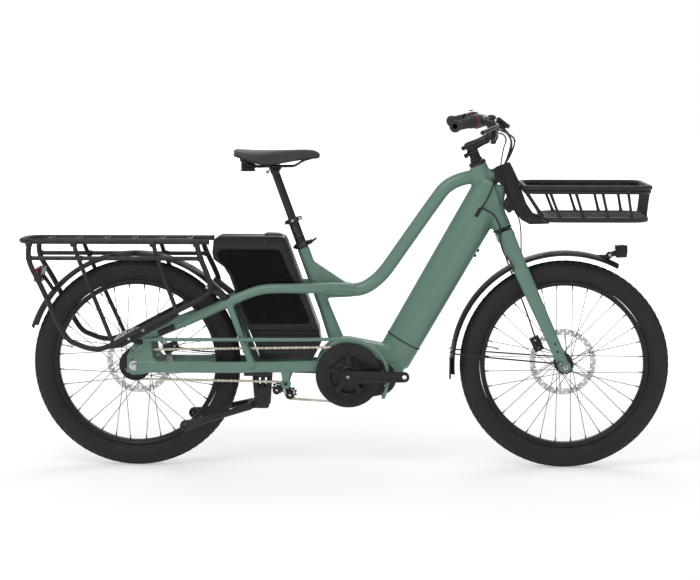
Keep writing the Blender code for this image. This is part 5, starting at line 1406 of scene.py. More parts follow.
class BICYCLE_OT_battery(Operator):
    """The battery's cover with recessed panels, a carrying handle and a key lock"""
    bl_idname = "bicycle.battery"
    bl_label = "Battery"

    def execute(self, context):
        cover = slab(BATTERY_OUTLINE, BATTERY_WIDTH, 0.0, 0.0)
        recesses = [slab(BATTERY_PANEL, 0.009, sign * BATTERY_WIDTH / 2, 0.0) for sign in (1, -1)]
        round_edges(cover, 0.017, 7)
        cover = rounded(cut(cover, recesses), 0.0022, 3, 30.0)
        panels = [slab([(-0.245 + (x + 0.245) * 0.972, 0.556 + (z - 0.556) * 0.975)
                        for x, z in BATTERY_PANEL], 0.0012, sign * (BATTERY_WIDTH / 2 - 0.004), 0.0004, 1)
                  for sign in (1, -1)]
        finish(joined([cover]), "battery_cover", "battery_body", "moulded plastic", ["battery"])
        finish(joined(panels), "battery_panels", "battery_body", "gloss plastic")
        ribs = []
        for z, inset in ((0.432, 0.0), (0.427, 0.004)):
            low_x = -0.29 + (z - 0.436) * -0.4
            high_x = -0.086 - (z - 0.436) * 0.36
            ribs.append(block((high_x - low_x - inset, BATTERY_WIDTH + 0.0024, 0.003),
                              ((high_x + low_x) / 2, 0.0, z), bevel=0.0012))
        finish(joined(ribs), "battery_ribs", "battery_body", "moulded plastic")
        route = smooth_route([(-0.24, 0.0, 0.706), (-0.234, 0.0, 0.7118), (-0.22, 0.0, 0.7122),
                              (-0.196, 0.0, 0.7112), (-0.186, 0.0, 0.707)], 5)
        grip = tube(route, 0.003, 14)
        grip.data.transform(Matrix.Diagonal((1.0, 7.5, 1.0, 1.0)))
        finish(grip, "battery_handle", "battery_body", "moulded plastic")
        lock_at = Vector((-0.233, -BATTERY_WIDTH / 2 + 0.001, 0.69))
        lock = turned([(0.0, -0.0012), (0.0062, -0.0012), (0.007, -0.0004), (0.007, 0.002), (0.0, 0.002)],
                      lock_at, 36)
        cut(lock, [block((0.0016, 0.003, 0.0066), lock_at - ACROSS * 0.0012, bevel=0.0)])
        finish(lock, "battery_lock", "battery_body", "anodised alloy")
        return {"FINISHED"}


class BICYCLE_OT_battery_dock(Operator):
    """The dock under the battery, with a stepped side and a drain edge"""
    bl_idname = "bicycle.battery_dock"
    bl_label = "Battery dock"

    def execute(self, context):
        base = slab(DOCK_OUTLINE, DOCK_WIDTH, 0.0, 0.0)
        grooves = []
        for z in (0.409, 0.398):
            for sign in (1, -1):
                grooves.append(block((0.24, 0.004, 0.0026), (-0.18, sign * DOCK_WIDTH / 2, z), bevel=0.0))
        base = rounded(cut(base, grooves), 0.0016, 2, 30.0)
        skirt = slab([(-0.1, 0.39), (-0.106, 0.346), (-0.244, 0.346), (-0.258, 0.39)],
                     DOCK_WIDTH + 0.003, 0.0, 0.004, 3)
        finish(joined([base, skirt]), "battery_dock_base", "frame_body", "moulded plastic",
               ["battery_dock"])
        return {"FINISHED"}


class BICYCLE_OT_motor(Operator):
    """The motor in its cradle, with a round side cover, ribs and screws on each side"""
    bl_idname = "bicycle.motor"
    bl_label = "Motor"

    def execute(self, context):
        core = slab(hull_outline(MOTOR, 24), MOTOR_WIDTH, 0.0, 0.006, 4)
        pieces = [core]
        for sign in (1, -1):
            face = sign * MOTOR_WIDTH / 2
            rise = -1.0 if sign < 0 else 1.0
            low, high = face - rise * 0.004, face - rise * 0.0002
            pieces.append(turned([(0.0135, low), (0.076, low), (0.076, high), (0.0735, high + rise * 0.001),
                                  (0.06, high + rise * 0.001), (0.058, high), (0.04, high),
                                  (0.038, high + rise * 0.001), (0.0135, high + rise * 0.001)],
                                 CRANK_AXLE, 96))
        finish(joined(pieces), "motor_casing", "frame_body", "powder coat", ["motor"])
        screws = []
        for sign in (1, -1):
            spot = CRANK_AXLE + Vector((0.0668, sign * (MOTOR_WIDTH / 2 + 0.0004), 0.0))
            screws.append(repeated(bolt(spot, ACROSS * sign, 0.003, 0.002),
                                   round_the(CRANK_AXLE, 6, start=0.35)))
            screws.append(bolt((0.118, sign * MOTOR_WIDTH / 2, 0.296), ACROSS * sign, 0.0046, 0.003))
            screws.append(bolt((0.128, sign * MOTOR_WIDTH / 2, 0.254), ACROSS * sign, 0.0046, 0.003))
        finish(joined(screws), "motor_screws", "frame_body", "brushed steel")
        return {"FINISHED"}


def toothed(centre, pitch_radius, teeth, depth, thickness, y, bore):
    """A sprocket with rounded teeth about an axle."""
    outline = []
    for tooth in range(teeth):
        for share, radius in ((0.0, pitch_radius - depth), (0.18, pitch_radius - depth * 0.85),
                              (0.38, pitch_radius + depth * 0.35), (0.5, pitch_radius + depth * 0.55),
                              (0.62, pitch_radius + depth * 0.35), (0.82, pitch_radius - depth * 0.85)):
            angle = math.tau * (tooth + share) / teeth
            outline.append((centre.x + radius * math.cos(angle), centre.z + radius * math.sin(angle)))
    wheel = slab(outline, thickness, y, 0.0)
    hole = bar((centre.x, y - 0.02, centre.z), (centre.x, y + 0.02, centre.z), bore, sides=64)
    return cut(wheel, [hole])


class BICYCLE_OT_chainring(Operator):
    """A toothed ring on a five-armed spider, behind a flat guard ring"""
    bl_idname = "bicycle.chainring"
    bl_label = "Chainring and guard"

    def execute(self, context):
        centre = CRANK_AXLE
        ring = toothed(centre, RING_PITCH, RING_TEETH, 0.0042, 0.0022, CHAIN_Y, 0.0685)
        finish(ring, "chainring_teeth", "crank_body", "anodised alloy", ["chainring"])
        guard_y = CHAIN_Y - 0.007
        guard = turned([(0.064, guard_y - 0.0012), (0.0655, guard_y - 0.0019), (0.0975, guard_y - 0.0019),
                        (0.099, guard_y - 0.0008), (0.099, guard_y + 0.0012), (0.097, guard_y + 0.0019),
                        (0.064, guard_y + 0.0019)], centre, 128)
        finish(guard, "chain_guard_ring", "crank_body", "moulded plastic")
        arms = [turned([(0.056, CHAIN_Y - 0.0044), (0.0572, CHAIN_Y - 0.0052), (0.069, CHAIN_Y - 0.0052),
                        (0.07, CHAIN_Y - 0.0044), (0.07, CHAIN_Y - 0.0012), (0.056, CHAIN_Y - 0.0012)],
                       centre, 96)]
        arm_outline = [(0.018, -0.013), (0.03, -0.0105), (0.05, -0.0085), (0.062, -0.0115),
                       (0.071, -0.0125),
                       (0.074, -0.008), (0.075, 0.0), (0.074, 0.008), (0.071, 0.0125),
                       (0.062, 0.0115), (0.05, 0.0085), (0.03, 0.0105), (0.018, 0.013)]
        arm = slab([(centre.x + x, centre.z + z) for x, z in arm_outline], 0.0052, CHAIN_Y - 0.0035, 0.0014,
                   2)
        turns = round_the(centre, 5, start=math.radians(-90))
        arms.append(repeated(arm, turns))
        arms.append(turned([(0.0128, CHAIN_Y - 0.016), (0.02, CHAIN_Y - 0.016), (0.0215, CHAIN_Y - 0.0145),
                            (0.023, CHAIN_Y - 0.008), (0.027, CHAIN_Y - 0.0062), (0.027, CHAIN_Y - 0.001),
                            (0.0128, CHAIN_Y - 0.001)], centre, 72))
        finish(joined(arms), "ring_spider", "crank_body", "anodised alloy")
        spot = centre + Vector((0.069, CHAIN_Y - 0.0088, 0.0))
        studs = repeated(bolt(spot, -ACROSS, 0.0036, 0.0018), turns)
        finish(studs, "ring_bolts", "crank_body", "anodised alloy")
        return {"FINISHED"}


class BICYCLE_OT_cranks(Operator):
    """Both crank arms with a recessed face, threaded pedal eyes, and the bolts of the spindle"""
    bl_idname = "bicycle.cranks"
    bl_label = "Cranks"

    def execute(self, context):
        length = 0.17
        for side, sign, direction in (("left", 1, -1), ("right", -1, 1)):
            y = sign * 0.094
            out = sign * 0.007
            end = Vector((CRANK_AXLE.x + direction * length, y, CRANK_AXLE.z))
            centres = ((CRANK_AXLE.x, CRANK_AXLE.z, 0.019), (end.x, end.z, 0.0152))
            arm = slab(hull_outline(centres, 20), 0.014, y, 0.0)
            inner = ((CRANK_AXLE.x + direction * 0.028, CRANK_AXLE.z, 0.0095),
                     (end.x - direction * 0.03, end.z, 0.007))
            hollow = slab(hull_outline(inner, 14), 0.003, y + out, 0.0)
            eye = bar(end - ACROSS * 0.02, end + ACROSS * 0.02, 0.0068, sides=40)
            boss = bar((CRANK_AXLE.x, y - 0.02, CRANK_AXLE.z), (CRANK_AXLE.x, y + 0.02, CRANK_AXLE.z),
                       0.0122, sides=48)
            arm = cut(arm, [hollow, eye, boss])
            arm = rounded(arm, 0.0018, 3, 40.0)
            finish(arm, "crank_arm_" + side, "crank_body", "anodised alloy", ["crank_" + side])
            thread = turned([(0.0062, -0.0062), (0.007, -0.0062), (0.007, 0.0062), (0.0062, 0.0062)]
                            + [(0.0062 + 0.0004 * (n % 2), 0.0056 - 0.0012 * n) for n in range(10)], end,
                            40)
            finish(thread, "pedal_thread_" + side, "crank_body", "brushed steel")
            hub = Vector((CRANK_AXLE.x, y, CRANK_AXLE.z))
            cap = turned([(0.0, sign * 0.003), (0.005, sign * 0.003), (0.0052, sign * 0.0058),
                          (0.01, sign * 0.0064), (0.0116, sign * 0.0056), (0.0121, sign * 0.003),
                          (0.0121, -sign * 0.006), (0.0, -sign * 0.006)], hub, 48)
            finish(cap, "spindle_end_" + side, "crank_body", "anodised alloy")
            socket = turned([(0.0, sign * 0.0034), (0.002, sign * 0.0034), (0.0024, sign * 0.006),
                             (0.0046, sign * 0.0064), (0.005, sign * 0.0052), (0.005, sign * 0.003),
                             (0.0, sign * 0.003)], hub, 6)
            finish(socket, "crank_bolt_" + side, "crank_body", "brushed steel")
        spindle = bar((CRANK_AXLE.x, -0.086, CRANK_AXLE.z), (CRANK_AXLE.x, 0.086, CRANK_AXLE.z), 0.012,
                      sides=48)
        finish(spindle, "spindle", "crank_body", "brushed steel")
        return {"FINISHED"}


def arc(centre, radius, start, end, steps):
    """Points of an arc in the chain's plane, with angles in degrees from +X towards +Z."""
    angles = [math.radians(start + (end - start) * step / steps) for step in range(steps + 1)]
    return [Vector((centre.x + radius * math.cos(a), CHAIN_Y, centre.z + radius * math.sin(a)))
            for a in angles]


def chain_path():
    """Over the cog and the ring, back under the ring, below the front pulley and above the rear one."""
    rear, front = PULLEYS[0][1], PULLEYS[1][1]
    route = arc(REAR_AXLE, COG_PITCH, 266, 91, 30) + arc(CRANK_AXLE, RING_PITCH, 91, -92, 44)
    span = Vector((front.x - rear.x, front.z - rear.z))
    crossing = math.degrees(math.atan2(span.y, span.x) + math.acos(2 * PULLEY_PITCH / span.length))
    route += arc(front, PULLEY_PITCH, -92, crossing - 180, 12)
    route += arc(rear, PULLEY_PITCH, crossing, 92, 12)
    return route + [route[0]]


def along(path, distance):
    """The point at a distance along a path."""
    for start, end in zip(path, path[1:]):
        step = (end - start).length
        if distance <= step:
            return start.lerp(end, distance / step) if step else start
        distance -= step
    return path[-1]


def link(outer):
    """One link along +X: two waisted plates and a roller at the origin."""
    half = LINK_PITCH / 2
    y = 0.003 if outer else 0.0021
    waist = [(-half - 0.0036, 0.0), (-half - 0.0026, 0.003), (-half, 0.004), (0.0, 0.0024),
             (half, 0.004), (half + 0.0026, 0.003), (half + 0.0036, 0.0)]
    outline = waist + [(x, -z) for x, z in reversed(waist[1:-1])]
    pieces = [slab(outline, 0.0009, side * y, 0.0) for side in (1, -1)]
    pieces.append(bar((-half, -0.0038 if outer else -0.0018, 0.0),
                      (-half, 0.0038 if outer else 0.0018, 0.0),
                      0.0018 if outer else 0.003, sides=8))
    pieces.append(bar((half, -0.0018, 0.0), (half, 0.0018, 0.0), 0.003, sides=8))
    return joined(pieces)


class BICYCLE_OT_chain(Operator):
    """A roller chain of alternate outer and inner links laid along its path"""
    bl_idname = "bicycle.chain"
    bl_label = "Chain"

    def execute(self, context):
        path = chain_path()
        total = sum((end - start).length for start, end in zip(path, path[1:]))
        count = 2 * round(total / LINK_PITCH / 2)
        pitch = total / count
        pins = [along(path, pitch * number) for number in range(count)]
        for parity, name in ((0, "chain_outer_links"), (1, "chain_inner_links")):
            turns = []
            for number in range(parity, count, 2):
                start, end = pins[number], pins[(number + 1) % count]
                lean = math.atan2(-(end.z - start.z), end.x - start.x)
                turns.append(Matrix.Translation((start + end) / 2) @ Matrix.Rotation(lean, 4, "Y"))
            finish(repeated(link(parity == 0), turns), name, "frame_body", "chain steel", ["chain"])
        return {"FINISHED"}


class BICYCLE_OT_rear_cog(Operator):
    """The rear sprocket, its carrier and the outer cover disc"""
    bl_idname = "bicycle.rear_cog"
    bl_label = "Rear sprocket"

    def execute(self, context):
        teeth = toothed(REAR_AXLE, COG_PITCH, COG_TEETH, 0.004, 0.0021, CHAIN_Y, 0.02)
        carrier = turned([(0.009, CHAIN_Y - 0.0055), (0.019, CHAIN_Y - 0.0055), (0.0215, CHAIN_Y - 0.002),
                          (0.0215, CHAIN_Y + 0.0095), (0.009, CHAIN_Y + 0.0095)], REAR_AXLE, 64)
        finish(joined([teeth, carrier]), "sprocket", "cog_body", "chain steel", ["rear_cog"])
        disc = turned([(0.01, CHAIN_Y - 0.0078), (0.018, CHAIN_Y - 0.0082), (0.02, CHAIN_Y - 0.007),
                       (0.044, CHAIN_Y - 0.0066), (0.047, CHAIN_Y - 0.0075), (0.0488, CHAIN_Y - 0.0072),
                       (0.049, CHAIN_Y - 0.0052), (0.01, CHAIN_Y - 0.0052)], REAR_AXLE, 96)
        slots = []
        for n in range(4):
            angle = math.tau * (n + 0.4) / 4
            spot = REAR_AXLE + Vector((0.033 * math.cos(angle), CHAIN_Y - 0.006, 0.033 * math.sin(angle)))
            slots.append(block((0.018, 0.01, 0.004), spot, bevel=0.0015, pitch=math.pi / 2 - angle))
        finish(cut(disc, slots), "sprocket_cover", "cog_body", "moulded plastic")
        for name, sign in (("right", -1), ("left", 1)):
            end = REAR_AXLE + ACROSS * sign * (STAY_Y + 0.0052)
            washer = turned([(0.0078, 0.0), (0.015, 0.0), (0.0156, sign * 0.0008), (0.015, sign * 0.002),
                             (0.0078, sign * 0.002)], end, 48)
            nut = bar(end + ACROSS * sign * 0.002, end + ACROSS * sign * 0.0084, 0.0108, 0.0098, sides=6,
                      bevel=0.001)
            finish(joined([washer, nut]), "rear_axle_nut_" + name, "frame_body", "brushed steel")
        return {"FINISHED"}


class BICYCLE_OT_tensioner(Operator):
    """The sprung arm and its two toothed pulleys"""
    bl_idname = "bicycle.tensioner"
    bl_label = "Chain tensioner"

    def execute(self, context):
        hinge = joint_place("tensioner_swing")
        rear, front = PULLEYS[0][1], PULLEYS[1][1]
        cage = slab(hull_outline(((rear.x, rear.z, 0.0085), (front.x, front.z, 0.0085)), 14), 0.0028,
                    hinge.y,
                    0.0006, 1)
        lever = slab(hull_outline(((hinge.x, hinge.z, 0.011), (-0.178, 0.24, 0.0085)), 14), 0.0032,
                     hinge.y + 0.0012, 0.0008, 1)
        barrel = turned([(0.0044, -0.002), (0.0098, -0.002), (0.0102, -0.0006), (0.0102, 0.003),
                         (0.0044, 0.003)], hinge, 40)
        finish(joined([cage, lever, barrel]), "tensioner_cage", "tensioner_body", "anodised alloy",
               ["tensioner_arm"])
        pin = bolt(hinge - ACROSS * 0.0022, -ACROSS, 0.005, 0.003)
        finish(pin, "tensioner_pin", "frame_body", "anodised alloy")
        for name, centre in PULLEYS:
            wheel = toothed(centre, PULLEY_PITCH - 0.0008, PULLEY_TEETH, 0.003, 0.0024, CHAIN_Y, 0.011)
            rim = turned([(0.0088, CHAIN_Y - 0.0034), (0.0118, CHAIN_Y - 0.0034),
                          (0.0126, CHAIN_Y - 0.0024),
                          (0.0126, CHAIN_Y + 0.0024), (0.0118, CHAIN_Y + 0.0034),
                          (0.0088, CHAIN_Y + 0.0034)],
                         centre, 48)
            finish(joined([wheel, rim]), "pulley_" + name, "pulley_" + name + "_body", "moulded plastic",
                   ["tensioner_pulley_" + name])
            bearing = turned([(0.0034, CHAIN_Y - 0.003), (0.0046, CHAIN_Y - 0.0034),
                              (0.0056, CHAIN_Y - 0.0028), (0.0062, CHAIN_Y - 0.0028),
                              (0.0066, CHAIN_Y - 0.002), (0.0088, CHAIN_Y - 0.002),
                              (0.0088, CHAIN_Y + 0.003), (0.0034, CHAIN_Y + 0.003)], centre, 48)
            finish(bearing, "pulley_bearing_" + name, "pulley_" + name + "_body", "anodised alloy")
            screw = bolt((centre.x, CHAIN_Y - 0.0032, centre.z), -ACROSS, 0.0042, 0.0026)
            finish(screw, "pulley_bolt_" + name, "tensioner_body", "brushed steel")
        return {"FINISHED"}


# twelve turns of the return spring, in radians
SPRING_SWEEP = 75.4


class BICYCLE_OT_stand(Operator):
    """The two-legged centre stand, its springs and its mount between the chainstays"""
    bl_idname = "bicycle.stand"
    bl_label = "Centre stand"

    def execute(self, context):
        hinge = joint_place("stand_swing")
        x, z = hinge.x, hinge.z
        bar_x, bar_z = x - 0.0407, z - 0.0105
        arm = slab(hull_outline(((x, z, 0.015), (bar_x, bar_z, 0.011)), 14), 0.059, 0.0, 0.0035, 3)
        cross = bar((bar_x, -0.06, bar_z), (bar_x, 0.06, bar_z), 0.01, sides=28, bevel=0.0025)
        pieces = [arm, cross]
        feet = []
        for sign in (1, -1):
            foot = Vector((-0.4607, sign * 0.12, 0.1433))
            knee = (bar_x - 0.03, sign * 0.062, bar_z - 0.008)
            pieces.append(tube(smooth_route([(bar_x, sign * 0.05, bar_z), knee, foot], 8), 0.0092, 20,
                               radii=[1.15 - 0.15 * n / 16 for n in range(17)]))
            heel = Vector((foot.x + 0.04, sign * 0.106, foot.z + 0.009))
            toe = Vector((foot.x - 0.012, foot.y, foot.z - 0.003))
            pad = turned([(0.0, 0.0), (0.0105, 0.0), (0.012, 0.004), (0.0128, 0.02), (0.014, 0.034),
                          (0.016, 0.044), (0.0164, 0.05), (0.015, (toe - heel).length),
                          (0.0, (toe - heel).length)], heel, 40, toe - heel)
            feet.append(pad)
            ring = turned([(0.007, -0.0035), (0.0095, -0.006), (0.015, -0.006), (0.0172, -0.003),
                           (0.0172, 0.003), (0.015, 0.006), (0.0095, 0.006), (0.007, 0.0035)],
                          toe, 40)
            feet.append(ring)
        finish(joined(pieces), "stand_legs", "stand_body", "powder coat", ["centre_stand"])
        finish(joined(feet), "stand_feet", "stand_body", "grip rubber")
        saddle_plate = block((0.078, 2 * STAY_Y + 0.014, 0.008), (-0.261, 0.0, 0.2903), bevel=0.0015)
        cheeks = []
        for sign in (1, -1):
            cheek = slab([(-0.278, 0.292), (-0.274, 0.23), (-0.27, 0.186), (-0.264, 0.181), (-0.232, 0.181),
                          (-0.227, 0.186), (-0.224, 0.24), (-0.22, 0.292)], 0.006, sign * 0.0345, 0.0)
            window = [slab([(-0.264, 0.276), (-0.262, 0.246), (-0.252, 0.246), (-0.252, 0.276)], 0.02,
                           sign * 0.0345, 0.0),
                      slab([(-0.244, 0.276), (-0.244, 0.246), (-0.235, 0.246), (-0.233, 0.276)], 0.02,
                           sign * 0.0345, 0.0)]
            cheeks.append(rounded(cut(cheek, window), 0.0014, 2, 35.0))
            cheeks.append(turned([(0.0, 0.0), (0.015, 0.0), (0.0155, sign * 0.001), (0.014, sign * 0.003),
                                  (0.0, sign * 0.003)], (x, sign * 0.0375, z), 36))
        pin = bar((x, -0.042, z), (x, 0.042, z), 0.006, sides=24, bevel=0.001)
        finish(joined([saddle_plate, pin] + cheeks), "stand_bracket", "frame_body", "powder coat",
               ["stand_mount"])
        coils = [Vector((x + 0.006 - 0.005 * math.cos(a) - a / SPRING_SWEEP * 0.02,
                         0.05 + 0.005 * math.sin(a) * 0.6,
                         0.242 - a / SPRING_SWEEP * 0.03 + 0.004 * math.sin(a)))
                 for a in (math.tau * n / 10 for n in range(121))]
        finish(tube(coils, 0.0009, 6), "stand_spring", "frame_body", "brushed steel")
        return {"FINISHED"}


# ---------------------------------------------------------------- seat

POST_RADIUS = 0.0155
INNER_POST_RADIUS = 0.0125
POST_COLLAR = 0.094
POST_INSERT = 0.145
INNER_POST_INSERT = 0.075
INNER_POST_REACH = 0.148
SEAT_TUBE_TOP = Vector((-0.1253, 0.0, 0.67))
SEAT_FORWARD = Vector((SEAT_UP.z, 0.0, -SEAT_UP.x))
SEAT_TILT = math.radians(-20)


def seat_point(height, forward=0.0, y=0.0):
    """A point by the seat tube's axis, at a height above its top end."""
    return SEAT_TUBE_TOP + SEAT_UP * height + SEAT_FORWARD * forward + ACROSS * y


def sleeve(low, high, radius, bore, edge=0.0008):
    """A bored round sleeve with eased ends."""
    length = (high - low).length
    profile = [(bore, 0.0), (radius - edge, 0.0), (radius, edge), (radius, length - edge),
               (radius - edge, length), (bore, length)]
    return turned(profile, low, 48, high - low)


class BICYCLE_OT_seatpost(Operator):
    """The clamp, the lower post with its collar, and the inner post with its head and rails"""
    bl_idname = "bicycle.seatpost"
    bl_label = "Seat post"

    def execute(self, context):
        band = sleeve(seat_point(0.0006), seat_point(0.0158), 0.0222, POST_RADIUS + 0.0003, 0.0012)
        ears = block((0.016, 0.018, 0.013), seat_point(0.0082, 0.0255), SEAT_TILT, bevel=0.002)
        slit = block((0.03, 0.0016, 0.03), seat_point(0.0082, 0.028), SEAT_TILT, bevel=0.0)
        ears = cut(ears, [slit])
        knob = bar(seat_point(0.0082, -0.0215), seat_point(0.0082, -0.0275), 0.005, 0.0042, sides=24,
                   bevel=0.001)
        finish(joined([band, ears, knob]), "seat_clamp_band", "frame_body", "anodised alloy",
               ["seat_clamp"])
        pivot_at = seat_point(0.0088, 0.027)
        pin = bar(pivot_at - ACROSS * 0.015, pivot_at + ACROSS * 0.015, 0.0035, sides=20, bevel=0.0008)
        blade_route = [pivot_at - ACROSS * 0.013, seat_point(0.01, 0.037, -0.017),
                       seat_point(0.011, 0.043, -0.012), seat_point(0.0115, 0.046, 0.004),
                       seat_point(0.0115, 0.044, 0.02)]
        lever = tube(smooth_route(blade_route, 6), 0.0036, 14)
        finish(joined([pin, lever]), "seat_quick_lever", "frame_body", "anodised alloy")
        lower = sleeve(seat_point(-POST_INSERT), seat_point(POST_COLLAR - 0.013), POST_RADIUS,
                       INNER_POST_RADIUS + 0.0003)
        collar = sleeve(seat_point(POST_COLLAR - 0.0145), seat_point(POST_COLLAR), 0.0194,
                        INNER_POST_RADIUS + 0.0003, 0.0016)
        lug = block((0.014, 0.016, 0.0115), seat_point(POST_COLLAR - 0.0072, 0.0215), SEAT_TILT,
                    bevel=0.002)
        heel = block((0.012, 0.014, 0.011), seat_point(POST_COLLAR - 0.0072, -0.02), SEAT_TILT,
                     bevel=0.002)
        finish(joined([lower, collar, lug, heel]), "lower_post", "post_lower_body", "anodised alloy",
               ["seatpost_lower"])
        collar_bolt = joined([bolt(seat_point(POST_COLLAR - 0.0072, 0.0225, -0.0078), -ACROSS, 0.0042,
                                   0.0036),
                              bolt(seat_point(POST_COLLAR - 0.0072, 0.0, -0.0188), -ACROSS, 0.0038,
                                   0.0026)])
        finish(collar_bolt, "collar_bolts", "post_lower_body", "brushed steel")
        top = seat_point(POST_COLLAR + INNER_POST_REACH)
        inner = tube([seat_point(POST_COLLAR - INNER_POST_INSERT), seat_point(POST_COLLAR + 0.02),
                      seat_point(POST_COLLAR + INNER_POST_REACH - 0.012), top], INNER_POST_RADIUS, 40,
                     radii=[1.0, 1.0, 1.0, 0.96])
        cradle_low = bar(top - ACROSS * 0.019 + UP * 0.004, top + ACROSS * 0.019 + UP * 0.004, 0.0135,
                         sides=40,
                         bevel=0.002)
        plate_low = block((0.036, 0.04, 0.0065), top + UP * 0.012, math.radians(4), bevel=0.0018)
        plate_high = block((0.032, 0.04, 0.006), top + UP * 0.02, math.radians(4), bevel=0.0018)
        pieces = [inner, cradle_low, plate_low, plate_high]
        for sign in (1, -1):
            pieces.append(bar(top + ACROSS * sign * 0.019 + UP * 0.004,
                              top + ACROSS * sign * 0.0225 + UP * 0.004,
                              0.0095, 0.0085, sides=36, bevel=0.001))
        finish(joined(pieces), "upper_post", "post_upper_body", "anodised alloy", ["seatpost_upper"])
        rails = []
        for sign in (1, -1):
            route = [(-0.098, sign * 0.008, 0.94), (-0.122, sign * 0.011, 0.933),
                     (-0.148, sign * 0.017, 0.918),
                     (-0.17, sign * 0.021, 0.916), (-0.23, sign * 0.021, 0.9155),
                     (-0.262, sign * 0.023, 0.915),
                     (-0.288, sign * 0.032, 0.922), (-0.304, sign * 0.04, 0.935)]
            rails.append(tube(smooth_route([Vector(point) for point in route], 6), 0.0035, 16))
        finish(joined(rails), "saddle_rails", "post_upper_body", "anodised alloy")
        bolts = [bolt(top + UP * 0.0235 + Vector((0.0115, 0.0, 0.0)), UP, 0.0038, 0.003)]
        nut = bar(top + Vector((-0.02, 0.0, 0.003)), top + Vector((-0.027, 0.0, -0.004)), 0.0048,
                  sides=20, bevel=0.001)
        stem_bolt = bar(top + Vector((-0.0115, 0.0, 0.012)), top + Vector((-0.024, 0.0, -0.001)), 0.0024,
                        sides=14)
        finish(joined(bolts + [nut, stem_bolt]), "post_head_bolts", "post_upper_body", "brushed steel")
        return {"FINISHED"}


SADDLE_SECTIONS = [
    # x, half width, crown, wing tip height, skirt height, skirt half width
    (-0.331, 0.03, 0.9655, 0.96, 0.95, 0.03),
    (-0.327, 0.052, 0.9668, 0.959, 0.946, 0.052),
    (-0.318, 0.07, 0.9668, 0.9565, 0.944, 0.071),
    (-0.302, 0.082, 0.966, 0.953, 0.94, 0.084),
    (-0.28, 0.086, 0.965, 0.948, 0.932, 0.088),
    (-0.255, 0.08, 0.9645, 0.944, 0.924, 0.081),
    (-0.23, 0.066, 0.9645, 0.943, 0.92, 0.066),
    (-0.205, 0.05, 0.965, 0.946, 0.922, 0.05),
    (-0.18, 0.038, 0.9655, 0.95, 0.926, 0.037),
    (-0.15, 0.029, 0.9662, 0.954, 0.931, 0.027),
    (-0.12, 0.024, 0.9668, 0.957, 0.935, 0.022),
    (-0.098, 0.021, 0.966, 0.957, 0.9375, 0.019),
    (-0.083, 0.017, 0.962, 0.954, 0.939, 0.014),
    (-0.075, 0.01, 0.956, 0.95, 0.941, 0.008),
]


def saddle_ring(x, half, crown, wing, skirt, skirt_half):
    """One cross section, from the channel in the middle, over the wing, down the skirt and back below."""
    dip = 0.0026 if -0.315 < x < -0.12 else 0.0008
    right = [(0.0, crown - dip), (half * 0.22, crown - dip * 0.5), (half * 0.46, crown),
             (half * 0.72, crown - (crown - wing) * 0.22), (half * 0.93, crown - (crown - wing) * 0.62),
             (half, wing - 0.003), (half * 0.5 + skirt_half * 0.5, (wing + skirt) / 2),
             (skirt_half, skirt + 0.003), (skirt_half - 0.003, skirt), (skirt_half - 0.006, skirt + 0.0035),
             (skirt_half * 0.72, max(skirt + 0.008, wing - 0.012)),
             (skirt_half * 0.34, max(skirt + 0.01, wing - 0.009))]
    left = [(-y, z) for y, z in reversed(right[1:])]
    return [Vector((x, y, z)) for y, z in right + [(0.0, right[-1][1])] + left]


# the padding's edge is held below this height, and no point of it moves further than the limit
PADDING_LOW = 0.945
PADDING_LIMIT = 0.003
PADDING_FRAMES = 14
SPRING_BLOCK_RIBS = 4


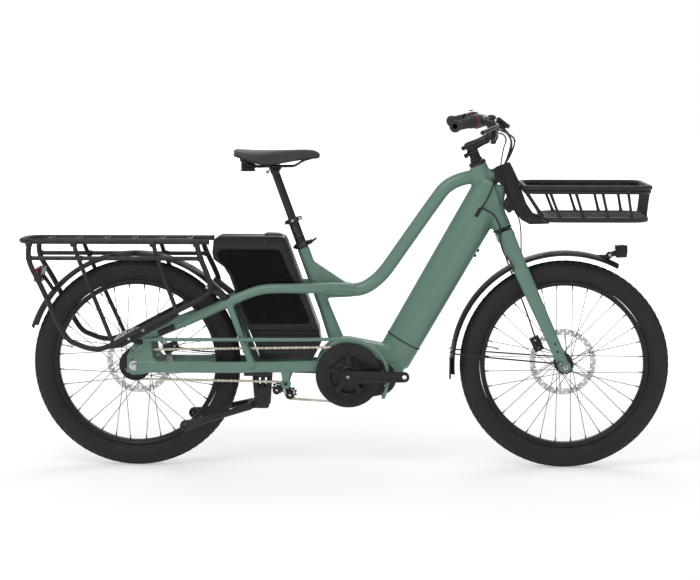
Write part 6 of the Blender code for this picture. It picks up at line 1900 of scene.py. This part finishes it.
class BICYCLE_OT_saddle(Operator):
    """A padded saddle with a shallow channel, a piped edge and a ribbed spring block under its rear"""
    bl_idname = "bicycle.saddle"
    bl_label = "Saddle"

    def execute(self, context):
        rings = [saddle_ring(*section) for section in SADDLE_SECTIONS]
        count = len(rings[0])
        verts = [point for ring in rings for point in ring]
        faces = []
        for row in range(len(rings) - 1):
            for place in range(count):
                following = (place + 1) % count
                faces.append((row * count + place, row * count + following,
                              (row + 1) * count + following, (row + 1) * count + place))
        for row, flip in ((0, False), (len(rings) - 1, True)):
            loop = [row * count + place for place in range(count)]
            middle = sum((verts[spot] for spot in loop), Vector()) / count
            middle.x += -0.0026 if row == 0 else 0.0035
            verts.append(middle)
            tip = len(verts) - 1
            for place in range(count):
                pair = (loop[place], loop[(place + 1) % count])
                faces.append((tip, *pair) if flip else (tip, *reversed(pair)))
        cover = softened(mesh_from(verts, [], faces), 2)
        padded = self.inflated(cover)
        finish(padded, "saddle_cover", "post_upper_body", "saddle cover", ["saddle"], angle=70)
        hem_route = []
        for sign in (1, -1):
            line = [(x, sign * (skirt_half + 0.0002), skirt + 0.0016)
                    for x, _, _, _, skirt, skirt_half in SADDLE_SECTIONS]
            hem_route += line if sign == 1 else list(reversed(line))
        hem = tube(smooth_route(hem_route, 4), 0.0013, 8, closed=True)
        finish(hem, "saddle_hem", "post_upper_body", "moulded plastic")
        profile = [(0.0, 0.0)]
        for number in range(SPRING_BLOCK_RIBS):
            base = 0.0004 + number * 0.0068
            wide = 0.0235 - number * 0.0004
            profile += [(wide - 0.0035, base), (wide, base + 0.0016), (wide, base + 0.004),
                        (wide - 0.0035, base + 0.0056)]
        profile += [(0.024, 0.03), (0.025, 0.039), (0.0, 0.039)]
        spring = turned(profile, (-0.2905, 0.0, 0.9), 48, UP)
        finish(spring, "saddle_spring_block", "post_upper_body", "grip rubber")
        return {"FINISHED"}

    def inflated(self, cover):
        rest = [vertex.co.copy() for vertex in cover.data.vertices]
        select_only(cover)
        cloth = cover.modifiers.new("padding", "CLOTH")
        cloth.settings.quality = 6
        cloth.settings.use_pressure = True
        cloth.settings.uniform_pressure_force = 3.0
        cloth.settings.tension_stiffness = 40
        cloth.settings.compression_stiffness = 40
        cloth.settings.shear_stiffness = 20
        cloth.settings.bending_stiffness = 4
        cloth.settings.effector_weights.gravity = 0.0
        held = cover.vertex_groups.new(name="held")
        for vertex in cover.data.vertices:
            keep = 1.0 if vertex.co.z < PADDING_LOW or vertex.normal.z < 0.15 else 0.0
            held.add([vertex.index], keep, "REPLACE")
        cloth.settings.vertex_group_mass = "held"
        for number in range(PADDING_FRAMES):
            bpy.context.scene.frame_set(number + 1)
        bpy.ops.object.modifier_apply(modifier="padding")
        bpy.context.scene.frame_set(1)
        cover.vertex_groups.clear()
        for vertex, start in zip(cover.data.vertices, rest):
            move = vertex.co - start
            if move.length > PADDING_LIMIT:
                vertex.co = start + move.normalized() * PADDING_LIMIT
        return cover


# ---------------------------------------------------------------- cockpit

BAR_RADIUS = 0.0112
BAR_CENTRE = Vector((0.445, 0.0, 1.007))
GRIP_INNER_END = Vector((0.396, 0.205, 1.0588))
GRIP_OUTER_END = Vector((0.327, 0.335, 1.044))
GRIP_START = 0.052
GRIP_LENGTH = (GRIP_OUTER_END - GRIP_INNER_END).length
GRIP_RIBS = 10
GRIP_RIB_STEP = 0.0062
SHIFTER_START = 0.03
LEVER_REACH = Vector((0.053, 0.0, -0.013))
BAR_HALF_ROUTE = [BAR_CENTRE + ACROSS * 0.06, Vector((0.447, 0.085, 1.022)), Vector((0.44, 0.115, 1.042)),
                  Vector((0.424, 0.15, 1.057)), GRIP_INNER_END]


def grip_point(distance, sign):
    """A point on the straight outer stretch of the bar, measured outwards from the grip's inner end."""
    point = GRIP_INNER_END + (GRIP_OUTER_END - GRIP_INNER_END).normalized() * distance
    return Vector((point.x, sign * point.y, point.z))


def grip_axis(sign):
    return (grip_point(0.1, sign) - grip_point(0.0, sign)).normalized()


class BICYCLE_OT_handlebar(Operator):
    """The swept bar and the adjustable stem with two quick levers and a bolted bar clamp"""
    bl_idname = "bicycle.handlebar"
    bl_label = "Handlebar and stem"

    def execute(self, context):
        half = smooth_route(BAR_HALF_ROUTE, 6) + [GRIP_INNER_END
                                                  + (GRIP_OUTER_END - GRIP_INNER_END) * 0.97]
        route = [Vector((p.x, -p.y, p.z)) for p in reversed(half)] + half
        bar_tube = tube(route, BAR_RADIUS, 32)
        swell = bar(BAR_CENTRE - ACROSS * 0.03, BAR_CENTRE + ACROSS * 0.03, BAR_RADIUS + 0.0016, sides=40,
                    bevel=0.0012)
        finish(joined([bar_tube, swell]), "bar", "steering_body", "anodised alloy", ["handlebar"])
        low = steer_point(HEAD_LENGTH + 0.0135)
        high = steer_point(0.278)
        quill = turned([(0.0148, 0.0), (0.0185, 0.0), (0.0186, 0.0015), (0.0186, 0.006), (0.0166, 0.008),
                        (0.0158, 0.018), (0.0158, 0.03), (0.0168, 0.036), (0.0174, 0.04),
                        (0.0174, (high - low).length - 0.003), (0.015, (high - low).length),
                        (0.0, (high - low).length)], low, 48, high - low)
        reach = BAR_CENTRE - steer_point(0.262)
        arm_end = BAR_CENTRE - reach.normalized() * 0.0155
        arm = tube([steer_point(0.262), steer_point(0.262) + reach * 0.33,
                    steer_point(0.262) + reach * 0.55,
                    arm_end], 0.0142, 28, radii=[1.15, 1.0, 0.95, 1.05])
        stem = sleeve(BAR_CENTRE - ACROSS * 0.024, BAR_CENTRE + ACROSS * 0.024, BAR_RADIUS + 0.0072,
                      BAR_RADIUS + 0.0017, 0.002)
        ears = [block((0.014, 0.048, 0.009), BAR_CENTRE + Vector((0.003, 0.0, sign * 0.019)),
                      bevel=0.0022) for sign in (1, -1)]
        hinges = []
        for height, back in ((0.266, -0.0235), (0.242, -0.024)):
            spot = steer_point(height, back)
            hinges.append(bar(spot - ACROSS * 0.015, spot + ACROSS * 0.015, 0.0068, sides=28, bevel=0.0014))
            hinges.append(block((0.02, 0.02, 0.01), steer_point(height, back / 2),
                                math.radians(21.1), bevel=0.002))
        finish(joined([quill, arm, stem] + ears + hinges), "stem_body", "steering_body", "anodised alloy",
               ["stem"])
        levers = []
        for height, back in ((0.266, -0.0235), (0.242, -0.024)):
            spot = steer_point(height, back, -0.0175)
            levers.append(tube(smooth_route([spot, steer_point(height + 0.002, back + 0.014, -0.023),
                                             steer_point(height + 0.004, back + 0.034, -0.024)], 5),
                               0.0042, 14, radii=[1.1 - 0.4 * n / 10 for n in range(11)]))
            levers.append(bar(spot, spot - ACROSS * 0.006, 0.0072, 0.006, sides=24, bevel=0.001))
        finish(joined(levers), "stem_levers", "steering_body", "anodised alloy")
        screws = [bolt(BAR_CENTRE + Vector((0.01, side * 0.017, rise * 0.019)),
                       Vector((1.0, 0.0, 0.0)), 0.0036, 0.003) for side in (1, -1) for rise in (1, -1)]
        screws += [bolt(BAR_CENTRE + Vector((-0.006, -0.0242, -0.015)), -ACROSS, 0.0038, 0.0022)]
        finish(joined(screws), "stem_screws", "steering_body", "brushed steel")
        return {"FINISHED"}


class BICYCLE_OT_grips(Operator):
    """Two tapered rubber grips, and the ribbed twist shifter with a red ring at its inner end"""
    bl_idname = "bicycle.grips"
    bl_label = "Grips and twist shifter"

    def execute(self, context):
        for side, sign in (("left", 1), ("right", -1)):
            start, end = grip_point(GRIP_START, sign), grip_point(GRIP_LENGTH, sign)
            length = (end - start).length
            profile = [(BAR_RADIUS + 0.0003, 0.0), (0.016, 0.0), (0.0166, 0.001), (0.0163, 0.004)]
            for number in range(GRIP_RIBS):
                base = 0.01 + number * GRIP_RIB_STEP
                rise = 0.0151 - 0.00018 * number
                profile += [(rise, base), (rise + 0.0006, base + 0.001), (rise + 0.0006, base + 0.003),
                            (rise, base + 0.004)]
            profile += [(0.0148, length - 0.02), (0.0166, length - 0.01), (0.0176, length - 0.004),
                        (0.0174, length - 0.001), (0.0164, length), (0.0154, length - 0.0008),
                        (0.015, length - 0.0016), (0.0, length - 0.0016)]
            grip = turned(profile, start, 56, end - start)
            finish(grip, "grip_sleeve_" + side, "steering_body", "grip rubber", ["grip_" + side])
            lock = sleeve(start - grip_axis(sign) * 0.0012, start, 0.0158, BAR_RADIUS + 0.0003, 0.0004)
            finish(lock, "grip_ring_" + side, "steering_body", "anodised alloy")
        low, high = grip_point(SHIFTER_START, -1), grip_point(GRIP_START - 0.0015, -1)
        length = (high - low).length
        body = turned([(BAR_RADIUS + 0.0006, 0.0), (0.018, 0.0), (0.0186, 0.0008), (0.0184, 0.003),
                       (0.018, length - 0.003), (0.0172, length), (BAR_RADIUS + 0.0006, length)],
                      low, 72, high - low)
        axis = grip_axis(-1)
        across = axis.orthogonal().normalized()
        rib = bar(low + axis * 0.0035 + across * 0.0179, high - axis * 0.003 + across * 0.0175, 0.0011,
                  sides=8)
        ribs = repeated(rib, round_the(low, 26, axis))
        finish(joined([body, ribs]), "shifter_sleeve", "shifter_body", "grip rubber", ["twist_shifter"])
        ring = sleeve(low - axis * 0.0024, low - axis * 0.0006, 0.019, BAR_RADIUS + 0.0006, 0.0004)
        finish(ring, "shifter_ring", "steering_body", "accent red")
        return {"FINISHED"}


class BICYCLE_OT_brake_levers(Operator):
    """The lever clamps with their reservoirs, the two brake levers, the bell and the assist button"""
    bl_idname = "bicycle.brake_levers"
    bl_label = "Brake levers and controls"

    def execute(self, context):
        for side, sign in (("left", 1), ("right", -1)):
            axis = grip_axis(sign)
            centre = grip_point(0.0, sign)
            band = sleeve(centre - axis * 0.008, centre + axis * 0.008, 0.0168, BAR_RADIUS + 0.0003, 0.0012)
            pod_end = grip_point(SHIFTER_START - 0.003, sign)
            pod_radius = 0.0205 if sign < 0 else 0.018
            pod = sleeve(centre + axis * 0.0068, pod_end, pod_radius, BAR_RADIUS + 0.0003, 0.0022)
            tank = tube(smooth_route([centre + LEVER_REACH * 0.2, centre + LEVER_REACH * 0.55,
                                      centre + LEVER_REACH * 0.86], 4), 0.0092, 24,
                        radii=[1.0, 1.0, 1.0, 1.0, 1.0, 0.98, 0.96, 0.92, 0.86])
            nose = bar(centre + LEVER_REACH * 0.45 - ACROSS * sign * 0.02 + UP * 0.001,
                       centre + LEVER_REACH * 0.62 + ACROSS * sign * 0.01, 0.0072, 0.0085, sides=24,
                       bevel=0.0018)
            finish(joined([band, pod, tank, nose]), "lever_clamp_" + side, "steering_body", "powder coat",
                   ["lever_body_" + side])
            screws = [bolt(centre + LEVER_REACH * 0.3 + UP * 0.0082, UP, 0.003, 0.0018),
                      bolt(centre - UP * 0.016, -UP, 0.0032, 0.0026)]
            finish(joined(screws), "lever_screws_" + side, "steering_body", "brushed steel")
            root = centre + LEVER_REACH
            bend = root + Vector((0.002, sign * 0.03, -0.004))
            tip = root + Vector((-0.042, sign * 0.114, -0.02))
            route = smooth_route([root, bend, tip], 10)
            swell = [1.15 - 0.5 * math.sin(math.pi * n / (len(route) - 1)) ** 2 * 0.55
                     for n in range(len(route))]
            blade = tube(route, 0.0054, 18, radii=swell)
            knob = turned([(0.0, -0.0064), (0.0046, -0.005), (0.0066, 0.0), (0.0046, 0.005), (0.0, 0.0064)],
                          tip, 28, (tip - route[-2]))
            finish(joined([blade, knob]), "brake_blade_" + side, "lever_" + side + "_body",
                   "anodised alloy",
                   ["brake_lever_" + side])
        spot = grip_point(0.018, 1)
        button = turned([(0.0, 0.0), (0.0058, 0.0), (0.006, 0.0006), (0.006, 0.0028), (0.0052, 0.0038),
                         (0.0, 0.004)], spot + UP * 0.0209, 36, UP)
        finish(button, "assist_key", "button_body", "accent red", ["assist_button"])
        bell = Vector((0.4385, -0.118, 1.0435))
        dome = turned([(0.0, 0.03), (0.006, 0.0294), (0.011, 0.027), (0.0142, 0.0228), (0.0152, 0.018),
                       (0.015, 0.0172), (0.0, 0.0172)], bell, 48, UP)
        foot = turned([(0.0, 0.0172), (0.011, 0.0172), (0.0112, 0.011), (0.0085, 0.01), (0.0085, 0.006),
                       (0.0, 0.006)], bell, 36, UP)
        hoop = turned([(BAR_RADIUS + 0.0004, -0.0045), (BAR_RADIUS + 0.0026, -0.0045),
                       (BAR_RADIUS + 0.0026, 0.0045), (BAR_RADIUS + 0.0004, 0.0045)],
                      Vector((0.4385, -0.118, 1.0435)), 40, Vector((-0.3, -0.87, 0.42)))
        finish(joined([dome, foot, hoop]), "bell_dome", "steering_body", "powder coat", ["bell"])
        return {"FINISHED"}


class BICYCLE_OT_display(Operator):
    """The small display on its bracket in front of the bar, with a glass face and two keys"""
    bl_idname = "bicycle.display"
    bl_label = "Display"

    def execute(self, context):
        tilt = math.radians(38)
        centre = Vector((0.478, 0.0, 1.047))
        normal = Vector((math.sin(tilt), 0.0, math.cos(tilt)))
        face = Vector((math.cos(tilt), 0.0, -math.sin(tilt)))
        body = block((0.044, 0.062, 0.0118), centre, tilt, bevel=0.0034, segments=3)
        under = block((0.036, 0.05, 0.013), centre - normal * 0.0105 - face * 0.002, tilt, bevel=0.0035,
                      segments=3)
        foot = block((0.012, 0.014, 0.03), (0.462, 0.0, 1.033), math.radians(20), bevel=0.002)
        rims = [block((0.012, 0.004, 0.008), centre - face * 0.01 + ACROSS * side * 0.032, tilt,
                      bevel=0.001)
                for side in (1, -1)]
        finish(joined([body, under, foot] + rims), "display_body", "steering_body", "moulded plastic",
               ["display"])
        glass = block((0.033, 0.05, 0.001), centre + normal * 0.006 - face * 0.002, tilt, bevel=0.0004)
        finish(glass, "display_glass", "steering_body", "screen glass")
        keys = [block((0.0042, 0.012, 0.0012), centre + normal * 0.0062 + face * 0.018
                      + ACROSS * side * 0.012, tilt, bevel=0.0004) for side in (1, -1)]
        finish(joined(keys), "display_keys", "steering_body", "grip rubber")
        return {"FINISHED"}


# ---------------------------------------------------------------- lights, brakes and cables

class BICYCLE_OT_headlight(Operator):
    """The headlight in its housing with a reflector cup and lens, and the tilt ears and screw"""
    bl_idname = "bicycle.headlight"
    bl_label = "Headlight"

    def execute(self, context):
        hinge = joint_place("lamp_tilt")
        ears = [slab(hull_outline(((hinge.x, hinge.z, 0.007), (hinge.x + 0.024, 0.6565, 0.0075)), 12),
                     0.004,
                     sign * 0.0086, 0.0008, 1) for sign in (1, -1)]
        case = block((0.031, 0.044, 0.037), (0.834, 0.0, 0.661), math.radians(-3), bevel=0.005,
                     segments=4)
        fins = [block((0.002, 0.0456, 0.03), (0.823 + 0.005 * n, 0.0, 0.6612), math.radians(-3),
                      bevel=0.0006) for n in range(3)]
        hood = turned([(0.016, 0.0), (0.0176, 0.0), (0.0188, 0.006), (0.019, 0.0136), (0.0184, 0.0142),
                       (0.0172, 0.0142), (0.0168, 0.012), (0.011, 0.004), (0.0, 0.004)],
                      (0.84, 0.0, 0.661), 64, Vector((1.0, 0.0, -0.03)))
        finish(joined([case, hood] + ears + fins), "lamp_housing", "lamp_body", "moulded plastic",
               ["headlight"])
        cup = turned([(0.003, 0.0046), (0.0106, 0.0046), (0.0166, 0.0116), (0.016, 0.0118),
                      (0.01, 0.0052), (0.003, 0.0052)], (0.84, 0.0, 0.661), 64, Vector((1.0, 0.0, -0.03)))
        finish(cup, "lamp_reflector", "lamp_body", "reflector")
        glass = turned([(0.0, 0.0132), (0.0168, 0.012), (0.0168, 0.0112), (0.0, 0.0122)],
                       (0.84, 0.0, 0.661), 64, Vector((1.0, 0.0, -0.03)))
        finish(glass, "lamp_lens_disc", "lamp_body", "lamp lens")
        screws = [bolt(hinge + ACROSS * sign * 0.0106, ACROSS * sign, 0.0046, 0.0026) for sign in (1, -1)]
        finish(joined(screws), "lamp_screws", "lamp_body", "brushed steel")
        return {"FINISHED"}


class BICYCLE_OT_rear_light(Operator):
    """The rear light: a dark housing with a ribbed red lens"""
    bl_idname = "bicycle.rear_light"
    bl_label = "Rear light"

    def execute(self, context):
        tilt = math.radians(10)
        centre = Vector((-0.929, 0.0, 0.586))
        back = Vector((-math.cos(tilt), 0.0, math.sin(tilt)))
        up = Vector((math.sin(tilt), 0.0, math.cos(tilt)))
        housing = block((0.009, 0.084, 0.048), centre - back * 0.0054, tilt, bevel=0.003, segments=3)
        finish(housing, "rear_light_housing", "frame_body", "moulded plastic", ["rear_light"])
        glow = block((0.0105, 0.08, 0.044), centre + back * 0.0042, tilt, bevel=0.004, segments=3)
        ribs = [block((0.0016, 0.074, 0.0016), centre + back * 0.0096 + up * (0.0055 * n), tilt,
                      bevel=0.0005)
                for n in (-3, -2, -1, 0, 1, 2, 3)]
        finish(joined([glow] + ribs), "rear_light_lens", "frame_body", "red lens")
        return {"FINISHED"}


class BICYCLE_OT_calipers(Operator):
    """The two disc brake calipers with their mounting bolts and pistons"""
    bl_idname = "bicycle.calipers"
    bl_label = "Brake calipers"

    def execute(self, context):
        for name, place, size, lean, body in (
                ("front_caliper", FRONT_AXLE + Vector((-0.08, 0.049, 0.0555)), (0.03, 0.03, 0.046), -25,
                 "steering_body"),
                ("rear_caliper", REAR_AXLE + Vector((0.097, 0.049, 0.0395)), (0.046, 0.026, 0.03), -20,
                 "frame_body")):
            tilt = math.radians(lean)
            block_body = block(size, place, tilt, bevel=0.0042, segments=3)
            long_way = Vector((math.sin(tilt), 0.0, math.cos(tilt)))
            if size[0] > size[2]:
                long_way = Vector((math.cos(tilt), 0.0, -math.sin(tilt)))
            piston = turned([(0.0, 0.0), (0.01, 0.0), (0.0106, 0.001), (0.01, 0.003), (0.0, 0.003)],
                            place + ACROSS * size[1] / 2, 36, ACROSS)
            wheel = FRONT_AXLE if name.startswith("front") else REAR_AXLE
            gap = bar((wheel.x, 0.0445, wheel.z), (wheel.x, 0.0495, wheel.z), 0.103, sides=96)
            shape = cut(block_body, [gap])
            finish(joined([shape, piston]), name + "_body", body, "powder coat", [name])
            studs = [bolt(place + long_way * share + ACROSS * size[1] / 2, ACROSS, 0.0036, 0.0026)
                     for share in (0.015, -0.015)]
            studs += [bolt(place + long_way * share - ACROSS * size[1] / 2, -ACROSS, 0.0036, 0.0022)
                      for share in (0.013, -0.013)]
            finish(joined(studs), name + "_bolts", body, "brushed steel")
        return {"FINISHED"}


def cable(name, route, radius, body, replaced=()):
    finish(tube(smooth_route(route, 7), radius, 12), name, body, "cable jacket", replaced)


CROSSING_CABLES = {
    # bar end first, frame end last: these run between the bar and the frame and have no body
    "brake_cable_rear": ([(0.448, 0.17, 1.038), (0.478, 0.12, 1.026), (0.5, 0.07, 1.004),
                          (0.506, 0.034, 0.975), (0.49, 0.03, 0.93), (0.466, 0.032, 0.897),
                          (0.447, 0.03, 0.873)], 0.0026),
    "shift_cable": ([(0.418, -0.196, 1.046), (0.455, -0.15, 1.032), (0.49, -0.096, 1.016),
                     (0.511, -0.05, 0.994), (0.498, -0.04, 0.95), (0.47, -0.036, 0.905),
                     (0.45, -0.036, 0.872)], 0.0026),
    "motor_cable": ([(0.474, -0.018, 1.034), (0.494, -0.036, 1.014), (0.5, -0.042, 0.984),
                     (0.484, -0.042, 0.93), (0.462, -0.038, 0.892), (0.45, -0.03, 0.868)], 0.0022),
    "lamp_cable": ([(0.458, -0.026, 1.018), (0.478, -0.03, 1.012), (0.486, -0.03, 0.996),
                    (0.478, -0.028, 0.966), (0.471, -0.026, 0.913), (0.477, -0.0245, 0.876),
                    (0.491, -0.024, 0.836), (0.509, -0.024, 0.794)], 0.002),
}


class BICYCLE_OT_cables(Operator):
    """Brake hoses and cables: those that cross the steering, between the frame and the bar, have no body"""
    bl_idname = "bicycle.cables"
    bl_label = "Cables and hoses"

    def execute(self, context):
        for name, (route, radius) in CROSSING_CABLES.items():
            cable(name, route, radius, None, replaced=["cable_bar"])
            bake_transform(bpy.data.objects[name])
        cable("lamp_cable_low", [(0.509, -0.024, 0.794), (0.516, -0.024, 0.78), (0.527, -0.023, 0.76),
                                 (0.533, -0.02, 0.725), (0.5345, -0.016, 0.685),
                                 (0.536, -0.008, 0.632)], 0.002, None)
        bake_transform(bpy.data.objects["lamp_cable_low"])
        port = Vector(PORT) + Vector((0.008, -0.045, 0.011))
        cable("fork_cable", [port, (0.422, -0.053, 0.79), (0.45, -0.06, 0.774), (0.468, -0.072, 0.738),
                             (0.469, -0.08, 0.7), (0.48, -0.085, 0.662), (0.496, -0.085, 0.64),
                             (0.508, -0.08, 0.618), (0.508, -0.06, 0.602)], 0.0026, None,
              replaced=["cable_fork"])
        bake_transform(bpy.data.objects["fork_cable"])
        cable("port_cable", [(0.452, -0.036, 0.87), (0.444, -0.047, 0.85), (0.433, -0.052, 0.824),
                             (0.421, -0.051, 0.803), (0.412, -0.045, 0.791)], 0.0023, "frame_body")
        cable("front_hose", [(0.47, 0.056, 0.702), (0.479, 0.06, 0.68), (0.498, 0.057, 0.62),
                             (0.533, 0.056, 0.53), (0.564, 0.056, 0.448), (0.576, 0.052, 0.412),
                             (0.583, 0.05, 0.392)], 0.0025, "steering_body")
        cable("rear_hose", [(-0.33, 0.056, 0.342), (-0.39, 0.058, 0.34), (-0.46, 0.058, 0.344),
                            (-0.5, 0.056, 0.352), (-0.518, 0.053, 0.356)], 0.0025, "frame_body")
        return {"FINISHED"}


# ---------------------------------------------------------------- add-on

STEPS = (
    BICYCLE_OT_basket, BICYCLE_OT_basket_bracket, BICYCLE_OT_battery, BICYCLE_OT_battery_dock,
    BICYCLE_OT_calipers, BICYCLE_OT_brake_levers, BICYCLE_OT_rotors, BICYCLE_OT_cables,
    BICYCLE_OT_stand, BICYCLE_OT_chain, BICYCLE_OT_guard_rod, BICYCLE_OT_tensioner,
    BICYCLE_OT_chainring, BICYCLE_OT_cranks, BICYCLE_OT_display, BICYCLE_OT_fenders, BICYCLE_OT_fork,
    BICYCLE_OT_frame_fittings, BICYCLE_OT_frame_front, BICYCLE_OT_frame_rear, BICYCLE_OT_grips,
    BICYCLE_OT_handlebar, BICYCLE_OT_headlight, BICYCLE_OT_headset, BICYCLE_OT_hubs, BICYCLE_OT_motor,
    BICYCLE_OT_rack_deck, BICYCLE_OT_rack_loops, BICYCLE_OT_rear_light, BICYCLE_OT_rear_cog,
    BICYCLE_OT_rims, BICYCLE_OT_saddle, BICYCLE_OT_seatpost, BICYCLE_OT_spokes, BICYCLE_OT_stage,
    BICYCLE_OT_tyres,
)
SETTINGS = ((WheelSettings, "bicycle_wheels"), (PaintSettings, "bicycle_paint"),
            (StageSettings, "bicycle_stage"))


class BICYCLE_PT_panel(Panel):
    """Lists the steps that build the bicycle"""
    bl_idname = "BICYCLE_PT_panel"
    bl_label = "Bicycle"
    bl_space_type = "VIEW_3D"
    bl_region_type = "UI"
    bl_category = "Bicycle"

    def draw(self, context):
        for step in STEPS:
            self.layout.operator(step.bl_idname)


def register():
    for group, name in SETTINGS:
        bpy.utils.register_class(group)
        setattr(bpy.types.Scene, name, PointerProperty(type=group))
    for step in STEPS:
        bpy.utils.register_class(step)
    bpy.utils.register_class(BICYCLE_PT_panel)


def unregister():
    bpy.utils.unregister_class(BICYCLE_PT_panel)
    for step in reversed(STEPS):
        bpy.utils.unregister_class(step)
    for group, name in reversed(SETTINGS):
        delattr(bpy.types.Scene, name)
        bpy.utils.unregister_class(group)


def main():
    register()
    for step in STEPS:
        group, name = step.bl_idname.split(".")
        getattr(getattr(bpy.ops, group), name)()


if __name__ == "__main__":
    main()
